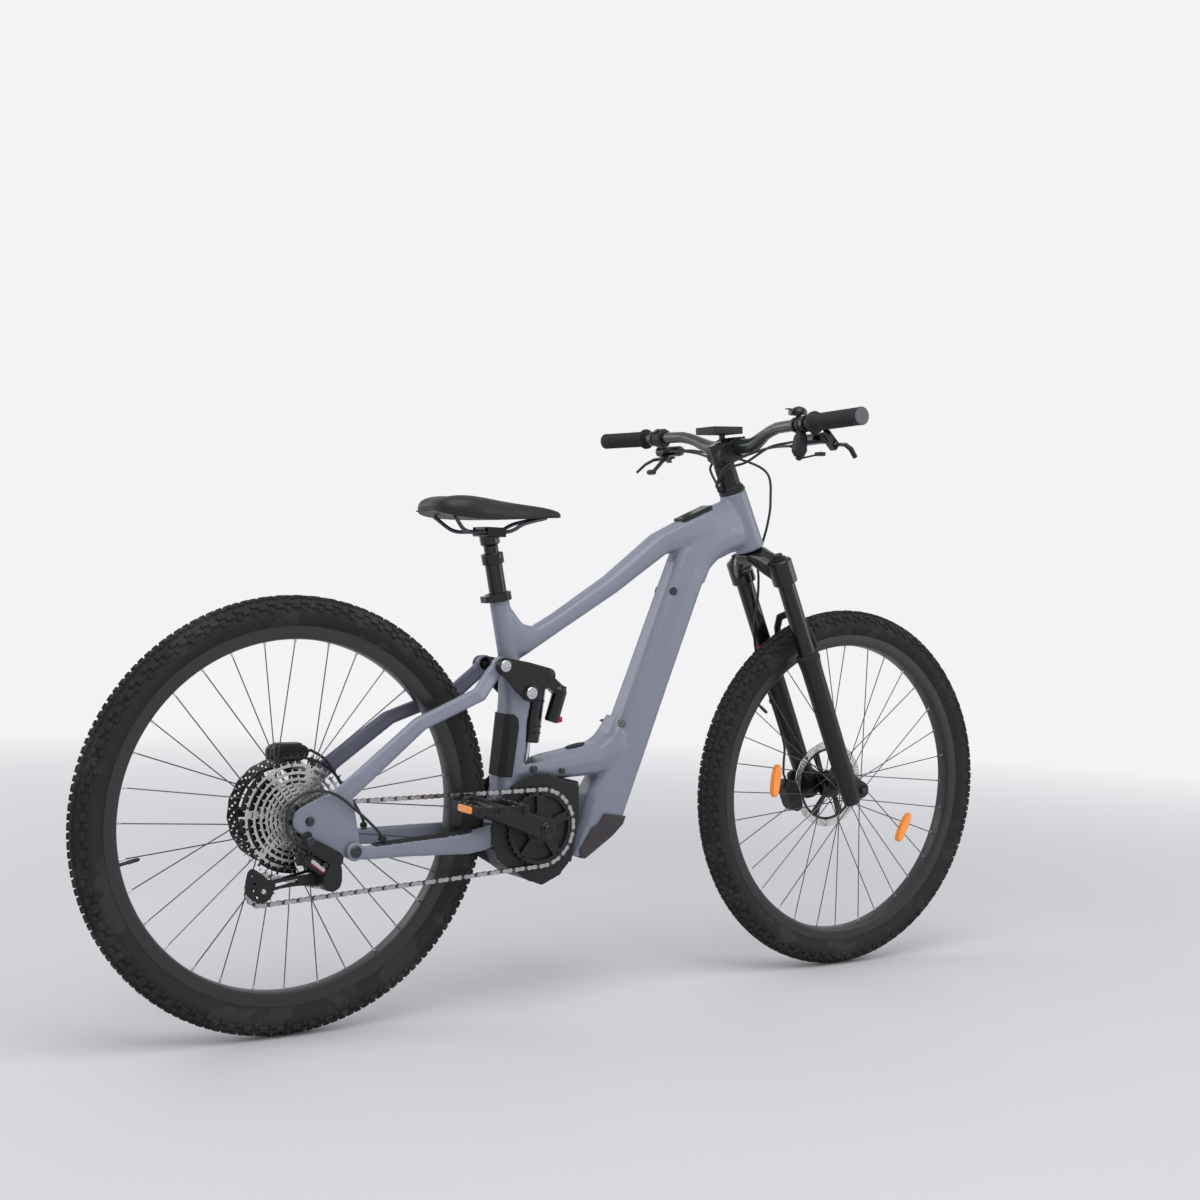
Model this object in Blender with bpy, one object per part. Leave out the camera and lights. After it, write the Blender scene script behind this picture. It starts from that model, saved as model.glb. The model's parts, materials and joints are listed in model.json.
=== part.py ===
"""A full-suspension electric mountain bike with a mid motor, modelled in metres with +Z up.

The bike stands on flat ground at z = 0, points along +X and has its drive side at -Y. The origin
lies on the ground, halfway between the two axles. Every sub-part is an object of its own, and an
empty stands on the axis of each joint that carries a moving group.
"""

import math

import bmesh
import bpy
from mathutils import Matrix, Vector

for old in list(bpy.data.objects):
    bpy.data.objects.remove(old)

# Wheels
TYRE_RADIUS = 0.368
TYRE_WIDTH = 0.060
WHEEL_SIDES = 28
BEAD_RADIUS = TYRE_RADIUS - 0.0575
RIM_INNER_RADIUS = TYRE_RADIUS - 0.0755
RIM_HALF_WIDTH = 0.0175
SPOKES = 20
SPOKE_RADIUS = 0.0011
ROTOR_RADIUS = 0.090
ROTOR_THICKNESS = 0.0020
FRONT_ROTOR_Y = 0.0425
REAR_ROTOR_Y = 0.0560

# Frame
CHAINSTAY_LENGTH = 0.455
CRANK_DROP = 0.038
REACH = 0.450
HEAD_ANGLE = math.radians(66.0)
HEAD_TUBE_LENGTH = 0.1215
HEAD_TUBE_TOP_RADIUS = 0.0270
HEAD_TUBE_BOTTOM_RADIUS = 0.0300
SEAT_ANGLE = math.radians(77.5)
SEAT_TUBE_RADIUS = 0.01825
POST_RADIUS = 0.0158

# Fork
FORK_LENGTH = 0.5475
FORK_OFFSET = 0.046
LEG_SPREAD = 0.065
LEG_OFFSET = 0.011
STANCHION_RADIUS = 0.0175
STEERER_TOP_RADIUS = 0.0143
STEERER_BOTTOM_RADIUS = 0.0199
SEAL_ALONG = 0.231

# Crank, pedals and chain
CRANK_LENGTH = 0.165
CRANK_ANGLE = math.radians(160.3)
CHAINRING_TEETH = 34
SPROCKET_TEETH = 12
CHAIN_PITCH = 0.0127
CHAINRING_Y = -0.055
PEDAL_INNER_Y = 0.096
PEDAL_WIDTH = 0.098

# Cockpit
STEM_RISE = 0.0805
STEM_FORWARD = 0.033
BAR_WIDTH = 0.800
BAR_RISE = 0.032
BAR_RADIUS = 0.0159
BAR_END_RADIUS = 0.0111
GRIP_RADIUS = 0.0160
GRIP_LENGTH = 0.135

# Fits
GAP = 0.0003
WELD = 0.000002

# Derived places
LEFT = Vector((0.0, 1.0, 0.0))
AXLE_HEIGHT = TYRE_RADIUS * math.cos(math.pi / WHEEL_SIDES)
CRANK_AHEAD = math.sqrt(CHAINSTAY_LENGTH ** 2 - CRANK_DROP ** 2)
DOWN = Vector((math.cos(HEAD_ANGLE), 0.0, -math.sin(HEAD_ANGLE)))
AHEAD = Vector((math.sin(HEAD_ANGLE), 0.0, math.cos(HEAD_ANGLE)))
FORK_REACH = FORK_LENGTH * DOWN + FORK_OFFSET * AHEAD
HEAD_BOTTOM_Z = AXLE_HEIGHT - FORK_REACH.z
WHEELBASE = CRANK_AHEAD + REACH + HEAD_TUBE_LENGTH * DOWN.x + FORK_REACH.x
REAR_AXLE = Vector((-WHEELBASE / 2, 0.0, AXLE_HEIGHT))
FRONT_AXLE = Vector((WHEELBASE / 2, 0.0, AXLE_HEIGHT))
CRANK = REAR_AXLE + Vector((CRANK_AHEAD, 0.0, -CRANK_DROP))
HEAD_BOTTOM = Vector((FRONT_AXLE.x - FORK_REACH.x, 0.0, HEAD_BOTTOM_Z))
HEAD_TOP = HEAD_BOTTOM - HEAD_TUBE_LENGTH * DOWN
UP_SEAT = Vector((-math.cos(SEAT_ANGLE), 0.0, math.sin(SEAT_ANGLE)))
SEAT_FORWARD = Vector((math.sin(SEAT_ANGLE), 0.0, math.cos(SEAT_ANGLE)))
SEAT_TOP = CRANK + Vector((-0.0714, 0.0, 0.4160))

# Suspension pivots, from the crank or from the rear axle
MAIN_PIVOT = CRANK + Vector((-0.0544, 0.0, 0.0160))
HORST_PIVOT = REAR_AXLE + Vector((0.0785, 0.0, -0.0530))
STAY_PIVOT = CRANK + Vector((-0.0789, 0.0, 0.2890))
ROCKER_PIVOT = CRANK + Vector((-0.0234, 0.0, 0.2410))
SHOCK_TOP = CRANK + Vector((0.0151, 0.0, 0.2720))
SHOCK_FOOT = CRANK + Vector((-0.0044, 0.0, 0.0910))


def from_axle(x, y, z):
    """A point given from the rear axle."""
    return REAR_AXLE + Vector((x, y, z))


def from_crank(x, y, z):
    """A point given from the crank axis."""
    return CRANK + Vector((x, y, z))


def from_head(along, forward, y):
    """A point given down the steering axis from the foot of the head tube, and ahead of it."""
    return HEAD_BOTTOM + along * DOWN + forward * AHEAD + y * LEFT


def from_seat(up, forward, y):
    """A point given up the seat tube's axis from its top, and ahead of it."""
    return SEAT_TOP + up * UP_SEAT + forward * SEAT_FORWARD + y * LEFT


# Materials

def material(name, colour, roughness, metallic=0.0):
    """A Principled material, made once for each name."""
    made = bpy.data.materials.get(name)
    if made is None:
        made = bpy.data.materials.new(name)
        made.use_nodes = True
        shader = made.node_tree.nodes["Principled BSDF"]
        shader.inputs["Base Color"].default_value = (*colour, 1.0)
        shader.inputs["Roughness"].default_value = roughness
        shader.inputs["Metallic"].default_value = metallic
    return made


def frame_paint():
    return material("frame_paint", (0.165, 0.195, 0.225), 0.45)


def satin_black():
    return material("satin_black", (0.020, 0.020, 0.022), 0.42)


def gloss_black():
    return material("gloss_black", (0.012, 0.012, 0.013), 0.20)


def guard_rubber():
    return material("guard_rubber", (0.030, 0.030, 0.032), 0.80)


def tyre_rubber():
    return material("tyre_rubber", (0.028, 0.027, 0.026), 0.85)


def bright_steel():
    return material("bright_steel", (0.55, 0.55, 0.55), 0.35, 1.0)


def dark_steel():
    return material("dark_steel", (0.10, 0.10, 0.10), 0.40, 1.0)


def moulded_plastic():
    return material("moulded_plastic", (0.030, 0.030, 0.032), 0.55)


# Shapes: each of these returns an object whose mesh stands in its place in the world

def object_from(work, name="piece"):
    """An object holding the bmesh, with its faces turned outwards."""
    bmesh.ops.recalc_face_normals(work, faces=work.faces)
    mesh = bpy.data.meshes.new(name)
    work.to_mesh(mesh)
    work.free()
    made = bpy.data.objects.new(name, mesh)
    bpy.context.collection.objects.link(made)
    return made


def skin(rings, closed=False, capped=True):
    """A body skinned over rings of points; a closed one joins its last ring to its first."""
    work = bmesh.new()
    loops = [[work.verts.new(point) for point in ring] for ring in rings]
    count = len(loops[0])
    pairs = list(zip(loops, loops[1:]))
    if closed:
        pairs.append((loops[-1], loops[0]))
    for one, two in pairs:
        for i in range(count):
            j = (i + 1) % count
            work.faces.new((one[i], one[j], two[j], two[i]))
    if capped and not closed:
        work.faces.new(loops[0])
        work.faces.new(loops[-1])
    return object_from(work)


def axes_across(axis):
    """Two unit vectors square to the axis and to each other."""
    guide = LEFT if abs(axis.normalized().y) < 0.9 else Vector((1.0, 0.0, 0.0))
    first = axis.cross(guide).normalized()
    second = axis.cross(first).normalized()
    return first, second


def turn(centre, axis, profile, sides, start=0.0):
    """A closed profile of (height along the axis, radius) turned into a ring about the axis."""
    axis = axis.normalized()
    first, second = axes_across(axis)
    rings = []
    for i in range(sides):
        angle = start + 2 * math.pi * i / sides
        out = math.cos(angle) * first + math.sin(angle) * second
        rings.append([centre + height * axis + radius * out for height, radius in profile])
    return skin(rings, closed=True)


def rod(centre, axis, profile, sides=16, start=0.0):
    """A solid of circles: the profile lists (height along the axis, radius) from end to end."""
    axis = axis.normalized()
    first, second = axes_across(axis)
    rings = []
    for height, radius in profile:
        ring = []
        for i in range(sides):
            angle = start + 2 * math.pi * i / sides
            out = math.cos(angle) * first + math.sin(angle) * second
            ring.append(centre + height * axis + radius * out)
        rings.append(ring)
    return skin(rings)


def bore_for(radius, sides=12):
    """The radius of a faceted bore that clears a round rod."""
    return radius / math.cos(math.pi / sides) + GAP


def bar(start, end, radius, sides=12, end_radius=None):
    """A plain round rod from one point to another."""
    reach = end - start
    last = radius if end_radius is None else end_radius
    return rod(start, reach, [(0.0, radius), (reach.length, last)], sides)


def pin(centre, near_y, far_y, radius, sides=16):
    """A round rod across the bike, between two values of y."""
    start = Vector((centre.x, near_y, centre.z))
    end = Vector((centre.x, far_y, centre.z))
    return bar(start, end, radius, sides)


def plate(outline, near_y, far_y):
    """A flat outline of points in the side view, as thick as the two values of y stand apart."""
    rings = [[Vector((point.x, y, point.z)) for point in outline] for y in (near_y, far_y)]
    return skin(rings)


def block(centre, across, out, up, half):
    """A box about a centre, with half sizes along three directions."""
    rings = []
    for side in (-1, 1):
        ring = []
        for a, b in ((-1, -1), (1, -1), (1, 1), (-1, 1)):
            ring.append(centre + side * half[0] * across + a * half[1] * out + b * half[2] * up)
        rings.append(ring)
    return skin(rings)


def upright_block(low, high):
    """A box between two corners, square to the world's axes."""
    centre = (low + high) / 2
    half = (high - low) / 2
    axes = (Vector((1.0, 0.0, 0.0)), LEFT, Vector((0.0, 0.0, 1.0)))
    return block(centre, *axes, half)


def oval_ring(centre, first, second, sides, squareness=2.0):
    """Points round a centre; squareness 2 is an ellipse, and more brings it nearer a box."""
    points = []
    for i in range(sides):
        angle = 2 * math.pi * (i + 0.5) / sides
        c = math.cos(angle)
        s = math.sin(angle)
        a = math.copysign(abs(c) ** (2 / squareness), c)
        b = math.copysign(abs(s) ** (2 / squareness), s)
        points.append(centre + a * first + b * second)
    return points


def strut(stations, sides=16, squareness=2.6):
    """A tube read in the side view: stations of (lower edge, upper edge, half width)."""
    rings = []
    for low, high, half_width in stations:
        centre = (low + high) / 2
        rings.append(oval_ring(centre, (high - low) / 2, half_width * LEFT, sides, squareness))
    return skin(rings)


def hull_plate(circles, near_y, far_y, arc_steps=5):
    """A flat link: the outline that wraps circles of (centre, radius), given in order round it."""
    outline = []
    count = len(circles)
    for i, (centre, radius) in enumerate(circles):
        before, radius_before = circles[i - 1]
        after, radius_after = circles[(i + 1) % count]
        start = wrap_angle(before, radius_before, centre, radius)
        end = wrap_angle(centre, radius, after, radius_after)
        sweep = (end - start) % (2 * math.pi)
        if sweep > 1.5 * math.pi:
            sweep = 0.0
        steps = max(1, round(arc_steps * sweep / math.pi))
        for step in range(steps + 1):
            angle = start + sweep * step / steps
            outline.append(centre + radius * Vector((math.cos(angle), 0.0, math.sin(angle))))
    return plate(outline, near_y, far_y)


def wrap_angle(one, radius_one, two, radius_two):
    """The direction from each centre to where the line that wraps both circles touches them."""
    reach = two - one
    heading = math.atan2(reach.z, reach.x)
    lean = math.asin(max(-1.0, min(1.0, (radius_one - radius_two) / reach.length)))
    return heading - math.pi / 2 + lean


def path_tube(points, radius, sides=8, end_radius=None):
    """A round tube that follows points, its rings square to the path."""
    rings = []
    last = len(points) - 1
    first_across = None
    for i, point in enumerate(points):
        ahead = points[min(i + 1, last)] - points[max(i - 1, 0)]
        axis = ahead.normalized()
        if first_across is None:
            first_across = axes_across(axis)[0]
        first_across = (first_across - axis * first_across.dot(axis)).normalized()
        second = axis.cross(first_across)
        share = i / last
        here = radius if end_radius is None else radius + (end_radius - radius) * share
        ring = []
        for k in range(sides):
            angle = 2 * math.pi * k / sides
            ring.append(point + here * (math.cos(angle) * first_across + math.sin(angle) * second))
        rings.append(ring)
    return skin(rings)


def smooth_path(points, steps):
    """Points along a Catmull-Rom curve through the given ones."""
    ends = [2 * points[0] - points[1], *points, 2 * points[-1] - points[-2]]
    made = []
    for a, b, c, d in zip(ends, ends[1:], ends[2:], ends[3:]):
        for step in range(steps):
            t = step / steps
            made.append(0.5 * (2 * b + (c - a) * t + (2 * a - 5 * b + 4 * c - d) * t ** 2
                               + (3 * b - a - 3 * c + d) * t ** 3))
    made.append(points[-1])
    return made


# Assembly

def evaluated_mesh(made):
    """The object's mesh with its modifiers applied."""
    graph = bpy.context.evaluated_depsgraph_get()
    return bpy.data.meshes.new_from_object(made.evaluated_get(graph))


def combine(pieces, cuts=()):
    """One body: the pieces united, with the cuts taken out. Both are used up."""
    base = pieces[0]
    for tools, operation in ((pieces[1:], "UNION"), (cuts, "DIFFERENCE")):
        for tool in tools:
            modifier = base.modifiers.new("boolean", "BOOLEAN")
            modifier.operation = operation
            modifier.solver = "EXACT"
            modifier.object = tool
    mesh = evaluated_mesh(base)
    work = bmesh.new()
    work.from_mesh(mesh)
    bmesh.ops.remove_doubles(work, verts=work.verts, dist=WELD)
    bmesh.ops.dissolve_degenerate(work, edges=work.edges, dist=WELD)
    work.to_mesh(mesh)
    work.free()
    for used in (*pieces, *cuts):
        bpy.data.objects.remove(used)
    made = bpy.data.objects.new("piece", mesh)
    bpy.context.collection.objects.link(made)
    return made


BODIES = {}


def body(name, origin, parent=None):
    """An empty on a joint's axis, carrying a group that moves together."""
    empty = bpy.data.objects.new(name, None)
    bpy.context.collection.objects.link(empty)
    base = Vector((0.0, 0.0, 0.0))
    if parent is not None:
        empty.parent = BODIES[parent][0]
        base = BODIES[parent][1]
    empty.location = origin - base
    empty.empty_display_size = 0.02
    BODIES[name] = (empty, origin)


def node(name, piece, surface, parent, sharp_degrees=35.0):
    """Names the piece, gives it its material and hangs it on a body's empty."""
    empty, origin = BODIES[parent]
    piece.name = name
    piece.data.name = name
    piece.data.transform(Matrix.Translation(-origin))
    piece.parent = empty
    piece.data.materials.clear()
    piece.data.materials.append(surface)
    piece.data.shade_smooth()
    piece.data.set_sharp_from_angle(angle=math.radians(sharp_degrees))
    return piece

# Joint axes

SHOCK_AXIS = (SHOCK_TOP - SHOCK_FOOT).normalized()
PEDAL_RIGHT = CRANK + CRANK_LENGTH * Vector((math.cos(CRANK_ANGLE), 0.0, math.sin(CRANK_ANGLE)))
PEDAL_LEFT = 2 * CRANK - PEDAL_RIGHT
CAGE_PIVOT = from_axle(0.036, -0.080, -0.098)

body("bike", Vector((0.0, 0.0, 0.0)))
body("steering", HEAD_BOTTOM, "bike")
body("fork_travel", FRONT_AXLE, "steering")
body("front_wheel", FRONT_AXLE, "fork_travel")
body("chainstay_group", MAIN_PIVOT, "bike")
body("seatstay_group", HORST_PIVOT, "chainstay_group")
body("rear_wheel", REAR_AXLE, "seatstay_group")
body("sprockets", REAR_AXLE, "seatstay_group")
body("cage", CAGE_PIVOT, "seatstay_group")
body("rocker_group", ROCKER_PIVOT, "bike")
body("shock_foot", SHOCK_FOOT, "bike")
body("shock_slide", SHOCK_TOP, "shock_foot")
body("crank", CRANK, "bike")
body("pedal_turn_right", PEDAL_RIGHT, "crank")
body("pedal_turn_left", PEDAL_LEFT, "crank")
body("dropper_slide", SEAT_TOP, "bike")
body("port_flap", from_crank(0.1225, 0.0, 0.1445), "bike")


# Wheels

AXLE_RADIUS_FRONT = 0.0075
AXLE_RADIUS_REAR = 0.0060
FRONT_HUB_HALF = 0.0545
REAR_HUB_HALF = 0.0737
HUB_NOSE_RADIUS = 0.0160
HUB_SHOULDER_RADIUS = 0.0200
FREEHUB_RADIUS = 0.0170
FLANGE_RADIUS = 0.0270
FLANGE_HALF = 0.0022
SPOKE_ROOT_RADIUS = FLANGE_RADIUS + 0.0010
SPOKE_SUNK = 0.0040
FRONT_FLANGES = (0.0260, -0.0320)
REAR_FLANGES = (0.0340, -0.0095)
FREEHUB_END = -0.0620
REFLECTOR_ANGLES = (174, 331)
HUB_SIDES = 10
CASSETTE_INNER_Y = -0.0150
VALVE_RADIUS = 0.0032
VALVE_LENGTH = 0.042
FRONT_VALVE_ANGLE = math.radians(143)
REAR_VALVE_ANGLE = math.radians(193)


def wheel_ring(centre, profile):
    """A ring about a wheel's axle with one of its flats facing the ground."""
    return turn(centre, LEFT, profile, WHEEL_SIDES, math.pi / WHEEL_SIDES)


def tyre(name, centre, parent):
    half = TYRE_WIDTH / 2
    bead = RIM_HALF_WIDTH - 0.0020 - GAP
    outer = [(bead, BEAD_RADIUS), (bead, TYRE_RADIUS - 0.051), (half, TYRE_RADIUS - 0.034),
             (half, TYRE_RADIUS - 0.016), (0.42 * half, TYRE_RADIUS)]
    inner = [(half - 0.009, TYRE_RADIUS - 0.016), (bead - 0.004, BEAD_RADIUS)]
    profile = [(-y, radius) for y, radius in outer]
    profile += [(y, radius) for y, radius in reversed(outer)]
    profile += [(y, radius) for y, radius in reversed(inner)]
    profile += [(-y, radius) for y, radius in inner]
    node(name, wheel_ring(centre, profile), tyre_rubber(), parent)


def rim(name, centre, valve_angle, flanges, reflectors, parent):
    """The rim with its valve, its spokes and what is clipped to them."""
    half = RIM_HALF_WIDTH
    lip = BEAD_RADIUS + 0.0055
    outer = [(0.0115, RIM_INNER_RADIUS), (half, RIM_INNER_RADIUS + 0.0105), (half, lip),
             (half - 0.002, lip), (half - 0.002, BEAD_RADIUS - 0.0015)]
    profile = [(-y, radius) for y, radius in outer]
    profile += [(y, radius) for y, radius in reversed(outer)]
    ring = wheel_ring(centre, profile)
    inward = -Vector((math.cos(valve_angle), 0.0, math.sin(valve_angle)))
    foot = centre - (RIM_INNER_RADIUS + 0.003) * inward
    shape = [(0.0, VALVE_RADIUS), (0.6 * VALVE_LENGTH, VALVE_RADIUS), (VALVE_LENGTH, 0.6 * VALVE_RADIUS)]
    valve = rod(foot, inward, shape, 8)
    pieces = [valve, *laced(centre, ring, *flanges)]
    pieces += [reflector(centre, math.radians(angle)) for angle in reflectors]
    node(name, combine(pieces), satin_black(), parent)


def rim_reach(angle):
    """How far the faceted rim's inner face lies from the axle in a direction of the side view."""
    pitch = 2 * math.pi / WHEEL_SIDES
    from_vertex = (-math.pi / 2 - angle - pitch / 2) % pitch
    return RIM_INNER_RADIUS * math.cos(pitch / 2) / math.cos(from_vertex - pitch / 2)


def spokes_of(centre, flange_y, lean, first_angle):
    """Every second spoke of one flange, each a three-sided rod from the flange to the rim."""
    each = SPOKES // 4
    sides = 3
    work = bmesh.new()
    for i in range(each):
        angle = first_angle + 2 * math.pi * i / each
        root = angle + lean
        start = centre + SPOKE_ROOT_RADIUS * Vector((math.cos(root), 0.0, math.sin(root)))
        start += (flange_y + math.copysign(0.86 * FLANGE_HALF, lean)) * LEFT
        end_radius = rim_reach(angle) + SPOKE_SUNK
        end = centre + end_radius * Vector((math.cos(angle), 0.0, math.sin(angle)))
        end += math.copysign(0.004, flange_y) * LEFT
        first, second = axes_across(end - start)
        loops = []
        for point in (start, end):
            loop = []
            for k in range(sides):
                turn_angle = 2 * math.pi * k / sides
                out = math.cos(turn_angle) * first + math.sin(turn_angle) * second
                loop.append(work.verts.new(point + 1.2 * SPOKE_RADIUS * out))
            loops.append(loop)
        work.faces.new(loops[0])
        work.faces.new(loops[1])
        for k in range(sides):
            j = (k + 1) % sides
            work.faces.new((loops[0][k], loops[0][j], loops[1][j], loops[1][k]))
    return object_from(work)


def laced(centre, ring, left_flange, right_flange):
    """The rim united with its spokes, crossed in pairs on each flange of the hub."""
    step = 2 * math.pi / SPOKES
    lean = math.radians(68)
    spokes = []
    for index, (flange_y, sense) in enumerate(((left_flange, 1), (right_flange, 1),
                                               (left_flange, -1), (right_flange, -1))):
        spokes.append(spokes_of(centre, flange_y, sense * lean, index * step))
    return [ring, *spokes]


def flange(y):
    return [(y - FLANGE_HALF, FLANGE_RADIUS), (y + FLANGE_HALF, FLANGE_RADIUS)]


def reflector(centre, angle):
    """A reflector clipped between two spokes, on the drive side of the wheel."""
    out = Vector((math.cos(angle), 0.0, math.sin(angle)))
    along = LEFT.cross(out)
    return block(centre + 0.190 * out - 0.0145 * LEFT, LEFT, out, along, (0.0050, 0.011, 0.033))


def front_hub():
    left, right = FRONT_FLANGES
    bore = bore_for(AXLE_RADIUS_FRONT, HUB_SIDES)
    seat = FRONT_ROTOR_Y - ROTOR_THICKNESS / 2 - GAP
    profile = [(-FRONT_HUB_HALF, bore), (-FRONT_HUB_HALF, HUB_NOSE_RADIUS),
               (right - 0.004, HUB_NOSE_RADIUS)]
    profile += [*flange(right), (right + 0.005, 0.0115), (left - 0.005, 0.0115), *flange(left)]
    profile += [(left + 0.005, HUB_SHOULDER_RADIUS), (seat, HUB_SHOULDER_RADIUS), (seat, HUB_NOSE_RADIUS)]
    profile += [(FRONT_HUB_HALF, HUB_NOSE_RADIUS), (FRONT_HUB_HALF, bore)]
    node("front_hub", turn(FRONT_AXLE, LEFT, profile, HUB_SIDES), dark_steel(), "front_wheel")


def rear_hub():
    left, right = REAR_FLANGES
    bore = bore_for(AXLE_RADIUS_REAR, HUB_SIDES)
    seat = REAR_ROTOR_Y - ROTOR_THICKNESS / 2 - GAP
    end = CASSETTE_INNER_Y + 2 * GAP
    profile = [(end, bore), (end, FREEHUB_RADIUS), (right - FLANGE_HALF, FREEHUB_RADIUS), *flange(right)]
    profile += [(right + 0.006, 0.0150), (left - 0.006, 0.0150), *flange(left)]
    profile += [(left + 0.005, HUB_SHOULDER_RADIUS), (seat, HUB_SHOULDER_RADIUS), (seat, HUB_NOSE_RADIUS)]
    profile += [(seat + 0.007, HUB_NOSE_RADIUS), (seat + 0.007, 0.0095)]
    profile += [(REAR_HUB_HALF, 0.0095), (REAR_HUB_HALF, bore)]
    node("rear_hub", turn(REAR_AXLE, LEFT, profile, HUB_SIDES), dark_steel(), "rear_wheel")


def spider_disc(centre, y, thickness, outer, rim_inner, boss, bore, arms, sides, arm_half, hub_sides):
    """A flat ring held to its boss by arms."""
    near, far = y - thickness / 2, y + thickness / 2
    ring = turn(centre, LEFT, [(near, rim_inner), (near, outer), (far, outer), (far, rim_inner)], sides)
    hub = turn(centre, LEFT, [(near, bore), (near, boss), (far, boss), (far, bore)], hub_sides)
    pieces = [ring, hub]
    for i in range(arms):
        angle = 2 * math.pi * (i + 0.25) / arms
        out = Vector((math.cos(angle), 0.0, math.sin(angle)))
        middle = (0.5 * (bore + boss) + 0.5 * (rim_inner + outer)) / 2
        reach = (0.5 * (rim_inner + outer) - 0.5 * (bore + boss)) / 2
        pieces.append(block(centre + middle * out + y * LEFT, LEFT, out, LEFT.cross(out),
                            (thickness / 2, reach, arm_half)))
    return combine(pieces)


def rotor(name, centre, y, parent):
    disc = spider_disc(centre, y, ROTOR_THICKNESS, ROTOR_RADIUS, ROTOR_RADIUS - 0.015,
                       0.024, HUB_NOSE_RADIUS + GAP, 4, 20, 0.0040, HUB_SIDES)
    node(name, disc, bright_steel(), parent)


def wheels():
    tyre("front_tyre", FRONT_AXLE, "front_wheel")
    tyre("rear_tyre", REAR_AXLE, "rear_wheel")
    rim("front_rim", FRONT_AXLE, FRONT_VALVE_ANGLE, FRONT_FLANGES, REFLECTOR_ANGLES, "front_wheel")
    rim("rear_rim", REAR_AXLE, REAR_VALVE_ANGLE, REAR_FLANGES, (), "rear_wheel")
    front_hub()
    rear_hub()
    rotor("front_rotor", FRONT_AXLE, FRONT_ROTOR_Y, "front_wheel")
    rotor("rear_rotor", REAR_AXLE, REAR_ROTOR_Y, "rear_wheel")


wheels()


# Drive

CHAIN_HALF_WIDTH = 0.0026
CHAIN_HALF_HEIGHT = 0.0036
CHAIN_ARC_STEPS = 9
CASSETTE_TEETH = (51, 45, 39, 34, 30, 27, 24, 21, 18, 16, 14, 12)
COG_STEP = 0.0039
COG_THICKNESS = 0.0019
PULLEY_TEETH = 12
CHAINRING_THICKNESS = 0.0040
SPINDLE_RADIUS = 0.0120
ARM_INNER_Y = 0.0660
ARM_OUTER_Y = 0.0830
PEDAL_AXLE_RADIUS = 0.0050
TENSION_PULLEY = from_axle(-0.070, -0.058, -0.111)
GUIDE_PULLEY = CAGE_PIVOT + Vector((-0.002, 0.022, 0.010))


def pitch_radius(teeth):
    return CHAIN_PITCH / (2 * math.sin(math.pi / teeth))


def seat_radius(teeth):
    """The radius of a toothed wheel under the flats of the chain that lies on it."""
    return (pitch_radius(teeth) - CHAIN_HALF_HEIGHT) * math.cos(math.pi / (2 * CHAIN_ARC_STEPS)) - GAP


def cassette():
    """A cone through the tips of the sprockets on the freehub body, the smallest one clear of it."""
    bore = bore_for(AXLE_RADIUS_REAR)
    core = FREEHUB_RADIUS + 0.0016
    y = CASSETTE_INNER_Y
    profile = [(y, bore)]
    for teeth in CASSETTE_TEETH[:-1]:
        profile.append((y, pitch_radius(teeth) + 0.002))
        y -= COG_STEP
    above = y + COG_STEP - COG_THICKNESS
    profile += [(above, profile[-1][1]), (above, core), (y, core)]
    smallest = seat_radius(CASSETTE_TEETH[-1])
    nose = 0.0095
    profile += [(y, smallest), (y - COG_THICKNESS, smallest), (y - COG_THICKNESS, FREEHUB_RADIUS)]
    profile += [(FREEHUB_END, FREEHUB_RADIUS), (FREEHUB_END, nose), (-REAR_HUB_HALF, nose),
                (-REAR_HUB_HALF, bore)]
    node("cassette", turn(REAR_AXLE, LEFT, profile, 12), bright_steel(), "sprockets")


def cog_y():
    """The middle of the smallest cog, where the chain runs."""
    return CASSETTE_INNER_Y - (len(CASSETTE_TEETH) - 1) * COG_STEP - COG_THICKNESS / 2


def belt(wheels_in_order, arc_steps):
    """Points round a loop of wheels, each (centre, radius, sense), with the outward direction."""
    count = len(wheels_in_order)
    headings = []
    for i in range(count):
        centre, radius, sense = wheels_in_order[i]
        after, radius_after, sense_after = wheels_in_order[(i + 1) % count]
        flat = Vector((after.x - centre.x, 0.0, after.z - centre.z))
        lean = math.asin((sense * radius - sense_after * radius_after) / flat.length)
        headings.append(math.atan2(flat.z, flat.x) + lean)
    made = []
    for i, (centre, radius, sense) in enumerate(wheels_in_order):
        start, end = headings[i - 1], headings[i]
        sweep = sense * ((sense * (end - start)) % (2 * math.pi))
        steps = max(2, math.ceil(arc_steps * abs(sweep) / math.pi))
        for step in range(steps + 1):
            heading = start + sweep * step / steps
            right = Vector((math.sin(heading), 0.0, -math.cos(heading)))
            made.append((centre + sense * radius * right, right))
    return made


def chain():
    ring_centre = CRANK + CHAINRING_Y * LEFT
    cog_centre = REAR_AXLE + cog_y() * LEFT
    pulley = pitch_radius(PULLEY_TEETH)
    loop = belt([(ring_centre, pitch_radius(CHAINRING_TEETH), 1),
                 (cog_centre, pitch_radius(SPROCKET_TEETH), 1),
                 (GUIDE_PULLEY, pulley, -1), (TENSION_PULLEY, pulley, 1)], CHAIN_ARC_STEPS)
    rings = []
    for point, out in loop:
        ring = []
        for a, b in ((-1, -1), (1, -1), (1, 1), (-1, 1)):
            ring.append(point + a * CHAIN_HALF_HEIGHT * out + b * CHAIN_HALF_WIDTH * LEFT)
        rings.append(ring)
    node("chain", skin(rings, closed=True), bright_steel(), "bike")


def chainring():
    disc = spider_disc(CRANK, CHAINRING_Y, CHAINRING_THICKNESS, seat_radius(CHAINRING_TEETH),
                       0.050, 0.024, SPINDLE_RADIUS + GAP, 4, 20, 0.008, 12)
    node("chainring", disc, satin_black(), "crank")


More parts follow.
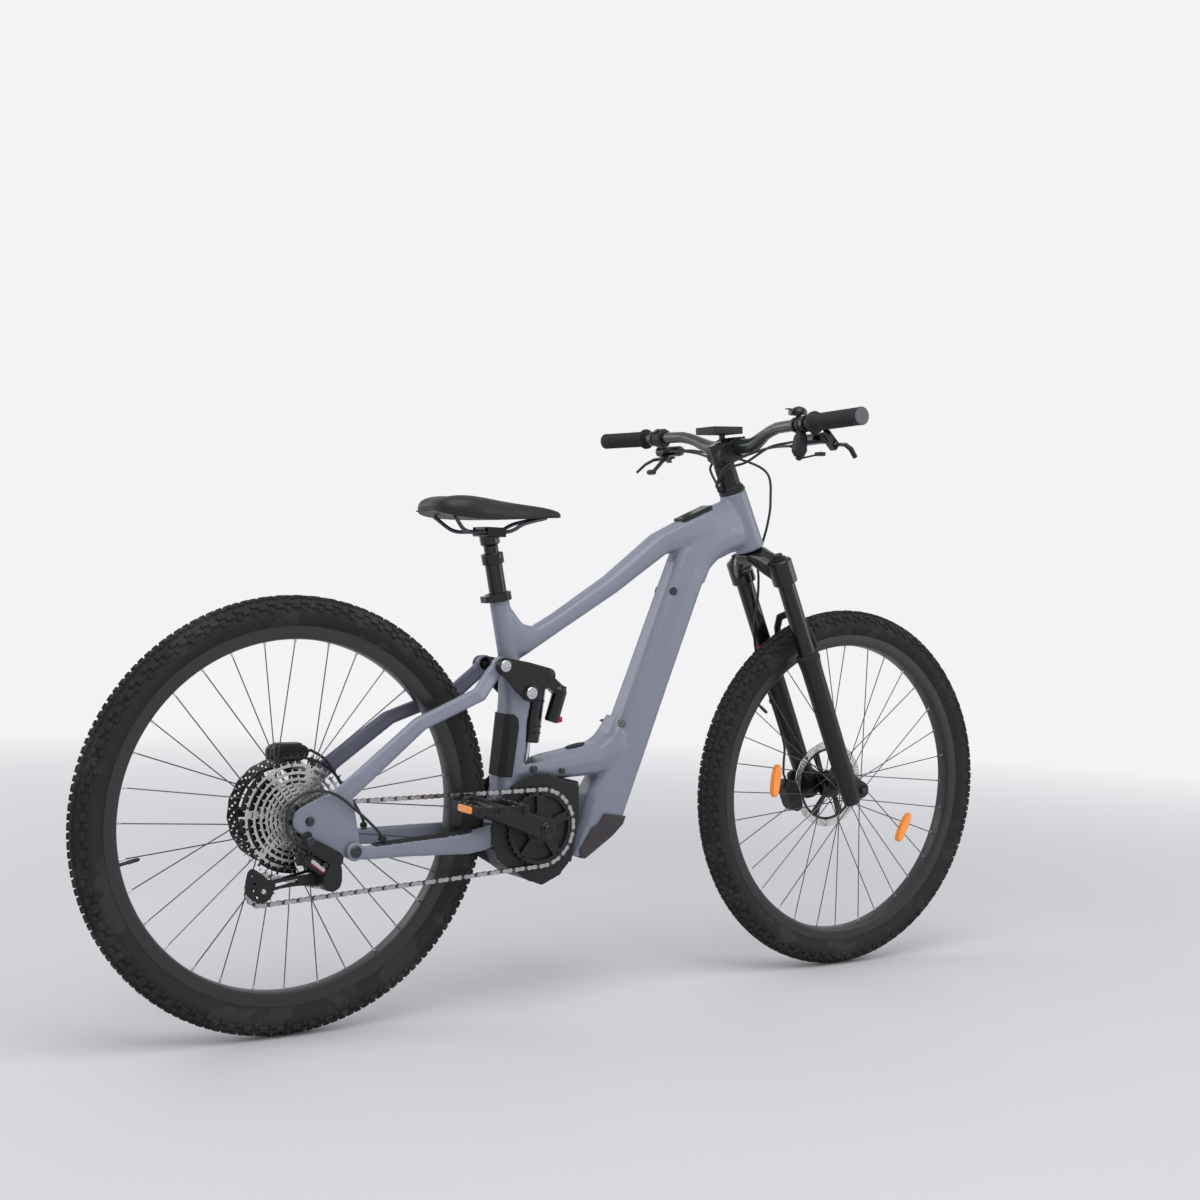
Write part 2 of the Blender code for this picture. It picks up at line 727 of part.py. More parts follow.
def crank_arms():
    pieces = [pin(CRANK, -ARM_INNER_Y - 0.004, ARM_INNER_Y + 0.004, SPINDLE_RADIUS, 12)]
    for side, axle in ((-1, PEDAL_RIGHT), (1, PEDAL_LEFT)):
        near, far = sorted((side * ARM_INNER_Y, side * ARM_OUTER_Y))
        pieces.append(hull_plate([(CRANK, 0.0190), (axle, 0.0135)], near, far, 7))
        pieces.append(pin(axle, side * (ARM_OUTER_Y - 0.004), side * (PEDAL_INNER_Y + 0.080),
                          PEDAL_AXLE_RADIUS, 8))
    node("crank_arms", combine(pieces), satin_black(), "crank")


def pedal(name, axle, side, parent):
    """A flat pedal: a barrel, two rails and two cross bars."""
    inner, outer = side * PEDAL_INNER_Y, side * (PEDAL_INNER_Y + PEDAL_WIDTH)
    near, far = min(inner, outer), max(inner, outer)
    barrel = pin(axle, near, far, 0.0100, 8)
    pieces = [barrel]
    for sign in (-1, 1):
        low = Vector((axle.x + sign * 0.0430 - 0.005, near, axle.z - 0.0085))
        pieces.append(upright_block(low, low + Vector((0.010, far - near, 0.017))))
    for share in (0.10, 0.90):
        y = near + share * (far - near)
        low = Vector((axle.x - 0.045, y - 0.004, axle.z - 0.007))
        pieces.append(upright_block(low, low + Vector((0.090, 0.008, 0.014))))
    bore = pin(axle, inner - side * 0.005, side * (PEDAL_INNER_Y + 0.084), bore_for(PEDAL_AXLE_RADIUS, 8),
               8)
    node(name, combine(pieces, [bore]), satin_black(), parent)


def drive():
    cassette()
    chain()
    chainring()
    crank_arms()
    pedal("pedal_right", PEDAL_RIGHT, -1, "pedal_turn_right")
    pedal("pedal_left", PEDAL_LEFT, 1, "pedal_turn_left")


drive()

# Frame

FRAME_SIDES = 10
FRAME_HALF = 0.0330
BRIDGE_HALF = 0.0395
SLOT_HALF = 0.0270
SHOCK_CLEARANCE = 0.0235
LUG_RADIUS = 0.0150
MAIN_AXLE_RADIUS = 0.0075
CHAINSTAY_BOSS_OUTER = 0.0460
ROCKER_AXLE_RADIUS = 0.0060
ROCKER_BOSS_HALF = 0.0364
SHOCK_BOLT_RADIUS = 0.0040
POST_INSERT = 0.122
BORE_SLACK = 0.0003
DOWN_TUBE_HALF_DEPTH = 0.0390
DOWN_TUBE_TOP_HALF = 0.0330
DOWN_TUBE_FOOT_HALF = 0.0385
BATTERY_HALF_WIDTH = 0.0265
BATTERY_HALF_DEPTH = 0.0310
BATTERY_LENGTH = 0.400
GUARD_THICKNESS = 0.0036
PORT_CENTRE = from_crank(0.1030, 0.0, 0.1388)
PORT_HALF_LENGTH = 0.0200
PORT_HALF_WIDTH = 0.0120
PORT_STAND = -0.0004
PLATE_CENTRE = from_head(-0.1168, -0.1050, 0.0)
PLATE_LENGTH = 0.074
PLATE_HALF_WIDTH = 0.0165
PLATE_DEPTH = 0.0050
PLATE_PROUD = 0.0025


def down_tube_ends():
    """Two points of the down tube's middle line: above the motor and under the head."""
    return from_crank(0.1866, 0.0, 0.0710), from_head(-0.0126, -0.1721, 0.0)


def down_tube_heading():
    foot, top = down_tube_ends()
    return (top - foot).normalized()


def across_down_tube():
    """The direction from the down tube's middle line to its front edge."""
    heading = down_tube_heading()
    return Vector((heading.z, 0.0, -heading.x))


def down_tube_stations(grow=0.0):
    """Front edge, rear edge and half width, from the throat under the head to the motor's foot."""
    foot, top = down_tube_ends()
    out = across_down_tube() * (DOWN_TUBE_HALF_DEPTH + grow)
    stations = []
    for share, half in ((1.11, 0.0310), (1.0, DOWN_TUBE_TOP_HALF), (0.485, 0.0355),
                        (0.10, DOWN_TUBE_FOOT_HALF)):
        middle = foot.lerp(top, share)
        stations.append((middle + out, middle - out, half + grow))
    for front, rear, half in (((0.2160, 0.0330), (0.1200, 0.0520), 0.0385),
                              ((0.2030, -0.0040), (0.1080, 0.0010), 0.0375),
                              ((0.1800, -0.0240), (0.0930, -0.0330), 0.0350),
                              ((0.1160, -0.0640), (0.0850, -0.0610), 0.0330)):
        front_edge = from_crank(front[0] + grow, 0.0, front[1] - grow)
        rear_edge = from_crank(rear[0] - grow, 0.0, rear[1])
        stations.append((front_edge, rear_edge, half + grow))
    return stations


def top_tube_stations():
    """Lower edge, upper edge and half width, from the seat tube to inside the head tube."""
    seat_end = (((-0.0534, 0.2960), (-0.0584, 0.4040), 0.0175),
                ((-0.0354, 0.2930), (-0.0440, 0.3900), 0.0185),
                ((-0.0154, 0.3040), (-0.0224, 0.3650), 0.0195), ((0.0066, 0.3180), (0.0016, 0.3590),
                                                                 0.0195),
                ((0.0626, 0.3530), (0.0436, 0.3820), 0.0205))
    head_end = (((-0.0432, -0.3319), (-0.0808, -0.3381), 0.0225),
                ((-0.0684, -0.1992), (-0.1141, -0.2084), 0.0250),
                ((-0.0544, -0.1430), (-0.1166, -0.1525), 0.0275), ((-0.0300, -0.0800), (-0.1170, -0.0870),
                                                                   0.0285),
                ((-0.0090, -0.0180), (-0.1150, -0.0180), 0.0250))
    stations = [(from_crank(low[0], 0.0, low[1]), from_crank(high[0], 0.0, high[1]), half)
                for low, high, half in seat_end]
    stations += [(from_head(*low, 0.0), from_head(*high, 0.0), half) for low, high, half in head_end]
    return stations


def throat_stations():
    """The gusset between the down tube's top and the head tube: lower edge, upper edge, half width."""
    measured = (((-0.0060, -0.0200), (-0.0900, -0.0180), 0.0250),
                ((-0.0118, -0.0547), (-0.0950, -0.0520), 0.0290),
                ((-0.0124, -0.0906), (-0.0900, -0.0950), 0.0310), ((-0.0028, -0.1157), (-0.0800, -0.1450),
                                                                   0.0320),
                ((0.0197, -0.1388), (-0.0550, -0.1900), 0.0320))
    return [(from_head(*low, 0.0), from_head(*high, 0.0), half) for low, high, half in measured]


def column_stations(grow=0.0):
    """Rear edge, front edge and half width of the seat tube's foot, down to the pivot lugs."""
    measured = (((-0.0640, 0.2960), (-0.0290, 0.2900), 0.0180),
                ((-0.0570, 0.2380), (-0.0050, 0.2400), 0.0310),
                ((-0.0565, 0.2160), (-0.0050, 0.2160), FRAME_HALF),
                ((-0.0580, 0.1860), (-0.0110, 0.1860), FRAME_HALF),
                ((-0.0655, 0.1110), (-0.0120, 0.1110), FRAME_HALF),
                ((-0.0680, 0.0760), (-0.0160, 0.0710), FRAME_HALF),
                ((-0.0670, 0.0430), (-0.0300, 0.0420), 0.0325))
    stations = []
    for rear, front, half in measured:
        stations.append((from_crank(rear[0] - grow, 0.0, rear[1]), from_crank(front[0], 0.0, front[1]),
                         half + grow))
    return stations


def bridge_stations():
    """Lower edge, upper edge and half width of the bridge over the motor."""
    measured = (((-0.0400, 0.0760), (-0.0380, 0.1150), 0.0330),
                ((0.0000, 0.0800), (0.0080, 0.1210), 0.0370),
                ((0.0670, 0.0810), (0.0720, 0.1320), BRIDGE_HALF),
                ((0.1350, 0.0850), (0.1400, 0.1470), BRIDGE_HALF),
                ((0.1640, 0.0900), (0.1620, 0.1620), 0.0390),
                ((0.2000, 0.0750), (0.1830, 0.2000), 0.0370))
    return [(from_crank(low[0], 0.0, low[1]), from_crank(high[0], 0.0, high[1]), half)
            for low, high, half in measured]


def shock_slot():
    """The room between the cheeks for the shock and its swing."""
    back = Vector((-SHOCK_AXIS.z, 0.0, SHOCK_AXIS.x))
    foot = SHOCK_FOOT - 0.0150 * SHOCK_AXIS
    top = SHOCK_FOOT + 0.190 * SHOCK_AXIS
    outline = [foot + SHOCK_CLEARANCE * back, top + SHOCK_CLEARANCE * back,
               top - 0.060 * back, foot + 0.070 * SHOCK_AXIS - 0.034 * back,
               foot + 0.020 * SHOCK_AXIS - 0.026 * back, foot - 0.020 * back]
    return plate(outline, -SLOT_HALF, SLOT_HALF)


def battery_block(slack, foot_room=0.0):
    """A rounded bar along the down tube; slack widens it and foot_room lengthens its foot."""
    heading = down_tube_heading()
    out = across_down_tube()
    foot = down_tube_ends()[0] + 0.031 * heading
    half_depth = BATTERY_HALF_DEPTH + slack
    half_width = BATTERY_HALF_WIDTH + slack
    rings = []
    for height in (-foot_room, BATTERY_LENGTH + slack):
        centre = foot + height * heading
        rings.append(oval_ring(centre, half_depth * out, half_width * LEFT, 8, 4.0))
    return rings


def battery_pocket():
    """The pocket runs past the battery's foot and out through the front of the tube's lower end."""
    rings = battery_block(2 * GAP, 0.030)
    mouth = from_crank(0.2000, 0.0, -0.0600)
    low = oval_ring(mouth, 0.0160 * Vector((0.8, 0.0, -0.6)), (BATTERY_HALF_WIDTH + 2 * GAP) * LEFT, 8, 4.0)
    return skin([low, *rings])


def plate_block(length, half_width, low, high):
    """A box on the top tube, from a depth below its top line to a height above it."""
    centre = PLATE_CENTRE - (low + high) / 2 * DOWN
    return block(centre, LEFT, AHEAD, DOWN, (half_width, length / 2, (high - low) / 2))


def plate_recess():
    return plate_block(PLATE_LENGTH + 2 * GAP, PLATE_HALF_WIDTH + GAP, -PLATE_DEPTH - GAP, 0.020)


def control_plate():
    piece = plate_block(PLATE_LENGTH, PLATE_HALF_WIDTH, -PLATE_DEPTH, PLATE_PROUD)
    node("control_plate", piece, gloss_black(), "bike")


def port_slope():
    """Along and square to the bridge's top face at the charge port."""
    along = (from_crank(0.1400, 0.0, 0.1470) - from_crank(0.0720, 0.0, 0.1320)).normalized()
    return along, Vector((-along.z, 0.0, along.x))


def port_recess():
    along, out = port_slope()
    return rod(PORT_CENTRE - 0.018 * out, out, [(0.0, 0.0080), (0.040, 0.0080)], 8)


def charge_port_flap():
    """An oval lid on the top of the bridge, hinged at its front end."""
    along, out = port_slope()
    rings = [oval_ring(PORT_CENTRE + height * out, PORT_HALF_LENGTH * along, PORT_HALF_WIDTH * LEFT, 14,
                       2.4)
             for height in (PORT_STAND, PORT_STAND + 0.0025)]
    node("charge_port_flap", skin(rings), guard_rubber(), "port_flap")


def main_frame():
    head = rod(HEAD_BOTTOM, -DOWN, [(0.0, HEAD_TUBE_BOTTOM_RADIUS),
                                    (0.020, HEAD_TUBE_BOTTOM_RADIUS - 0.001),
                                    (HEAD_TUBE_LENGTH, HEAD_TUBE_TOP_RADIUS)], 16)
    seat = bar(SEAT_TOP, SEAT_TOP - 0.155 * UP_SEAT, SEAT_TUBE_RADIUS, 14)
    pieces = [head, strut(throat_stations(), FRAME_SIDES), strut(down_tube_stations(), FRAME_SIDES, 3.2),
              strut(top_tube_stations(), FRAME_SIDES), seat, strut(column_stations(), FRAME_SIDES, 3.0),
              strut(bridge_stations(), FRAME_SIDES, 3.0)]
    lug = hull_plate([(MAIN_PIVOT, LUG_RADIUS), (from_crank(-0.0420, 0.0, 0.0620), 0.0180)],
                     -FRAME_HALF, FRAME_HALF, 7)
    pieces.append(lug)
    for end in (-1, 1):
        near, far = sorted((end * 0.0200, end * ROCKER_BOSS_HALF))
        pieces.append(pin(ROCKER_PIVOT, near, far, 0.0170, 12))
    steerer = rod(HEAD_BOTTOM, -DOWN, [(-0.004, STEERER_BOTTOM_RADIUS + 3 * BORE_SLACK),
                                       (HEAD_TUBE_LENGTH + 0.004, STEERER_TOP_RADIUS + 3 * BORE_SLACK)], 14)
    post = bar(SEAT_TOP + 0.010 * UP_SEAT, SEAT_TOP - (POST_INSERT + 0.003) * UP_SEAT,
               POST_RADIUS + BORE_SLACK, 14)
    cuts = [steerer, post, shock_slot(), battery_pocket(),
            pin(ROCKER_PIVOT, -0.050, 0.050, bore_for(ROCKER_AXLE_RADIUS),
                12), plate_recess(), port_recess()]
    carved = combine(pieces, cuts)
    axle = pin(MAIN_PIVOT, -CHAINSTAY_BOSS_OUTER, CHAINSTAY_BOSS_OUTER, MAIN_AXLE_RADIUS, 10)
    bolt = pin(SHOCK_FOOT, -SLOT_HALF - 0.003, SLOT_HALF + 0.003, SHOCK_BOLT_RADIUS, 12)
    node("main_frame", combine([carved, axle, bolt]), frame_paint(), "bike", 28.0)


def battery():
    node("battery", skin(battery_block(0.0)), satin_black(), "bike")


def down_tube_guard():
    """A shell over the lower front corner of the down tube, clear of the tube by the usual gap."""
    outer = strut(down_tube_stations(GUARD_THICKNESS), FRAME_SIDES, 3.2)
    inner = strut(down_tube_stations(5 * GAP), FRAME_SIDES, 3.2)
    corner = [(0.1480, 0.0170), (0.1360, -0.0020), (0.1240, -0.0080), (0.1060, -0.0400), (0.0990, -0.0480),
              (0.1100, -0.1000), (0.2400, -0.1000), (0.2400, -0.0100), (0.2040, 0.0080)]
    region = plate([from_crank(x, 0.0, z) for x, z in corner], -0.060, 0.060)
    keep_only(outer, region)
    node("down_tube_guard", combine([outer], [inner]), guard_rubber(), "bike")


def keep_only(piece, region):
    """Trims the piece to what lies in the region, which is used up."""
    modifier = piece.modifiers.new("boolean", "BOOLEAN")
    modifier.operation = "INTERSECT"
    modifier.solver = "EXACT"
    modifier.object = region
    mesh = evaluated_mesh(piece)
    piece.modifiers.clear()
    piece.data = mesh
    bpy.data.objects.remove(region)


def seat_tube_guard():
    """A rubber shell over the rear of the seat tube's foot, behind which the tyre rises."""
    outer = strut(column_stations(0.0024), FRAME_SIDES, 3.0)
    inner = strut(column_stations(GAP), FRAME_SIDES, 3.0)
    outline = [(-0.0900, 0.2020), (-0.0480, 0.2020), (-0.0400, 0.1950), (-0.0380, 0.1800),
               (-0.0480, 0.0900), (-0.0900, 0.0900)]
    region = plate([from_crank(x, 0.0, z) for x, z in outline], -0.060, 0.060)
    keep_only(outer, region)
    node("seat_tube_guard", combine([outer], [inner]), guard_rubber(), "bike")


# Motor

MOTOR_HALF = 0.0465
COVER_THICKNESS = 0.0035
MOTOR_ARC_RADIUS = 0.0980


def motor_outline():
    """Clear of the pivot lugs at the rear and of the down tube's foot in front."""
    points = [(-0.0330, 0.0370), (-0.0300, 0.0520), (-0.0210, 0.0790), (0.0850, 0.0800), (0.0890, 0.0200),
              (0.0760, -0.0580), (0.0480, -0.0890), (0.0120, -0.1045), (-0.0210, -0.0920), (-0.0430,
                                                                                            -0.0770),
              (-0.0680, -0.0430), (-0.0640, -0.0300), (-0.0530, -0.0240), (-0.0420, -0.0130), (-0.0345,
                                                                                               0.0060),
              (-0.0345, 0.0200)]
    return [from_crank(x, 0.0, z) for x, z in points]


def cover_outline():
    """Round over the pivot on its rear side, low in front."""
    points = []
    for step in range(8):
        angle = math.radians(80 + 135 * step / 7)
        points.append((MOTOR_ARC_RADIUS * math.cos(angle), MOTOR_ARC_RADIUS * math.sin(angle)))
    points += [(-0.0430, -0.0780), (-0.0210, -0.0930), (0.0120, -0.1050), (0.0480, -0.0895),
               (0.0740, -0.0600),
               (0.0860, 0.0100), (0.0830, 0.0720)]
    return [from_crank(x, 0.0, z) for x, z in points]


def motor_housing():
    slack = 2 * GAP
    pieces = [plate(motor_outline(), -MOTOR_HALF, MOTOR_HALF)]
    for side in (-1, 1):
        near, far = sorted((side * (MOTOR_HALF - 0.0002), side * (MOTOR_HALF + COVER_THICKNESS)))
        pieces.append(plate(cover_outline(), near, far))
    pieces.append(hull_plate([(CRANK, 0.0330), (from_crank(0.0300, 0.0, -0.0350), 0.0260)],
                             MOTOR_HALF, MOTOR_HALF + 0.0130, 7))
    bore = pin(CRANK, -0.080, 0.080, bore_for(SPINDLE_RADIUS, 12), 12)
    frame_room = strut([(low - GAP * SHOCK_AXIS, high, half + GAP) for low, high,
                        half in bridge_stations()],
                       FRAME_SIDES, 3.0)
    lug_room = hull_plate([(MAIN_PIVOT, LUG_RADIUS + 0.002), (from_crank(-0.0420, 0.0, 0.0620), 0.0200)],
                          -FRAME_HALF - slack, FRAME_HALF + slack, 7)
    column_room = strut([(rear, front + slack * DOWN, half + slack)
                         for rear, front, half in column_stations()], FRAME_SIDES, 3.0)
    tube_room = strut(down_tube_stations(slack), FRAME_SIDES, 3.2)
    housing = combine(pieces, [bore, frame_room, lug_room, column_room, tube_room])
    node("motor_housing", housing, gloss_black(), "bike")


# Rear end

CHAINSTAY_INNER = FRAME_HALF + 0.0006
DROPOUT_INNER = 0.0740
DROPOUT_OUTER = 0.0815
HORST_OUTER = 0.0915
HORST_RADIUS = 0.0160
HORST_PIN_RADIUS = 0.0060
STAY_END_INNER = 0.0220
STAY_END_OUTER = 0.0360
STAY_EYE_RADIUS = 0.0160
STAY_HOLE_RADIUS = 0.0120
AXLE_HEAD_RADIUS = 0.0110


def arm(stations, side, sides=12, squareness=3.0):
    """A tube down one side of the bike: stations of (centre, half width, half height vector)."""
    rings = []
    for centre, half_width, half_height in stations:
        placed = Vector((centre.x, side * centre.y, centre.z))
        rings.append(oval_ring(placed, half_height, side * half_width * LEFT, sides, squareness))
    return skin(rings)


def chainstay():
    pieces = []
    for side in (-1, 1):
        up = Vector((0.0, 0.0, 1.0))
        stations = [(HORST_PIVOT + Vector((0.000, 0.0869, -0.001)), 0.0045, 0.0115 * up),
                    (HORST_PIVOT + Vector((0.020, 0.0870, -0.003)), 0.0046, 0.0125 * up),
                    (HORST_PIVOT + Vector((0.045, 0.0760, -0.003)), 0.0080, 0.0135 * up),
                    (from_axle(0.190, 0.0690, -0.0550), 0.0085, 0.0160 * up),
                    (MAIN_PIVOT + Vector((-0.0900, 0.0520, -0.0340)), 0.0085, 0.0215 * up),
                    (MAIN_PIVOT + Vector((-0.0500, 0.0402, -0.0310)), 0.0056, 0.0220 * up),
                    (MAIN_PIVOT + Vector((-0.0260, 0.0400, -0.0250)), 0.0054, 0.0200 * up)]
        pieces.append(arm(stations, side, 8))
        near, far = sorted((side * (DROPOUT_OUTER + GAP), side * HORST_OUTER))
        pieces.append(pin(HORST_PIVOT, near, far, HORST_RADIUS, 14))
        near, far = sorted((side * CHAINSTAY_INNER, side * CHAINSTAY_BOSS_OUTER))
        pieces.append(hull_plate([(MAIN_PIVOT, 0.0175),
                                  (MAIN_PIVOT + Vector((-0.0260, 0.0, -0.0260)), 0.0185)], near, far, 6))
    low = MAIN_PIVOT + Vector((-0.0275, -CHAINSTAY_INNER - 0.004, -0.0430))
    high = MAIN_PIVOT + Vector((-0.0170, CHAINSTAY_INNER + 0.004, -0.0060))
    pieces.append(upright_block(low, high))
    cuts = [pin(MAIN_PIVOT, -0.060, 0.060, bore_for(MAIN_AXLE_RADIUS, 10), 10),
            pin(HORST_PIVOT, -0.100, 0.100, bore_for(HORST_PIN_RADIUS, 10), 10)]
    node("chainstay", combine(pieces, cuts), frame_paint(), "chainstay_group", 28.0)


def seatstay(name, side):
    """One stay: an eye beside the seat tube, the tube, and the dropout plate down to its pivot."""
    heading = (HORST_PIVOT - STAY_PIVOT).normalized()
    up = Vector((heading.z, 0.0, -heading.x)) * -1.0
    middle = (STAY_END_INNER + STAY_END_OUTER) / 2
    stations = [(STAY_PIVOT + middle * LEFT, 0.0065, 0.0140 * up),
                (STAY_PIVOT + 0.024 * heading + (middle + 0.0005) * LEFT, 0.0068, 0.0150 * up),
                (STAY_PIVOT + 0.070 * heading + 0.0440 * LEFT, 0.0080, 0.0150 * up),
                (from_axle(0.2030, 0.0610, 0.1530), 0.0085, 0.0145 * up),
                (from_axle(0.0880, 0.0760, 0.0640), 0.0070, 0.0165 * up),
                (from_axle(0.0480, 0.0785, 0.0330), 0.0042, 0.0180 * up)]
    pieces = [arm(stations, side, 8)]
    near, far = sorted((side * STAY_END_INNER, side * STAY_END_OUTER))
    pieces.append(pin(STAY_PIVOT, near, far, STAY_EYE_RADIUS, 12))
    near, far = sorted((side * DROPOUT_INNER, side * DROPOUT_OUTER))
    circles = [(REAR_AXLE + Vector((-0.006, 0.0, 0.002)), 0.0230), (HORST_PIVOT, 0.0150),
               (from_axle(0.0600, 0.0, 0.0330), 0.0150), (from_axle(0.0300, 0.0, 0.0180), 0.0230)]
    pieces.append(hull_plate(circles, near, far, 6))
    near, far = sorted((side * (DROPOUT_OUTER - 0.0005), side * (HORST_OUTER - 0.002)))
    pieces.append(pin(HORST_PIVOT, near, far, HORST_PIN_RADIUS, 10))
    cuts = [pin(REAR_AXLE, -0.100, 0.100, AXLE_RADIUS_REAR + GAP, 12),
            pin(STAY_PIVOT, *sorted((side * 0.010, side * 0.050)), STAY_HOLE_RADIUS, 12)]
    node(name, combine(pieces, cuts), frame_paint(), "seatstay_group", 28.0)


def rear_axle():
    shaft = pin(REAR_AXLE, -DROPOUT_OUTER - 0.002, DROPOUT_OUTER + 0.004, AXLE_RADIUS_REAR, 12)
    head = pin(REAR_AXLE, DROPOUT_OUTER + GAP, DROPOUT_OUTER + 0.004, AXLE_HEAD_RADIUS, 12)
    node("rear_axle", combine([shaft, head]), dark_steel(), "seatstay_group")


def rocker():
    """Two plates joined by the axle through the frame."""
    inner = 0.0368
    outer = 0.0455
    pieces = [pin(ROCKER_PIVOT, -inner - 0.0035, inner + 0.0035, ROCKER_AXLE_RADIUS, 12)]
    arm_inner = SLOT_HALF + 0.0002
    for side in (-1, 1):
        near, far = sorted((side * inner, side * outer))
        circles = [(STAY_PIVOT, 0.0150), (ROCKER_PIVOT, 0.0160), (SHOCK_TOP, 0.0135),
                   (STAY_PIVOT.lerp(SHOCK_TOP, 0.5) + Vector((0.0, 0.0, 0.004)), 0.0120)]
        pieces.append(hull_plate(circles, near, far, 6))
        near, far = sorted((side * (STAY_END_INNER + 0.002), side * (inner + 0.001)))
        pieces.append(pin(STAY_PIVOT, near, far, 0.0054, 8))
        near, far = sorted((side * arm_inner, side * (inner + 0.001)))
        pieces.append(pin(SHOCK_TOP, near, far, 0.0115, 10))
        for centre, radius in ((STAY_PIVOT, 0.0080), (ROCKER_PIVOT, 0.0085), (SHOCK_TOP, 0.0070)):
            near, far = sorted((side * (outer - 0.001), side * (outer + 0.0022)))
            pieces.append(pin(centre, near, far, radius, 8))
    node("rocker", combine(pieces), satin_black(), "rocker_group")


# Shock

SHOCK_BODY_RADIUS = 0.0200
SHAFT_RADIUS = 0.0050
BODY_FOOT = 0.0575
RESERVOIR_RADIUS = 0.0135
TRUNNION_HALF = 0.0267


def shock_body():
    length = (SHOCK_TOP - SHOCK_FOOT).length
    foot = SHOCK_FOOT + BODY_FOOT * SHOCK_AXIS
    can = rod(foot, SHOCK_AXIS, [(0.0, SHOCK_BODY_RADIUS - 0.002), (0.003, SHOCK_BODY_RADIUS),
                                 (length - BODY_FOOT - 0.022, SHOCK_BODY_RADIUS),
                                 (length - BODY_FOOT - 0.016, 0.0150), (length - BODY_FOOT, 0.0120)], 12)
    trunnion = pin(SHOCK_TOP, -TRUNNION_HALF, TRUNNION_HALF, 0.0115, 12)
    reservoir_top = from_crank(0.0560, -0.0200, 0.2500)
    reservoir_foot = from_crank(0.0370, -0.0200, 0.1860)
    reservoir = rod(reservoir_foot, reservoir_top - reservoir_foot,
                    [(0.0, RESERVOIR_RADIUS - 0.002), (0.003, RESERVOIR_RADIUS),
                     (0.060, RESERVOIR_RADIUS), (0.064, 0.0110), (0.069, 0.0110)], 12)
    neck = hull_plate([(SHOCK_TOP + Vector((0.004, 0.0, -0.002)), 0.0105),
                       (reservoir_top + Vector((-0.006, 0.0, -0.006)), 0.0110)], -0.0260, -0.0080, 6)
    bore = bar(foot - 0.010 * SHOCK_AXIS, foot + 0.068 * SHOCK_AXIS, SHAFT_RADIUS + GAP, 10)
    node("shock_body", combine([can, trunnion, reservoir, neck], [bore]), gloss_black(), "shock_slide")


def shock_shaft():
    shaft = bar(SHOCK_FOOT, SHOCK_FOOT + (BODY_FOOT + 0.012) * SHOCK_AXIS, SHAFT_RADIUS, 10)
    eye = pin(SHOCK_FOOT, -0.0110, 0.0110, 0.0105, 12)
    sleeve = pin(SHOCK_FOOT, -SLOT_HALF + GAP, SLOT_HALF - GAP, 0.0070, 12)
    bore = pin(SHOCK_FOOT, -0.040, 0.040, SHOCK_BOLT_RADIUS + GAP, 12)
    node("shock_shaft", combine([shaft, eye, sleeve], [bore]), bright_steel(), "shock_foot")


def frame_and_rear():
    main_frame()
    battery()
    control_plate()
    charge_port_flap()
    down_tube_guard()
    seat_tube_guard()
    motor_housing()
    chainstay()
    seatstay("seatstay_right", -1)
    seatstay("seatstay_left", 1)
    rear_axle()
    rocker()
    shock_body()
    shock_shaft()


frame_and_rear()

# Fork

CROWN_CLAMP_RADIUS = 0.0250
CROWN_TOP = 0.0260
CROWN_FOOT = 0.0760
STANCHION_FOOT = 0.370
LOWER_FOOT = FORK_LENGTH + 0.0125
DROPOUT_HALF_INNER = FRONT_HUB_HALF + GAP
FORK_DROPOUT_OUTER = 0.0670
ARCH_FORWARD = 0.0440
SPACER_RADIUS = 0.0205
SPACER_TOP = 0.0580
STEM_CLAMP_TOP = 0.1000
STEERER_TOP = 0.0970
SLIDE_SLACK = 0.0003


def crown_ring(y, high, low, forward, depth):
    centre = from_head((high + low) / 2, forward, y)
    return oval_ring(centre, (low - high) / 2 * DOWN, depth * AHEAD, 10, 3.0)


def fork_crown():
    """The steerer, the crown and the two stanchions."""
    steerer = rod(HEAD_BOTTOM, -DOWN, [(-0.010, STEERER_BOTTOM_RADIUS), (0.0, STEERER_BOTTOM_RADIUS),
                                       (HEAD_TUBE_LENGTH, STEERER_TOP_RADIUS),
                                       (HEAD_TUBE_LENGTH + STEERER_TOP, STEERER_TOP_RADIUS)], 12)
    half = [(LEG_SPREAD - 0.004, 0.033, 0.074, LEG_OFFSET, 0.0220), (0.040, 0.012, 0.052, 0.004, 0.0240),
            (0.018, GAP, 0.026, 0.0, 0.0270)]
    rings = [crown_ring(-y, *rest) for y, *rest in half]
    rings += [crown_ring(y, *rest) for y, *rest in reversed(half)]
    pieces = [skin(rings), steerer]
    for side in (-1, 1):
        top = from_head(0.0, LEG_OFFSET, side * LEG_SPREAD)
        clamp = [(CROWN_TOP, 0.0200), (CROWN_TOP + 0.004, CROWN_CLAMP_RADIUS),
                 (CROWN_FOOT, CROWN_CLAMP_RADIUS)]
        pieces.append(rod(top, DOWN, clamp, 12))
        pieces.append(rod(top, DOWN, [(CROWN_FOOT - 0.010, STANCHION_RADIUS),
                                      (STANCHION_FOOT, STANCHION_RADIUS)], 12))
    node("fork_crown", combine(pieces), gloss_black(), "steering")


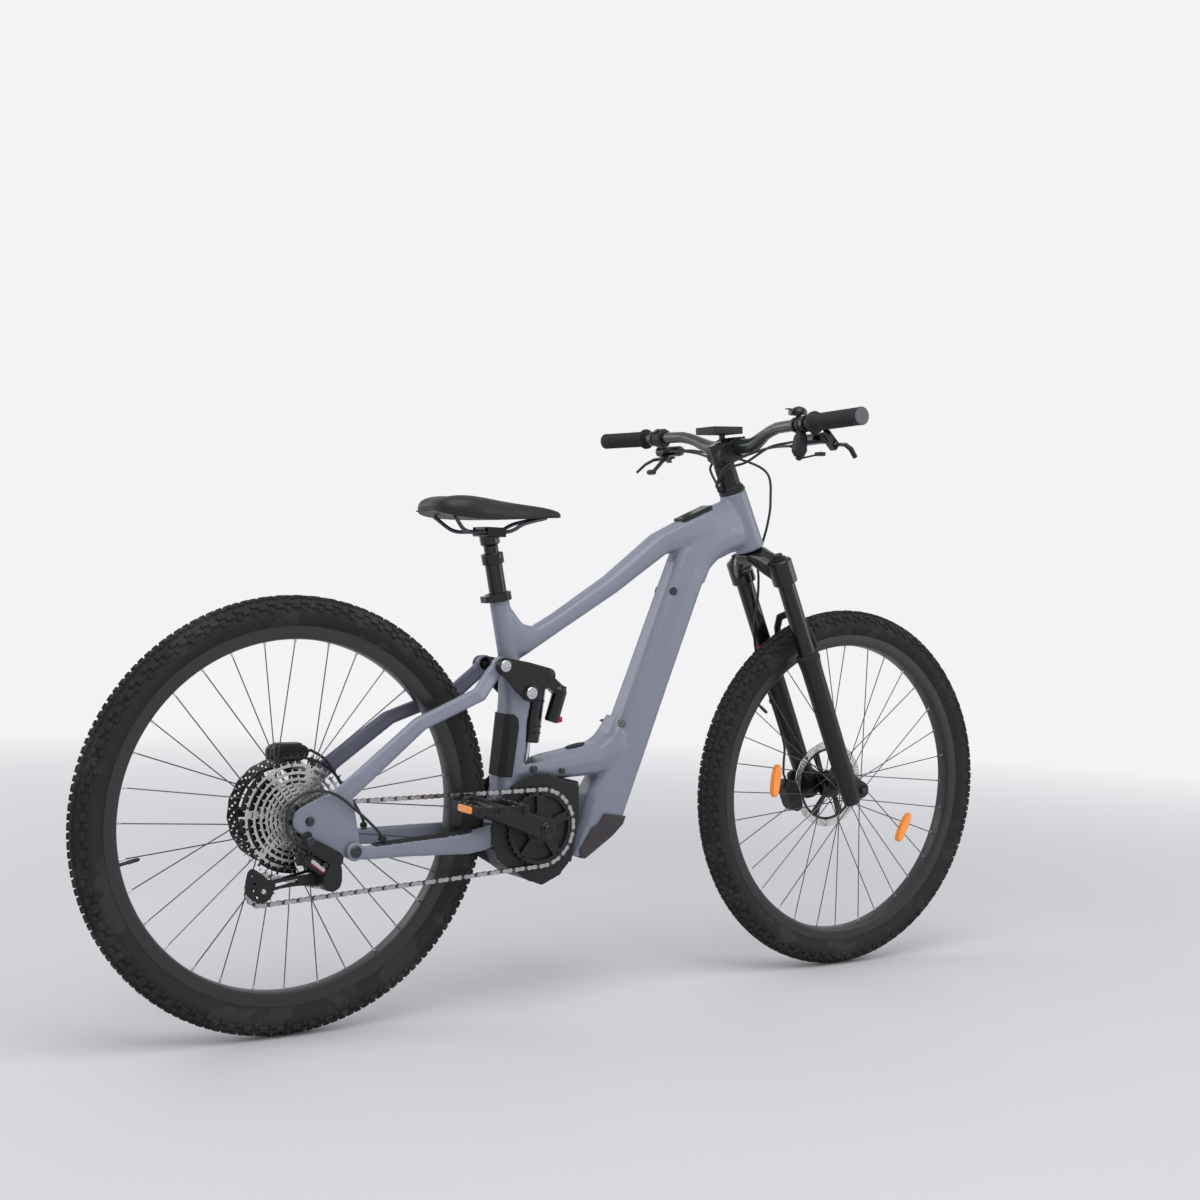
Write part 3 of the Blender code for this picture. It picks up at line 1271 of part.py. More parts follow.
def fork_lowers():
    """Both lower legs, the arch in front of them and the dropouts."""
    pieces = []
    cuts = [pin(FRONT_AXLE, -0.090, 0.090, bore_for(AXLE_RADIUS_FRONT, 10), 10)]
    for side in (-1, 1):
        top = from_head(0.0, LEG_OFFSET, side * LEG_SPREAD)
        pieces.append(rod(top, DOWN, [(SEAL_ALONG, 0.0220), (SEAL_ALONG + 0.007, 0.0235),
                                      (SEAL_ALONG + 0.030, 0.0215), (FORK_LENGTH - 0.0375, 0.0200),
                                      (LOWER_FOOT, 0.0170)], 12))
        near, far = sorted((side * DROPOUT_HALF_INNER, side * FORK_DROPOUT_OUTER))
        foot = from_head(FORK_LENGTH - 0.0475, LEG_OFFSET, 0.0)
        pieces.append(hull_plate([(foot, 0.0120), (FRONT_AXLE, 0.0160),
                                  (from_head(FORK_LENGTH - 0.0025, LEG_OFFSET, 0.0),
                                   0.0140)][::-1], near, far, 5))
        cuts.append(bar(top + (SEAL_ALONG - 0.010) * DOWN, top + (STANCHION_FOOT + 0.154) * DOWN,
                        STANCHION_RADIUS + SLIDE_SLACK, 12))
    path = [(0.244, 0.0290, 0.0600), (0.224, 0.0420, 0.0570), (0.190, ARCH_FORWARD, 0.0480),
            (0.166, ARCH_FORWARD, 0.0300), (0.157, ARCH_FORWARD, 0.0)]
    full = [(along, forward, -y) for along, forward, y in path] + path[-2::-1]
    rings = []
    for i, (along, forward, y) in enumerate(full):
        before, after = full[max(i - 1, 0)], full[min(i + 1, len(full) - 1)]
        heading = (from_head(*after) - from_head(*before)).normalized()
        up = AHEAD.cross(heading).normalized()
        ahead = heading.cross(up).normalized()
        rings.append(oval_ring(from_head(along, forward, y), 0.0085 * up, 0.0060 * ahead, 6, 2.6))
    pieces.append(skin(rings))
    node("fork_lowers", combine(pieces, cuts), satin_black(), "fork_travel")


def front_axle():
    shaft = pin(FRONT_AXLE, -FORK_DROPOUT_OUTER - 0.0010, FORK_DROPOUT_OUTER + 0.0060, AXLE_RADIUS_FRONT,
                10)
    head = pin(FRONT_AXLE, FORK_DROPOUT_OUTER + 0.0060 - 0.0057, FORK_DROPOUT_OUTER + 0.0060, 0.0105, 12)
    node("front_axle", combine([shaft, head]), dark_steel(), "fork_travel")


# Brakes

CALIPER_SLOT_HALF = 0.0017
CALIPER_Y = 0.0500
CALIPER_HALF_HEIGHT = 0.0340


def rotor_room(centre, y):
    """What a caliper leaves clear for its rotor."""
    return pin(centre, y - CALIPER_SLOT_HALF, y + CALIPER_SLOT_HALF, ROTOR_RADIUS + 0.0030, 20)


def front_caliper():
    centre = from_head(FORK_LENGTH - 0.020, FORK_OFFSET - 0.0950, CALIPER_Y)
    shell = block(centre, AHEAD, LEFT, DOWN, (0.0185, 0.0170, CALIPER_HALF_HEIGHT))
    leg_face = LEG_OFFSET - 0.0207
    depth = leg_face - (FORK_OFFSET - 0.0950 + 0.0170)
    bracket = block(from_head(FORK_LENGTH - 0.030, leg_face - depth / 2, 0.0610), AHEAD, LEFT, DOWN,
                    (depth / 2, 0.0055, 0.0300))
    node("front_caliper", combine([shell, bracket], [rotor_room(FRONT_AXLE, FRONT_ROTOR_Y)]),
         satin_black(), "fork_travel")


def rear_caliper():
    centre = from_axle(0.0140, 0.0610, 0.0980)
    shell = upright_block(centre - Vector((0.0360, 0.0180, 0.0160)),
                          centre + Vector((0.0360, 0.0120, 0.0160)))
    bracket = hull_plate([(from_axle(0.0340, 0.0, 0.0300), 0.0100),
                          (from_axle(0.0380, 0.0, 0.0900), 0.0100),
                          (from_axle(-0.0100, 0.0, 0.0900), 0.0100)], 0.0660, DROPOUT_INNER - GAP, 6)
    node("rear_caliper", combine([shell, bracket], [rotor_room(REAR_AXLE, REAR_ROTOR_Y)]),
         satin_black(), "seatstay_group")


# Derailleur

def derailleur():
    """The hanger tab, the upper knuckle and the linkage down to the cage's pivot."""
    knuckle = from_axle(-0.0060, 0.0, -0.0330)
    outer = -DROPOUT_OUTER - GAP
    tab = hull_plate([(from_axle(-0.0040, 0.0, -0.0240), 0.0090), (knuckle, 0.0100)], outer - 0.0020,
                     outer, 4)
    body_pieces = [tab, pin(knuckle, -0.0980, outer, 0.0110, 10)]
    body_pieces.append(hull_plate([(knuckle, 0.0100), (CAGE_PIVOT + Vector((0.006, 0.0, 0.036)), 0.0130)],
                                  -0.0980, -0.0860, 4))
    body_pieces.append(hull_plate([(CAGE_PIVOT, 0.0170),
                                   (CAGE_PIVOT + Vector((0.004, 0.0, 0.022)), 0.0120)],
                                  -0.0980, -0.0720, 4))
    bore = pin(CAGE_PIVOT, -0.090, -0.060, bore_for(0.0060, 10), 10)
    node("derailleur", combine(body_pieces, [bore]), satin_black(), "seatstay_group")


def derailleur_cage():
    """Two plates, their pulleys and the pin that turns in the derailleur."""
    inner_y = TENSION_PULLEY.y + 0.0075
    outer_y = TENSION_PULLEY.y - 0.0075
    heel = TENSION_PULLEY + Vector((-0.022, 0.0, 0.026))
    pieces = [hull_plate([(CAGE_PIVOT, 0.0130), (heel, 0.0120), (TENSION_PULLEY, 0.0180)],
                         outer_y - 0.0024, outer_y, 6)]
    pieces.append(hull_plate([(GUIDE_PULLEY, 0.0090), (TENSION_PULLEY, 0.0100)], inner_y, inner_y + 0.0024,
                             6))
    for centre in (GUIDE_PULLEY, TENSION_PULLEY):
        pieces.append(pin(centre, outer_y - 0.0010, inner_y + 0.0010, 0.0045, 6))
        pieces.append(pin(centre, centre.y - CHAIN_HALF_WIDTH, centre.y + CHAIN_HALF_WIDTH,
                          seat_radius(PULLEY_TEETH), 12))
    pieces.append(pin(CAGE_PIVOT, -0.0890, outer_y - 0.0010, 0.0060, 10))
    node("derailleur_cage", combine(pieces), satin_black(), "cage")


# Seat

CLAMP_RADIUS = 0.0235
CLAMP_HEIGHT = 0.0150
COLLAR_RADIUS = 0.0200
COLLAR_TOP = 0.0750
INNER_POST_RADIUS = 0.0130
INNER_POST_FOOT = -0.1140
HEAD_FOOT = 0.0870
RAIL_RADIUS = 0.0035
RAIL_SPREAD = 0.0220
SADDLE_BASE = from_seat(0.1120, 0.0040, 0.0)


def seat_clamp():
    ring = turn(SEAT_TOP - 0.0130 * UP_SEAT, UP_SEAT,
                [(0.0, SEAT_TUBE_RADIUS + GAP), (0.0, CLAMP_RADIUS), (CLAMP_HEIGHT, CLAMP_RADIUS),
                 (CLAMP_HEIGHT, SEAT_TUBE_RADIUS + GAP)], 14)
    lug = block(SEAT_TOP - 0.0055 * UP_SEAT - 0.0260 * SEAT_FORWARD, LEFT, SEAT_FORWARD, UP_SEAT,
                (0.0110, 0.0060, 0.0060))
    node("seat_clamp", combine([ring, lug]), gloss_black(), "bike")


def dropper_outer():
    """The dropper post's fixed tube, with its ring collar on top."""
    tube = rod(SEAT_TOP, UP_SEAT, [(-POST_INSERT, POST_RADIUS), (COLLAR_TOP - 0.021, POST_RADIUS),
                                   (COLLAR_TOP - 0.020, COLLAR_RADIUS), (COLLAR_TOP - 0.002, COLLAR_RADIUS),
                                   (COLLAR_TOP, 0.0180)], 14)
    bore = bar(SEAT_TOP + (INNER_POST_FOOT - 0.004) * UP_SEAT, SEAT_TOP + (COLLAR_TOP + 0.010) * UP_SEAT,
               INNER_POST_RADIUS + SLIDE_SLACK, 12)
    node("dropper_outer", combine([tube], [bore]), gloss_black(), "bike")


def rail_points(side):
    """Half of the rail loop, from its rear socket to the nose."""
    points = [(-0.0930, 0.0390, 0.0220), (-0.0640, 0.0240, -0.0005), (-0.0300, RAIL_SPREAD, -0.0020),
              (0.0250, RAIL_SPREAD, 0.0010), (0.0600, 0.0180, 0.0170), (0.1080, 0.0080, 0.0290)]
    return [SADDLE_BASE + Vector((x, side * y, z)) for x, y, z in points]


def rail_path():
    return smooth_path([*rail_points(-1), *reversed(rail_points(1))], 2)


def saddle_rails():
    node("saddle_rails", path_tube(rail_path(), RAIL_RADIUS, 6), satin_black(), "dropper_slide")


def dropper_inner():
    """The sliding tube and the head that holds the rails."""
    tube = rod(SEAT_TOP, UP_SEAT, [(INNER_POST_FOOT, INNER_POST_RADIUS), (HEAD_FOOT, INNER_POST_RADIUS),
                                   (HEAD_FOOT + 0.004, 0.0180), (HEAD_FOOT + 0.022, 0.0180)], 12)
    cradle = block(SADDLE_BASE + Vector((-0.002, 0.0, -0.001)), LEFT, Vector((1.0, 0.0, 0.0)),
                   Vector((0.0, 0.0, 1.0)), (RAIL_SPREAD + 0.006, 0.0190, 0.0085))
    cuts = []
    for side in (-1, 1):
        centre = SADDLE_BASE + Vector((0.0, side * RAIL_SPREAD, 0.0))
        cuts.append(block(centre, LEFT, Vector((1.0, 0.0, 0.0)), Vector((0.0, 0.0, 1.0)),
                          (RAIL_RADIUS + 0.0006, 0.0300, RAIL_RADIUS + 0.0026)))
    node("dropper_inner", combine([tube, cradle], cuts), gloss_black(), "dropper_slide")


def saddle():
    """A padded saddle with a crowned top, drawn-in sides, a raised tail and a narrow nose."""
    sections = ((-0.1330, 0.0180, 0.0420, 0.0320), (-0.1280, 0.0460, 0.0510, 0.0270),
                (-0.1060, 0.0640, 0.0590, 0.0210), (-0.0750, 0.0700, 0.0620, 0.0180),
                (-0.0400, 0.0660, 0.0600, 0.0180), (0.0000, 0.0480, 0.0560, 0.0200),
                (0.0400, 0.0310, 0.0530, 0.0220), (0.0800, 0.0235, 0.0510, 0.0260),
                (0.1150, 0.0210, 0.0480, 0.0290), (0.1420, 0.0160, 0.0410, 0.0310))
    rings = []
    for x, half, top, low in sections:
        height = top - low
        shape = ((0.0, top - 0.0020), (0.45, top), (0.80, top - 0.16 * height), (1.0, top - 0.48 * height),
                 (0.97, low + 0.10 * height), (0.86, low), (0.45, low + 0.10 * height),
                 (0.0, low + 0.16 * height))
        right = [(-half * share, z) for share, z in shape]
        left = [(half * share, z) for share, z in shape[1:-1]]
        rings.append([SADDLE_BASE + Vector((x, y, z)) for y, z in right + left[::-1]])
    path = rail_path()
    ends = [path[0] + (path[0] - path[1]).normalized() * 2 * GAP,
            path[-1] + (path[-1] - path[-2]).normalized() * 2 * GAP]
    room = path_tube([ends[0], *path[1:-1], ends[1]], RAIL_RADIUS + 2 * GAP, 6)
    node("saddle", combine([skin(rings)], [room]), material("saddle_cover", (0.022, 0.022, 0.024), 0.50),
         "dropper_slide")


def fork_and_seat():
    fork_crown()
    fork_lowers()
    front_axle()
    front_caliper()
    rear_caliper()
    derailleur()
    derailleur_cage()
    seat_clamp()
    dropper_outer()
    dropper_inner()
    saddle_rails()
    saddle()


fork_and_seat()

# Cockpit

BAR_STATIONS = ((0.0, 0.0, 0.0, BAR_RADIUS), (0.040, 0.0, 0.0, BAR_RADIUS), (0.070, -0.002, 0.003, 0.0145),
                (0.110, -0.008, 0.018, BAR_END_RADIUS), (0.140, -0.011, 0.026, BAR_END_RADIUS),
                (0.180, -0.015, 0.029, BAR_END_RADIUS),
                (BAR_WIDTH / 2, -0.032, BAR_RISE, BAR_END_RADIUS))
BAR_CENTRE = HEAD_TOP - STEM_RISE * DOWN + STEM_FORWARD * AHEAD
LEVER_OUT = Vector((0.74, 0.0, -0.67)).normalized()
LEVER_AXIS = Vector((-LEVER_OUT.z, 0.0, LEVER_OUT.x))
LEVER_PIN_RADIUS = 0.0022
BAR_SIDES = 10
CONTROL_END = BAR_WIDTH / 2 - GRIP_LENGTH
MASTER_Y = CONTROL_END - 0.0240
LEVER_Y = CONTROL_END - 0.0030
CYLINDER_Y = CONTROL_END - 0.0750
DROPPER_Y = CONTROL_END - 0.0420
SHIFTER_Y = CONTROL_END - 0.0370
BELL_Y = CONTROL_END - 0.0530
SWITCH_Y = CONTROL_END - 0.0470


def bar_point(side, y):
    """The bar's middle line at a distance from the stem; side is 1 on the left and -1 on the right."""
    for near, far in zip(BAR_STATIONS, BAR_STATIONS[1:]):
        if y <= far[0]:
            break
    share = (y - near[0]) / (far[0] - near[0])
    x = near[1] + (far[1] - near[1]) * share
    z = near[2] + (far[2] - near[2]) * share
    return BAR_CENTRE + Vector((x, side * y, z))


def bar_heading(side):
    """The direction of the bar's straight outer part."""
    return (bar_point(side, 0.380) - bar_point(side, 0.200)).normalized()


def by_bar(side, x, y, z):
    """A point given ahead of and above the bar's middle line."""
    return bar_point(side, y) + Vector((x, 0.0, z))


def clamp_ring(side, y, width, outer):
    """A ring that grips the bar's outer part, centred on y."""
    bore = BAR_END_RADIUS + 1.5 * GAP
    start = -width / 2
    return turn(bar_point(side, y), bar_heading(side),
                [(start, bore), (start, outer), (-start, outer), (-start, bore)], BAR_SIDES)


def headset_spacer():
    bore = STEERER_TOP_RADIUS + GAP
    profile = [(GAP, bore), (GAP, 0.0275), (0.0100, 0.0240), (0.0130, 0.0210),
               (SPACER_TOP, SPACER_RADIUS), (SPACER_TOP, bore)]
    node("headset_spacer", turn(HEAD_TOP, -DOWN, profile, 12), satin_black(), "steering")


def stem():
    """The clamp on the steerer, the arm and the clamp on the bar."""
    clamp = rod(HEAD_TOP, -DOWN, [(SPACER_TOP + GAP, SPACER_RADIUS), (STEM_CLAMP_TOP, SPACER_RADIUS)], 12)
    root = HEAD_TOP - (SPACER_TOP + 0.0200) * DOWN
    arm_plate = hull_plate([(root, 0.0190), (BAR_CENTRE, 0.0210)], -0.0230, 0.0230, 5)
    bore = rod(HEAD_TOP, -DOWN, [(0.040, STEERER_TOP_RADIUS + GAP),
                                 (STEERER_TOP + 0.0005, STEERER_TOP_RADIUS + GAP)], 12)
    through = pin(BAR_CENTRE, -0.0300, 0.0300, bore_for(BAR_RADIUS), 12)
    node("stem", combine([clamp, arm_plate], [bore, through]), satin_black(), "steering")


def handlebar():
    rings = []
    stations = [(-1, *station) for station in reversed(BAR_STATIONS)]
    stations += [(1, *station) for station in BAR_STATIONS[1:]]
    for side, y, x, z, radius in stations:
        centre = BAR_CENTRE + Vector((x, side * y, z))
        rings.append(oval_ring(centre, radius * Vector((1.0, 0.0, 0.0)), radius * Vector((0.0, 0.0, 1.0)),
                               BAR_SIDES))
    node("handlebar", skin(rings), satin_black(), "steering")


def grip(name, side):
    """A sleeve over the bar's end, with a flange at its inner end and a closed outer end."""
    start = BAR_WIDTH / 2 - GRIP_LENGTH
    sleeve = rod(bar_point(side, start), bar_heading(side),
                 [(0.0, 0.0210), (0.0060, 0.0210), (0.0075, GRIP_RADIUS),
                  (GRIP_LENGTH + 0.0045, GRIP_RADIUS + 0.0004)], 12)
    bore = BAR_END_RADIUS + 1.5 * GAP
    hole = rod(bar_point(side, start), bar_heading(side), [(-0.010, bore), (GRIP_LENGTH + 0.0025, bore)],
               BAR_SIDES)
    node(name, combine([sleeve], [hole]), tyre_rubber(), "steering")


def display():
    """A thin screen that stands over the stem on a neck from the bar."""
    tilt = Vector((math.cos(0.07), 0.0, math.sin(0.07)))
    up = Vector((-tilt.z, 0.0, tilt.x))
    centre = BAR_CENTRE + Vector((-0.0350, 0.0, 0.0300))
    shell = block(centre, LEFT, tilt, up, (0.0300, 0.0350, 0.0070))
    collar = turn(BAR_CENTRE + Vector((0.0, 0.0320, 0.0)), LEFT,
                  [(-0.0040, BAR_RADIUS + 1.5 * GAP), (-0.0040, 0.0200), (0.0040, 0.0200),
                   (0.0040, BAR_RADIUS + 1.5 * GAP)], BAR_SIDES)
    neck = upright_block(BAR_CENTRE + Vector((-0.0080, 0.0280, 0.0175)),
                         BAR_CENTRE + Vector((0.0020, 0.0360, 0.0290)))
    shelf = upright_block(BAR_CENTRE + Vector((-0.0120, 0.0240, 0.0250)),
                          BAR_CENTRE + Vector((-0.0020, 0.0360, 0.0310)))
    node("display", combine([shell, collar, neck, shelf]), moulded_plastic(), "steering")


# Hand controls

def brake_master(name, side):
    """The clamp, the cylinder along the bar, and the two ears and pin that carry the lever."""
    heading = bar_heading(side)
    low = by_bar(side, 0.0300, CYLINDER_Y, -0.0250)
    cylinder = rod(low, heading, [(0.0, 0.0090), (0.0060, 0.0110), (0.0720, 0.0110)], 10)
    bridge = bar(by_bar(side, 0.0105, MASTER_Y, -0.0088), by_bar(side, 0.0290, MASTER_Y, -0.0240), 0.0045,
                 6)
    pieces = [clamp_ring(side, MASTER_Y, 0.010, 0.0160), cylinder, bridge]
    pivot = by_bar(side, 0.0555, LEVER_Y, -0.0370)
    for height in (-0.0064, 0.0064):
        ear = pivot + height * LEVER_AXIS - 0.0150 * LEVER_OUT - 0.0040 * side * LEFT
        pieces.append(block(ear, LEFT, LEVER_OUT, LEVER_AXIS, (0.0080, 0.0210, 0.0015)))
    pieces.append(bar(pivot - 0.0072 * LEVER_AXIS, pivot + 0.0072 * LEVER_AXIS, LEVER_PIN_RADIUS, 6))
    if side > 0:
        pieces.append(hull_plate([(by_bar(side, 0.0300, DROPPER_Y + 0.0070, -0.0250), 0.0080),
                                  (DROPPER_PIVOT, 0.0060)],
                                 DROPPER_Y + 0.0050, DROPPER_Y + 0.0090, 5))
        pieces.append(pin(DROPPER_PIVOT, DROPPER_Y - 0.0040, DROPPER_Y + 0.0060, LEVER_PIN_RADIUS, 6))
        pieces.append(pin(DROPPER_PIVOT, DROPPER_Y - 0.0065, DROPPER_Y - 0.0040, 0.0045, 8))
    node(name, combine(pieces), gloss_black(), "steering")


def brake_lever(name, side, parent):
    """The lever's boss and its blade, which bends down to the fingertip."""
    pivot = by_bar(side, 0.0555, LEVER_Y, -0.0370)
    boss = rod(pivot, LEVER_AXIS, [(-0.0044, 0.0072), (0.0044, 0.0072)], 10)
    path = [(0.0, 0.0030, 0.0, 0.0036), (-0.0010, 0.0120, 0.0, 0.0040), (-0.0040, 0.0400, -0.0070, 0.0046),
            (-0.0010, 0.0620, -0.0170, 0.0050), (0.0060, 0.0820, -0.0330, 0.0048)]
    heading = bar_heading(side)
    points = [pivot + out * LEVER_OUT + y * heading + up * LEVER_AXIS for out, y, up, half in path]
    rings = []
    for i, point in enumerate(points):
        ahead = (points[min(i + 1, 4)] - points[max(i - 1, 0)]).normalized()
        up = (LEVER_AXIS - ahead * LEVER_AXIS.dot(ahead)).normalized()
        rings.append(oval_ring(point, path[i][3] * up, 0.0030 * ahead.cross(up), 8, 2.6))
    bore = bar(pivot - 0.0100 * LEVER_AXIS, pivot + 0.0100 * LEVER_AXIS, bore_for(LEVER_PIN_RADIUS, 6), 6)
    node(name, combine([boss, skin(rings)], [bore]), dark_steel(), parent)


def shifter_body():
    """The shift unit that hangs below the bar, with the stub that its lever turns on."""
    rings = []
    for height, x, depth, half in ((-0.0125, 0.0, 0.0080, 0.0055), (-0.0240, -0.0020, 0.0130, 0.0100),
                                   (-0.0500, -0.0040, 0.0150, 0.0110), (-0.0600, -0.0040, 0.0090, 0.0080)):
        rings.append(oval_ring(by_bar(-1, x, SHIFTER_Y, height), Vector((depth, 0.0, 0.0)), half * LEFT, 8,
                               3.0))
    stub = bar(SHIFT_PIVOT + Vector((0.0, 0.0, 0.0100)), SHIFT_PIVOT + Vector((0.0, 0.0, -0.0055)), 0.0025,
               8)
    head = bar(SHIFT_PIVOT + Vector((0.0, 0.0, -0.0070)), SHIFT_PIVOT + Vector((0.0, 0.0, -0.0052)),
               0.0045, 8)
    node("shifter_body", combine([skin(rings), clamp_ring(-1, SHIFTER_Y - 0.0010, 0.0090, 0.0150), stub,
                                  head]),
         satin_black(), "steering")


def shift_lever():
    """A thumb lever that turns under the shift unit."""
    boss = bar(SHIFT_PIVOT + Vector((0.0, 0.0, -0.0048)), SHIFT_PIVOT + Vector((0.0, 0.0, -0.0008)),
               0.0068, 12)
    tip = SHIFT_PIVOT + Vector((0.0160, -0.0400, 0.0040))
    arm_bar = bar(SHIFT_PIVOT + Vector((0.0020, -0.0050, -0.0028)), tip, 0.0020, 6)
    paddle = block(tip, Vector((1.0, 0.0, 0.0)), LEFT, Vector((0.0, 0.0, 1.0)), (0.0060, 0.0090, 0.0035))
    bore = bar(SHIFT_PIVOT + Vector((0.0, 0.0, -0.0100)), SHIFT_PIVOT + Vector((0.0, 0.0, 0.0040)),
               0.0025 + 2 * GAP, 8)
    node("shift_lever", combine([boss, arm_bar, paddle], [bore]), satin_black(), "shift_lever_turn")


def dropper_lever():
    """The thumb lever that lets the seat post slide."""
    boss = pin(DROPPER_PIVOT, DROPPER_Y - 0.0035, DROPPER_Y + 0.0045, 0.0062, 12)
    tip = DROPPER_PIVOT + Vector((-0.0280, 0.0, -0.0300))
    arm_bar = hull_plate([(DROPPER_PIVOT, 0.0040), (tip, 0.0035)][::-1], DROPPER_Y - 0.0020,
                         DROPPER_Y + 0.0030, 5)
    pad = pin(tip, DROPPER_Y - 0.0040, DROPPER_Y + 0.0170, 0.0055, 8)
    bore = pin(DROPPER_PIVOT, DROPPER_Y - 0.0130, DROPPER_Y + 0.0170, bore_for(LEVER_PIN_RADIUS, 6), 6)
    node("dropper_lever", combine([boss, arm_bar, pad], [bore]), satin_black(), "dropper_lever_turn")


def bell():
    """A dome on a foot that clamps to the bar, with a rest for its striker."""
    centre = by_bar(-1, 0.0040, BELL_Y, 0.0)
    up = Vector((0.0, 0.0, 1.0))
    dome = rod(centre, up, [(0.0190, 0.0150), (0.0250, 0.0155), (0.0310, 0.0120), (0.0345, 0.0050)], 12)
    foot = rod(centre, up, [(0.0125, 0.0050), (0.0200, 0.0060)], 6)
    rest = upright_block(by_bar(-1, -0.0150, BELL_Y + 0.0040, 0.0165),
                         by_bar(-1, 0.0040, BELL_Y - 0.0040, 0.0205))
    node("bell", combine([clamp_ring(-1, BELL_Y, 0.0080, 0.0150), dome, foot, rest]), gloss_black(),
         "steering")


def bell_striker():
    upright = upright_block(STRIKER_PIVOT + Vector((-0.0012, -0.0040, -0.0006)),
                            STRIKER_PIVOT + Vector((0.0012, 0.0040, 0.0110)))
    tab = upright_block(STRIKER_PIVOT + Vector((-0.0090, -0.0040, 0.0085)),
                        STRIKER_PIVOT + Vector((0.0005, 0.0040, 0.0110)))
    node("bell_striker", combine([upright, tab]), dark_steel(), "bell_striker_turn")


def remote_switch():
    """The assist switch round the left of the bar, with a socket for its button."""
    bore = BAR_END_RADIUS + 1.5 * GAP
    shell = turn(bar_point(1, SWITCH_Y), bar_heading(1),
                 [(-0.0125, bore), (-0.0125, 0.0175), (-0.0100, 0.0195), (0.0100, 0.0195),
                  (0.0125, 0.0175), (0.0125, bore)], BAR_SIDES)
    hole = bar(BUTTON_SEAT, BUTTON_SEAT + 0.020 * BUTTON_OUT, 0.0066, 12)
    node("remote_switch", combine([shell], [hole]), moulded_plastic(), "steering")


def assist_button():
    key = bar(BUTTON_SEAT + 0.0020 * BUTTON_OUT, BUTTON_SEAT + 0.0075 * BUTTON_OUT, 0.0060, 12)
    node("assist_button", key, gloss_black(), "assist_button_slide")


DROPPER_PIVOT = by_bar(1, 0.0140, DROPPER_Y, -0.0410)
SHIFT_PIVOT = by_bar(-1, -0.0040, SHIFTER_Y, -0.0600)
STRIKER_PIVOT = by_bar(-1, -0.0166, BELL_Y, 0.0180)
BUTTON_OUT = Vector((-0.70, 0.0, 0.714)).normalized()
BUTTON_SEAT = bar_point(1, SWITCH_Y) + 0.0135 * BUTTON_OUT
for side_name, side_sign in (("right", -1), ("left", 1)):
    body("brake_" + side_name, by_bar(side_sign, 0.0555, LEVER_Y, -0.0370), "steering")
body("shift_lever_turn", SHIFT_PIVOT, "steering")
body("dropper_lever_turn", DROPPER_PIVOT, "steering")
body("bell_striker_turn", STRIKER_PIVOT, "steering")
body("assist_button_slide", BUTTON_SEAT, "steering")


def cockpit():
    headset_spacer()
    stem()
    handlebar()
    display()
    for side_name, side in (("right", -1), ("left", 1)):
        grip("grip_" + side_name, side)
        brake_master("brake_master_" + side_name, side)
        brake_lever("brake_lever_" + side_name, side, "brake_" + side_name)
    shifter_body()
    shift_lever()
    dropper_lever()
    bell()
    bell_striker()
    remote_switch()
    assist_button()


cockpit()


# Hoses

HOSE_RADIUS = 0.0025


def hose(points, steps=2):
    return path_tube(smooth_path(points, steps), HOSE_RADIUS, 6)


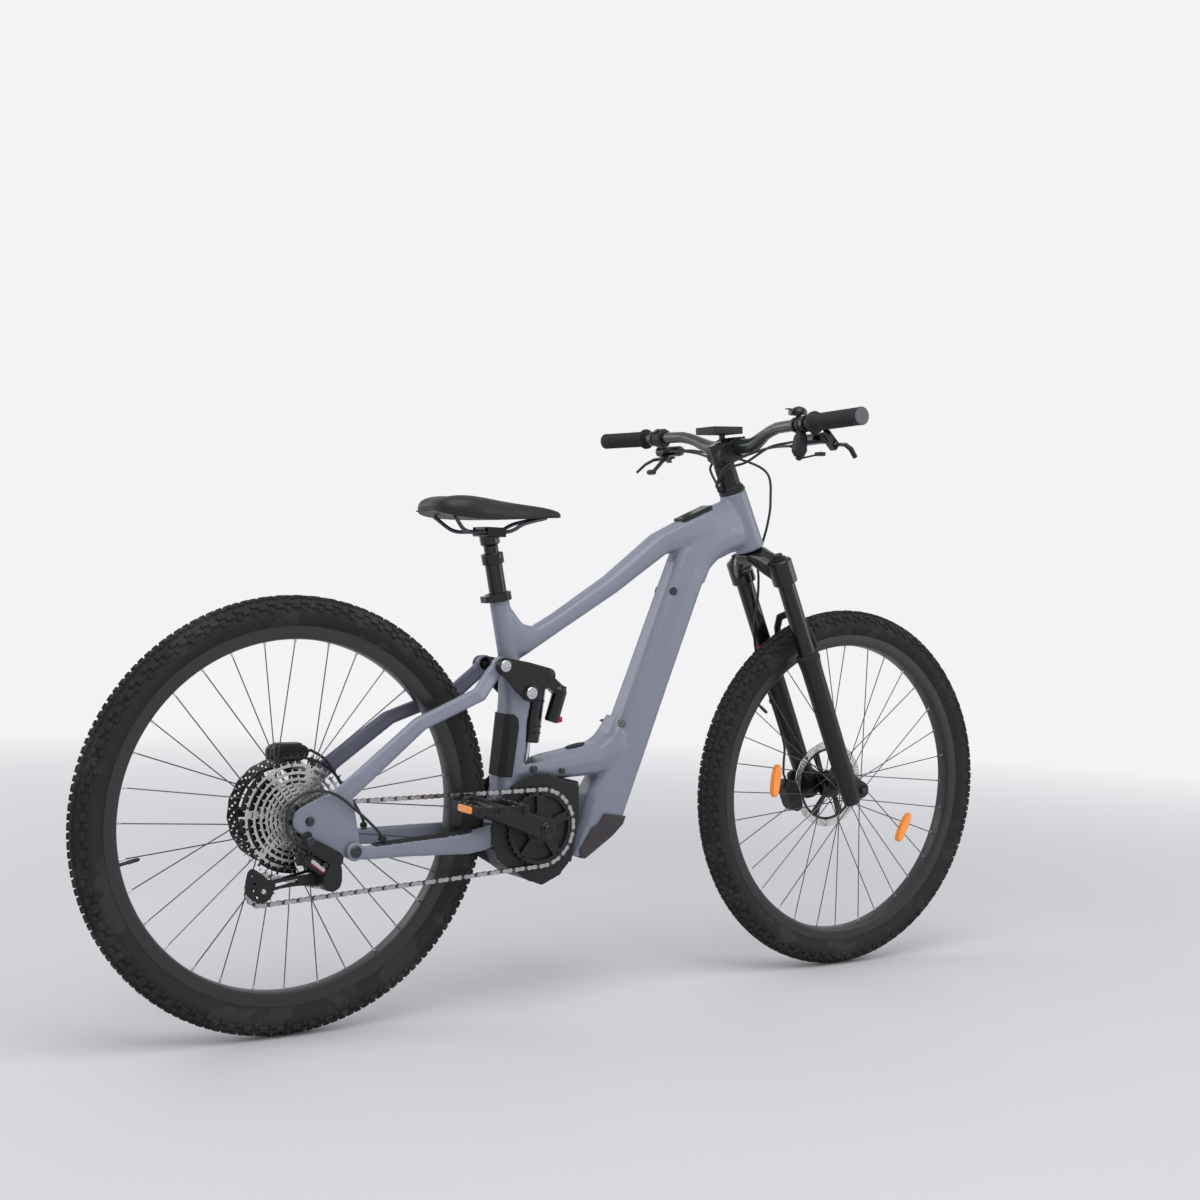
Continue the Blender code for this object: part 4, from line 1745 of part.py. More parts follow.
def front_hoses():
    """The front brake hose and, clipped to it, the housings that enter the headset."""
    start = by_bar(1, 0.0300, CYLINDER_Y, -0.0250) - GAP * bar_heading(1)
    foot = from_head(FORK_LENGTH - 0.020 - CALIPER_HALF_HEIGHT - GAP, FORK_OFFSET - 0.0950, CALIPER_Y)
    front = [start, start - 0.008 * bar_heading(1), by_bar(1, 0.0260, CYLINDER_Y - 0.0400, -0.0240),
             by_bar(1, 0.0200, 0.1050, -0.0200), BAR_CENTRE + Vector((0.0480, 0.0350, -0.0180)),
             BAR_CENTRE + Vector((0.0850, -0.0050, -0.0450)),
             from_head(-0.0750, 0.0720, -0.0180), from_head(-0.0050, 0.0560, -0.0200),
             from_head(0.0700, 0.0360, -0.0120), from_head(0.1300, 0.0150, 0.0130),
             from_head(0.1750, -0.0100, 0.0470), from_head(0.2300, -0.0175, 0.0600),
             from_head(FORK_LENGTH - 0.2475, -0.0160, 0.0620),
             from_head(FORK_LENGTH - 0.1675, -0.0150, 0.0620),
             from_head(FORK_LENGTH - 0.1175, -0.0200, 0.0590),
             from_head(FORK_LENGTH - 0.0915, -0.0370, 0.0530),
             foot - 0.016 * DOWN, foot - 0.008 * DOWN, foot]
    port = HEAD_TOP - 0.0150 * DOWN - 0.0275 * AHEAD
    right = [by_bar(-1, 0.0300, CYLINDER_Y, -0.0250) - GAP * bar_heading(-1),
             by_bar(-1, 0.0290, CYLINDER_Y - 0.0400, -0.0240),
             by_bar(-1, 0.0200, 0.0950, -0.0160), BAR_CENTRE + Vector((-0.0020, -0.0460, -0.0310)),
             BAR_CENTRE + Vector((-0.0330, -0.0300, -0.0450)), HEAD_TOP - 0.0260 * DOWN - 0.0300 * AHEAD,
             port]
    shift = [by_bar(-1, -0.0060, SHIFTER_Y - 0.0115, -0.0400),
             by_bar(-1, -0.0060, SHIFTER_Y - 0.0530, -0.0370),
             by_bar(-1, 0.0000, 0.1150, -0.0280), BAR_CENTRE + Vector((-0.0180, -0.0520, -0.0230)),
             BAR_CENTRE + Vector((-0.0370, -0.0270, -0.0430)), HEAD_TOP - 0.0270 * DOWN - 0.0310 * AHEAD,
             port]
    dropper = [by_bar(1, 0.0000, DROPPER_Y - 0.0180, -0.0260),
               by_bar(1, 0.0040, DROPPER_Y - 0.0680, -0.0270),
               by_bar(1, 0.0080, 0.1100, -0.0250), BAR_CENTRE + Vector((-0.0100, 0.0520, -0.0230)),
               BAR_CENTRE + Vector((-0.0330, 0.0270, -0.0450)), HEAD_TOP - 0.0260 * DOWN - 0.0300 * AHEAD,
               port]
    grommet = block(port + 0.0005 * DOWN, LEFT, AHEAD, DOWN, (0.0070, 0.0035, 0.0045))
    clip = block(by_bar(1, 0.0140, 0.1080, -0.0224), LEFT, Vector((1.0, 0.0, 0.2)).normalized(),
                 Vector((-0.2, 0.0, 1.0)).normalized(), (0.0040, 0.0110, 0.0040))
    node("front_hoses", combine([hose(front), hose(right), hose(shift), hose(dropper), grommet, clip]),
         satin_black(), "steering")


def rear_brake_hose():
    """From the rear caliper, down inside the left seatstay to a grommet on the left chainstay."""
    points = [from_axle(0.0500 + 2 * GAP, 0.0640, 0.0980), from_axle(0.0560, 0.0640, 0.0980),
              from_axle(0.0620, 0.0640, 0.0980), from_axle(0.0880, 0.0590, 0.0800),
              from_axle(0.1160, 0.0560, 0.0380),
              from_axle(0.1460, 0.0600, 0.0000), from_axle(0.1640, 0.0680, -0.0260),
              from_axle(0.1660, 0.0690, -0.0340)]
    grommet = block(from_axle(0.1660, 0.0690, -0.0345), Vector((1.0, 0.0, 0.0)), LEFT,
                    Vector((0.0, 0.0, 1.0)), (0.0080, 0.0045, 0.0040))
    node("rear_brake_hose", combine([hose(points), grommet]), satin_black(), "chainstay_group")


def shift_housing():
    """From the derailleur, up over the dropout and down to a grommet on the right chainstay."""
    points = [from_axle(-0.0175, -0.0900, -0.0330), from_axle(-0.0300, -0.0900, -0.0300),
              from_axle(-0.0440, -0.0900, -0.0050), from_axle(-0.0380, -0.0900, 0.0300),
              from_axle(-0.0050, -0.0900, 0.0500), from_axle(0.0400, -0.0890, 0.0430),
              from_axle(0.0850, -0.0870, 0.0100), from_axle(0.1180, -0.0800, -0.0180),
              from_axle(0.1320, -0.0760, -0.0320)]
    grommet = block(from_axle(0.1330, -0.0755, -0.0350), Vector((1.0, 0.0, 0.0)), LEFT,
                    Vector((0.0, 0.0, 1.0)), (0.0100, 0.0050, 0.0050))
    node("shift_housing", combine([hose(points), grommet]), satin_black(), "chainstay_group")


def hoses():
    front_hoses()
    rear_brake_hose()
    shift_housing()


hoses()
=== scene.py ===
# %% [markdown]
# # A full-suspension electric mountain bike
#
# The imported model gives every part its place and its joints. This lesson dresses it: each piece that
# a rider would look at closely is made again in finer detail, on the same places, and every surface
# gets a finish made of nodes. X points forwards, Y to the rider's left, and the chain is at -Y.

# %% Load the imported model
import json
import math

import bmesh
import bpy
import numpy as np
from mathutils import Matrix, Vector


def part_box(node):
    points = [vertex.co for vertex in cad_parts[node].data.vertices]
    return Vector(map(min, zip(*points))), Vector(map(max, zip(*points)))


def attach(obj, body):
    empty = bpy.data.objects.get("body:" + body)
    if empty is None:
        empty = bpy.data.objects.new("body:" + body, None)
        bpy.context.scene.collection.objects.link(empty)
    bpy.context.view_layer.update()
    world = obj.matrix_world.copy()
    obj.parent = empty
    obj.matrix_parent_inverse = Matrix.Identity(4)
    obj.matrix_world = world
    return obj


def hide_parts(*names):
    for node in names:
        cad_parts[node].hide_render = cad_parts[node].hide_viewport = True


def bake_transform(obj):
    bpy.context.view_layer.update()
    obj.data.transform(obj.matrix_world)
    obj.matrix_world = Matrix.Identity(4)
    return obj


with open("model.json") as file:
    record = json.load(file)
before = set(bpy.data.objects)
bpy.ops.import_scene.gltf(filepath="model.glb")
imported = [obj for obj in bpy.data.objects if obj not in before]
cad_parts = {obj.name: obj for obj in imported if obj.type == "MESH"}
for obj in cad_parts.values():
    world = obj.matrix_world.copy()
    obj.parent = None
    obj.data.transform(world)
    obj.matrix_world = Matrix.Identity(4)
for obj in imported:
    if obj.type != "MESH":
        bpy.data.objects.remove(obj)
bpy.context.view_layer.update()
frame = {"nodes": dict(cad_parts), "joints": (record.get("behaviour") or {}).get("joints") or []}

scene = bpy.context.scene
for name in ("Cube", "Light", "Camera"):
    if name in bpy.data.objects:
        bpy.data.objects.remove(bpy.data.objects[name])
joints = {joint["name"]: joint for joint in frame["joints"]}

# %% [markdown]
# ## The camera
#
# The photograph was taken from the chain side, a little behind the middle of the bike. Its place and
# turn were worked out from the two wheels, whose real size is known: a lens of about 48 mm on a
# 36 mm frame, 2.7 m away, looking 33 degrees towards the front and almost level.

# %% Set the camera where the photograph was taken
FOCAL_PIXELS = 1609.0
PICTURE_WIDTH = 1200.0
YAW, PITCH, ROLL = (math.radians(angle) for angle in (33.37, -0.50, 2.02))
HALF_WHEELBASE = joints["front_wheel_spin"]["pos_m"][0]
CAMERA_PLACE = Vector((-1.051 - HALF_WHEELBASE, -2.508, 0.764))

forward = Vector((math.sin(YAW) * math.cos(PITCH), math.cos(YAW) * math.cos(PITCH), math.sin(PITCH)))
level_right = Vector((math.cos(YAW), -math.sin(YAW), 0))
level_up = level_right.cross(forward)
right = level_right * math.cos(ROLL) + level_up * math.sin(ROLL)
up = level_up * math.cos(ROLL) - level_right * math.sin(ROLL)
camera = bpy.data.objects.new("camera", bpy.data.cameras.new("camera"))
scene.collection.objects.link(camera)
turn = Matrix((right, up, -forward)).transposed().to_4x4()
camera.matrix_world = Matrix.Translation(CAMERA_PLACE) @ turn
camera.data.sensor_width = 36.0
camera.data.lens = FOCAL_PIXELS * camera.data.sensor_width / PICTURE_WIDTH
scene.camera = camera
print("camera", [round(value, 3) for value in CAMERA_PLACE], "lens", round(camera.data.lens, 1))

# %% [markdown]
# ## Sums in a shader
#
# A finish is easier to read as a sum than as a page of nodes. `Value` wraps one output of a node, and
# Python's own signs on it add Math nodes. `Finish` owns one material, and `add` is the one way in
# which any other node is made: its kind, its settings, then what goes into its sockets.

# %% Wrap a socket so that sums can be written as sums
class Value:
    """One output of a node, on which + - * / and the comparisons add Math nodes."""

    def __init__(self, nodes, socket):
        self.nodes, self.socket = nodes, socket

    def __add__(self, other):
        return self.nodes.sum("ADD", self, other)

    def __sub__(self, other):
        return self.nodes.sum("SUBTRACT", self, other)

    def __rsub__(self, other):
        return self.nodes.sum("SUBTRACT", other, self)

    def __mul__(self, other):
        return self.nodes.sum("MULTIPLY", self, other)

    def __truediv__(self, other):
        return self.nodes.sum("DIVIDE", self, other)

    def __gt__(self, other):
        return self.nodes.sum("GREATER_THAN", self, other)

    def __lt__(self, other):
        return self.nodes.sum("LESS_THAN", self, other)

    __radd__, __rmul__ = __add__, __mul__


# %% Add any other node through one method
class Nodes:
    """A tree of nodes, of a material or of a shape."""

    def __init__(self, tree):
        self.tree = tree

    def add(self, kind, settings, inputs, output=0):
        node = self.tree.nodes.new(kind)
        for name, value in settings.items():
            setattr(node, name, value)
        for key, value in inputs.items():
            self.plug(node.inputs[key], value)
        return Value(self, node.outputs[output])

    def sum(self, operation, *terms):
        return self.add("ShaderNodeMath", {"operation": operation}, dict(enumerate(terms)))

    def plug(self, socket, value):
        if isinstance(value, Value):
            self.tree.links.new(value.socket, socket)
        else:
            socket.default_value = value


# %% Let one class own a material
class Finish(Nodes):
    """A material with one Principled shader, and the nodes that feed it."""

    def __init__(self, name, **sockets):
        self.material = bpy.data.materials.new(name)
        self.material.use_nodes = True
        super().__init__(self.material.node_tree)
        self.tree.nodes.clear()
        self.shader = self.tree.nodes.new("ShaderNodeBsdfPrincipled")
        self.output = self.tree.nodes.new("ShaderNodeOutputMaterial")
        self.tree.links.new(self.shader.outputs[0], self.output.inputs[0])
        self.place = self.add("ShaderNodeTexCoord", {}, {}, "Object")
        self.feed(**sockets)

    def feed(self, **sockets):
        """Sets the shader's sockets, written as base_color=..., coat_weight=... and so on."""
        for name, value in sockets.items():
            name = name.replace("_", " ").title().replace("Ior", "IOR")
            self.plug(self.shader.inputs[name], value)

    def noise(self, scale, detail=3.0, where=None):
        return self.add("ShaderNodeTexNoise", {}, {"Vector": where or self.place, "Scale": scale,
                                                   "Detail": detail, "Roughness": 0.55})

    def cells(self, scale, where=None):
        return self.add("ShaderNodeTexVoronoi", {}, {"Vector": where or self.place, "Scale": scale})

    def mix(self, share, first, second):
        return self.add("ShaderNodeMix", {"data_type": "RGBA"}, {0: share, 6: first, 7: second}, 2)

    def ramp(self, value, low, high):
        """0 below low, 1 above high, and a straight slope between them."""
        return self.add("ShaderNodeMapRange", {}, {"Value": value, "From Min": low, "From Max": high})

    def centred(self, place, turned=(0.0, 0.0, 0.0)):
        """Coordinates that start from a place on the bike."""
        back = self.add("ShaderNodeVectorMath", {"operation": "SUBTRACT"}, {0: self.place, 1: place})
        return self.add("ShaderNodeMapping", {}, {"Vector": back, "Rotation": turned})

    def split(self, vector):
        return [self.add("ShaderNodeSeparateXYZ", {}, {0: vector}, axis) for axis in range(3)]

    def raise_by(self, height, strength=0.3, depth=0.0005):
        self.feed(normal=self.add("ShaderNodeBump", {}, {"Height": height, "Strength": strength,
                                                        "Distance": depth}))


print("shader sums ready")

# %% [markdown]
# ## Floor and light
#
# A pale floor carries the shadow and fades into the white behind it, so that no line crosses the
# picture. The light is that of a bright room: an even world, one large lamp above on the camera's
# side, and two weaker ones that draw the edges of the tubes. Nothing clips, so colours come out
# about as they are written.

# %% Lay the floor and hang the lamps
BACKDROP = (0.90, 0.895, 0.92, 1.0)
FLOOR_HALF = 14.0
bpy.ops.mesh.primitive_plane_add(size=2 * FLOOR_HALF, location=(0, 0, -0.0005))
floor = bpy.context.object
floor.name = "floor"
floor_finish = Finish("floor_paint", roughness=0.6)
across, along, _ = floor_finish.split(floor_finish.place)
distance = floor_finish.sum("SQRT", across * across + along * along)
speck = floor_finish.noise(60.0)
floor_finish.feed(base_color=floor_finish.mix(speck * 0.15, (0.70, 0.695, 0.71, 1), (0.62, 0.61, 0.63, 1)))
glow = floor_finish.add("ShaderNodeEmission", {}, {"Color": BACKDROP, "Strength": 1.0})
far = floor_finish.ramp(distance, 1.6, 5.0)
skin = Value(floor_finish, floor_finish.shader.outputs[0])
fade = floor_finish.add("ShaderNodeMixShader", {}, {0: far, 1: skin, 2: glow})
floor_finish.plug(floor_finish.output.inputs[0], fade)
floor.data.materials.append(floor_finish.material)

world = scene.world or bpy.data.worlds.new("room")
scene.world = world
world.use_nodes = True
world.node_tree.nodes.clear()
room = Nodes(world.node_tree)
sky = room.add("ShaderNodeBackground", {}, {"Color": (0.93, 0.96, 1.0, 1), "Strength": 0.62})
plain = room.add("ShaderNodeBackground", {}, {"Color": BACKDROP, "Strength": 1.0})
seen = room.add("ShaderNodeLightPath", {}, {}, "Is Camera Ray")
either = room.add("ShaderNodeMixShader", {}, {0: seen, 1: sky, 2: plain})
room.plug(room.tree.nodes.new("ShaderNodeOutputWorld").inputs[0], either)

LAMPS = {"ceiling": ((-0.6, -1.2, 3.0), (0.0, 0.1, 0.5), 2.4, 46.0),
         "front": ((2.6, -1.6, 1.5), (0.2, 0.0, 0.5), 1.6, 14.0),
         "back": ((-1.8, 2.6, 1.9), (-0.2, 0.0, 0.5), 1.8, 16.0)}
for name, (place, target, size, power) in LAMPS.items():
    lamp = bpy.data.objects.new(name, bpy.data.lights.new(name, "AREA"))
    lamp.data.size, lamp.data.energy = size, power
    lamp.matrix_world = Matrix.Translation(place) @ (
        Vector(place) - Vector(target)).to_track_quat("Z", "Y").to_matrix().to_4x4()
    scene.collection.objects.link(lamp)
scene.view_settings.view_transform = "Standard"
print("floor and", len(LAMPS), "lamps")

# %% [markdown]
# ## The finishes
#
# Few things on the bike are shiny all over: paint and moulded parts have a satin skin, and rubber
# has none. Each finish below starts from one recipe: a colour that drifts a little, a roughness that
# drifts with it, and a grain at the size of the real one, as a bump. What is special to a piece,
# such as brushing round a disc, is then added to its own finish.

# %% One recipe for a surface with drift and grain
def surface(name, colour, roughness, drift=0.12, drift_scale=9.0, grain=0.12, grain_scale=900.0, **sockets):
    """A finish whose colour and roughness drift together, with a fine grain raised on it."""
    finish = Finish(name, roughness=roughness, **sockets)
    cloud = finish.noise(drift_scale, 4.0)
    light = tuple(min(1.0, channel * (1 + drift)) for channel in colour) + (1.0,)
    dark = tuple(channel * (1 - drift) for channel in colour) + (1.0,)
    finish.cloud = cloud
    finish.colour = finish.mix(cloud, dark, light)
    finish.feed(base_color=finish.colour, roughness=cloud * (0.3 * roughness) + 0.85 * roughness)
    if grain:
        finish.raise_by(finish.noise(grain_scale, 2.0), grain, 0.0003)
    return finish


# %% [markdown]
# The frame's paint is a satin blue-grey. Seen close it holds a very fine fleck, and the parts that
# face the wheels carry a trace of dust, so the drift is wide and slow and the grain is almost nothing.

# %% Paint for the frame and the rear end
paint = surface("blue_grey_paint", (0.205, 0.220, 0.280), 0.38, drift=0.07, drift_scale=5.0, grain=0.05,
                grain_scale=1500.0, coat_weight=0.35, coat_roughness=0.28)
fleck = paint.cells(1400.0) < 0.10
paint.feed(base_color=paint.mix(fleck * 0.16, paint.colour, (0.42, 0.46, 0.53, 1)))
# The far stay's paint is the frame's paint made darker: painted shade, not a second colour.
slate_paint = surface("slate_paint", (0.118, 0.120, 0.175), 0.38, drift=0.08, drift_scale=5.0, grain=0.05,
                      grain_scale=1500.0, coat_weight=0.3, coat_roughness=0.3)
print("paint:", paint.material.name, slate_paint.material.name)

# %% [markdown]
# Black comes in many kinds here. The fork's tubes are glossy, its legs are satin, the cranks are
# blasted and anodised, the guards are rubber with a pressed grain, and the small levers and clamps
# are moulded. They differ in roughness and in grain far more than in colour.

# %% Black metal, black plastic and rubber
satin_black = surface("satin_black_metal", (0.013, 0.013, 0.015), 0.40, grain=0.10, grain_scale=1100.0,
                      specular_ior_level=0.34)
gloss_black = surface("gloss_black_metal", (0.006, 0.006, 0.007), 0.16, grain=0.02, grain_scale=300.0,
                      specular_ior_level=0.30, coat_weight=0.35, coat_roughness=0.06)
moulded = surface("moulded_black", (0.017, 0.017, 0.019), 0.50, grain=0.22, grain_scale=1400.0,
                  specular_ior_level=0.35)
ribbed_black = surface("ribbed_black", (0.013, 0.013, 0.015), 0.46, grain=0, specular_ior_level=0.35)
_, _, height = ribbed_black.split(ribbed_black.centred((0.0, 0.0, 0.0), (0.0, math.radians(24), 0.0)))
ribs = ribbed_black.sum("SINE", height * 900.0)
ribbed_black.raise_by(ribs * 0.5 + ribbed_black.noise(1200.0) * 0.3, 0.35, 0.0006)
guard_rubber = surface("guard_rubber", (0.018, 0.017, 0.019), 0.66, grain=0.35, grain_scale=1300.0,
                       specular_ior_level=0.3)
purple_black = surface("down_tube_guard_plastic", (0.036, 0.028, 0.034), 0.48, grain=0.3, grain_scale=700.0)
hose_skin = surface("hose_skin", (0.016, 0.016, 0.018), 0.38, grain=0.05)

# %% [markdown]
# Tyre rubber is the mattest thing on the bike. It is browner than the plastics and holds dust in its
# low places, and the walls show fine rings, so the wheel's own centre is the start of that pattern.

# %% Rubber for the two tyres
AXLES = {which: Vector(joints[which + "_wheel_spin"]["pos_m"]) for which in ("front", "rear")}


def tyre_rubber(which):
    finish = surface(which + "_tyre_rubber", (0.022, 0.0205, 0.021), 0.78, drift=0.25, drift_scale=30.0,
                     grain=0, specular_ior_level=0.3)
    x, _, z = finish.split(finish.centred(tuple(AXLES[which])))
    reach = finish.sum("SQRT", x * x + z * z)
    rings = finish.sum("SINE", reach * 5200.0)
    dust = finish.noise(14.0, 5.0) > 0.56
    finish.feed(base_color=finish.mix(dust * 0.20, finish.colour, (0.085, 0.078, 0.072, 1)))
    finish.raise_by(rings * 0.35 + finish.noise(1500.0), 0.35, 0.0004)
    return finish


rubber = {which: tyre_rubber(which) for which in AXLES}

# %% [markdown]
# Bare metal: the rotors are ground round and round, the chain and cogs are nickel with oil in the
# corners, and the bolts are polished or blackened steel.

# %% Bare metals
def ground_metal(name, centre, colour, roughness):
    """Metal ground in rings round a wheel's axis."""
    finish = surface(name, colour, roughness, drift=0.10, drift_scale=40.0, grain=0, metallic=1.0)
    x, _, z = finish.split(finish.centred(tuple(centre)))
    reach = finish.sum("SQRT", x * x + z * z)
    lines = finish.noise(1.0, 2.0, finish.add("ShaderNodeCombineXYZ", {}, {0: reach * 5000.0}))
    finish.raise_by(lines, 0.12, 0.0002)
    return finish


front_ring = ground_metal("front_rotor_steel", AXLES["front"], (0.62, 0.61, 0.60), 0.26)
rear_ring = ground_metal("rear_rotor_steel", AXLES["rear"], (0.30, 0.29, 0.29), 0.30)
cog_silver = ground_metal("cog_nickel", AXLES["rear"], (0.58, 0.57, 0.55), 0.28)
cog_black = ground_metal("cog_black", AXLES["rear"], (0.045, 0.045, 0.048), 0.36)
chain_silver = surface("chain_nickel", (0.44, 0.43, 0.44), 0.27, drift=0.18, drift_scale=160.0, grain=0.05,
                       metallic=1.0)
chain_dark = surface("chain_rollers", (0.10, 0.095, 0.09), 0.40, drift=0.3, drift_scale=160.0, metallic=1.0)
bolt_silver = surface("bolt_steel", (0.58, 0.58, 0.60), 0.20, grain=0.04, metallic=1.0)
bolt_black = surface("bolt_black", (0.040, 0.040, 0.044), 0.24, grain=0.04, metallic=0.7, coat_weight=0.5)
spoke_steel = surface("spoke_steel", (0.12, 0.12, 0.13), 0.30, grain=0, metallic=1.0)
rail_steel = surface("rail_steel", (0.030, 0.030, 0.040), 0.22, grain=0.03, metallic=0.4, coat_weight=0.5)
print("metals ready")

# %% [markdown]
# The bar has a faint green sheen, the grips a fine pattern of ribs that runs round them, and the
# reflectors hold small prisms behind clear amber, which carries a painted glow and painted glints.

# %% Bar, grips, reflectors and the small coloured rings
bar_black = surface("bar_black", (0.024, 0.028, 0.027), 0.24, grain=0.03, coat_weight=0.5,
                    coat_roughness=0.15)
grip_rubber = surface("grip_rubber", (0.015, 0.015, 0.017), 0.62, grain=0, specular_ior_level=0.35)
_, sideways, _ = grip_rubber.split(grip_rubber.place)
waves = grip_rubber.sum("SINE", sideways * 1500.0)
lattice = grip_rubber.cells(420.0)
grip_rubber.raise_by(waves * 0.5 + lattice, 0.5, 0.0009)
end_disc = surface("grip_end", (0.11, 0.11, 0.115), 0.55)
# Painted glow: the amber gives off a little light of its own, though a reflector makes none.
amber = surface("amber_lens", (0.95, 0.26, 0.012), 0.12, drift=0.1, grain=0, coat_weight=1.0,
                emission_color=(0.95, 0.25, 0.01, 1), emission_strength=0.22)
prism_cells_and_glints = amber.cells(520.0)
amber.raise_by(prism_cells_and_glints, 0.7, 0.0008)
# Painted glints: each prism cell is painted a lighter or a darker orange, as if its facets threw back light.
amber.feed(base_color=amber.mix(prism_cells_and_glints, (1.0, 0.42, 0.05, 1), (0.75, 0.14, 0.004, 1)))
red_ring = surface("red_anodised", (0.52, 0.012, 0.012), 0.30, metallic=0.6)
glass_black = surface("display_glass", (0.008, 0.008, 0.010), 0.06, grain=0, coat_weight=1.0)
saddle_skin = surface("saddle_skin", (0.013, 0.013, 0.015), 0.44, drift=0.1, grain=0, specular_ior_level=0.4)
pores = saddle_skin.cells(700.0)
saddle_skin.raise_by(pores * 0.6 + saddle_skin.noise(260.0), 0.28, 0.0005)
print(len(bpy.data.materials), "finishes")

# %% [markdown]
# ## Ways to make a shape
#
# Four ways do nearly all of the work. A cast or moulded part starts as a copy of its solid, which is
# wrapped in an even skin and smoothed, so that its sharp edges become the soft ones of a real
# casting. A turned part is a profile spun round its axis. A flat part with holes is a filled curve
# with a thickness. A bar or a hose is a ring carried along a path.

# %% Give a mesh its finish and its body
def new_object(name, mesh):
    piece = bpy.data.objects.new(name, mesh)
    scene.collection.objects.link(piece)
    return piece


def closed(name, work):
    """Ends a bmesh and stands its faces in the scene as a piece."""
    mesh = bpy.data.meshes.new(name)
    work.to_mesh(mesh)
    work.free()
    return new_object(name, mesh)


def baked(piece):
    """The evaluated mesh of a piece with its place in its points, on a new object."""
    bpy.context.view_layer.update()
    graph = bpy.context.evaluated_depsgraph_get()
    mesh = bpy.data.meshes.new_from_object(piece.evaluated_get(graph))
    mesh.transform(piece.matrix_world)
    name = piece.name
    bpy.data.objects.remove(piece)
    return new_object(name, mesh)


def soften(mesh, angle=32):
    """Smooth shading, broken where two faces meet more sharply than the angle."""
    work = bmesh.new()
    work.from_mesh(mesh)
    for face in work.faces:
        face.smooth = True
    for edge in work.edges:
        edge.smooth = len(edge.link_faces) != 2 or edge.calc_face_angle(0.0) < math.radians(angle)
    work.to_mesh(mesh)
    work.free()


def wear(piece, finish, body, slot, *nodes, angle=32):
    """Paints a finished piece, lets it ride on a body and hides the solids that it stands for."""
    piece.data.materials.clear()
    piece.data.materials.append(finish.material)
    if angle:
        soften(piece.data, angle)
    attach(piece, body)
    if nodes:
        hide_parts(*nodes)
    return piece


# %% [markdown]
# The even skin is a Remesh modifier at a given cell, and the Smooth modifier after it rounds every
# edge by about two cells.

# %% Copy a solid and round its edges
def cast_from(node, name, cell, rounds, finish, body, slot, fill=None, bores=()):
    """A rounded skin over a solid, which it then stands for. Fill is added first, and bores are cut last."""
    work = bmesh.new()
    work.from_mesh(frame["nodes"][node].data)
    bmesh.ops.remove_doubles(work, verts=work.verts, dist=1e-6)
    if fill:
        turned(work, *fill)
    piece = closed(name, work)
    skin = piece.modifiers.new("skin", "REMESH")
    skin.mode, skin.voxel_size = "VOXEL", cell
    smooth = piece.modifiers.new("smooth", "SMOOTH")
    smooth.factor, smooth.iterations = 0.5, rounds
    piece = baked(piece)
    if bores:
        drill = made("drill", turned_all, *bores)
        cut = piece.modifiers.new("bores", "BOOLEAN")
        cut.operation, cut.solver, cut.object = "DIFFERENCE", "EXACT", drill
        piece = baked(piece)
        bpy.data.objects.remove(drill)
    print(name, len(piece.data.polygons), "faces")
    return wear(piece, finish, body, slot, node, angle=60)


# %% Spin a profile round an axis
def across(axis):
    """Two unit vectors square to an axis and to each other."""
    axis = Vector(axis).normalized()
    helper = Vector((0, 0, 1)) if abs(axis.z) < 0.9 else Vector((1, 0, 0))
    first = helper.cross(axis).normalized()
    return first, axis.cross(first)


def eased(profile, size):
    """The profile with a small chamfer at each of its inner corners."""
    points = [Vector(point) for point in profile]
    result = [points[0]]
    for before, point, after in zip(points, points[1:], points[2:]):
        for other in (before, after):
            step = other - point
            result.append(point + step.normalized() * min(size, 0.4 * step.length))
    return [tuple(point) for point in result + [points[-1]]]


def turned(work, centre, axis, profile, sides=48):
    """Adds a closed spun shape to a bmesh: profile is (along, radius) pairs, capped where it ends."""
    axis = Vector(axis).normalized()
    first, second = across(axis)
    rings = []
    for along, radius in profile:
        middle = Vector(centre) + along * axis
        if radius < 1e-6:
            rings.append([work.verts.new(middle)])
            continue
        turns = (2 * math.pi * i / sides for i in range(sides))
        rings.append([work.verts.new(middle + radius * (math.cos(a) * first + math.sin(a) * second))
                      for a in turns])
    for low, high in zip(rings, rings[1:]):
        for i in range(sides):
            j = (i + 1) % sides
            corners = [low[i % len(low)], low[j % len(low)], high[j % len(high)], high[i % len(high)]]
            corners = list(dict.fromkeys(corners))
            if len(corners) > 2:
                work.faces.new(corners)
    for ring in (rings[0], rings[-1]):
        if len(ring) > 2 and profile[0] != profile[-1]:
            work.faces.new(ring)


def made(name, fill, *terms, **words):
    """A piece from a function that fills a bmesh, with its doubles merged and its faces turned out."""
    work = bmesh.new()
    fill(work, *terms, **words)
    bmesh.ops.remove_doubles(work, verts=work.verts, dist=1e-6)
    bmesh.ops.recalc_face_normals(work, faces=work.faces)
    return closed(name, work)


def band(*profile):
    """A profile that closes on itself, for a ring that something runs through."""
    return [*profile, profile[0]]


def turned_all(work, *shapes):
    for centre, axis, profile, sides in shapes:
        turned(work, centre, axis, profile, sides)


# %% Carry a ring along a path
def skinned(work, rings):
    """Joins each ring of points to the next with four-sided faces."""
    for low, high in zip(rings, rings[1:]):
        for i in range(len(low)):
            j = (i + 1) % len(low)
            work.faces.new((low[i], low[j], high[j], high[i]))


def smooth_path(points, steps=8):
    """A Catmull-Rom curve through the points."""
    points = [Vector(point) for point in points]
    padded = [2 * points[0] - points[1], *points, 2 * points[-1] - points[-2]]
    result = []
    for a, b, c, d in zip(padded, padded[1:], padded[2:], padded[3:]):
        for i in range(steps):
            t = i / steps
            result.append(0.5 * (2 * b + (c - a) * t + (2 * a - 5 * b + 4 * c - d) * t * t
                                 + (3 * b - a - 3 * c + d) * t ** 3))
    return result + [points[-1]]


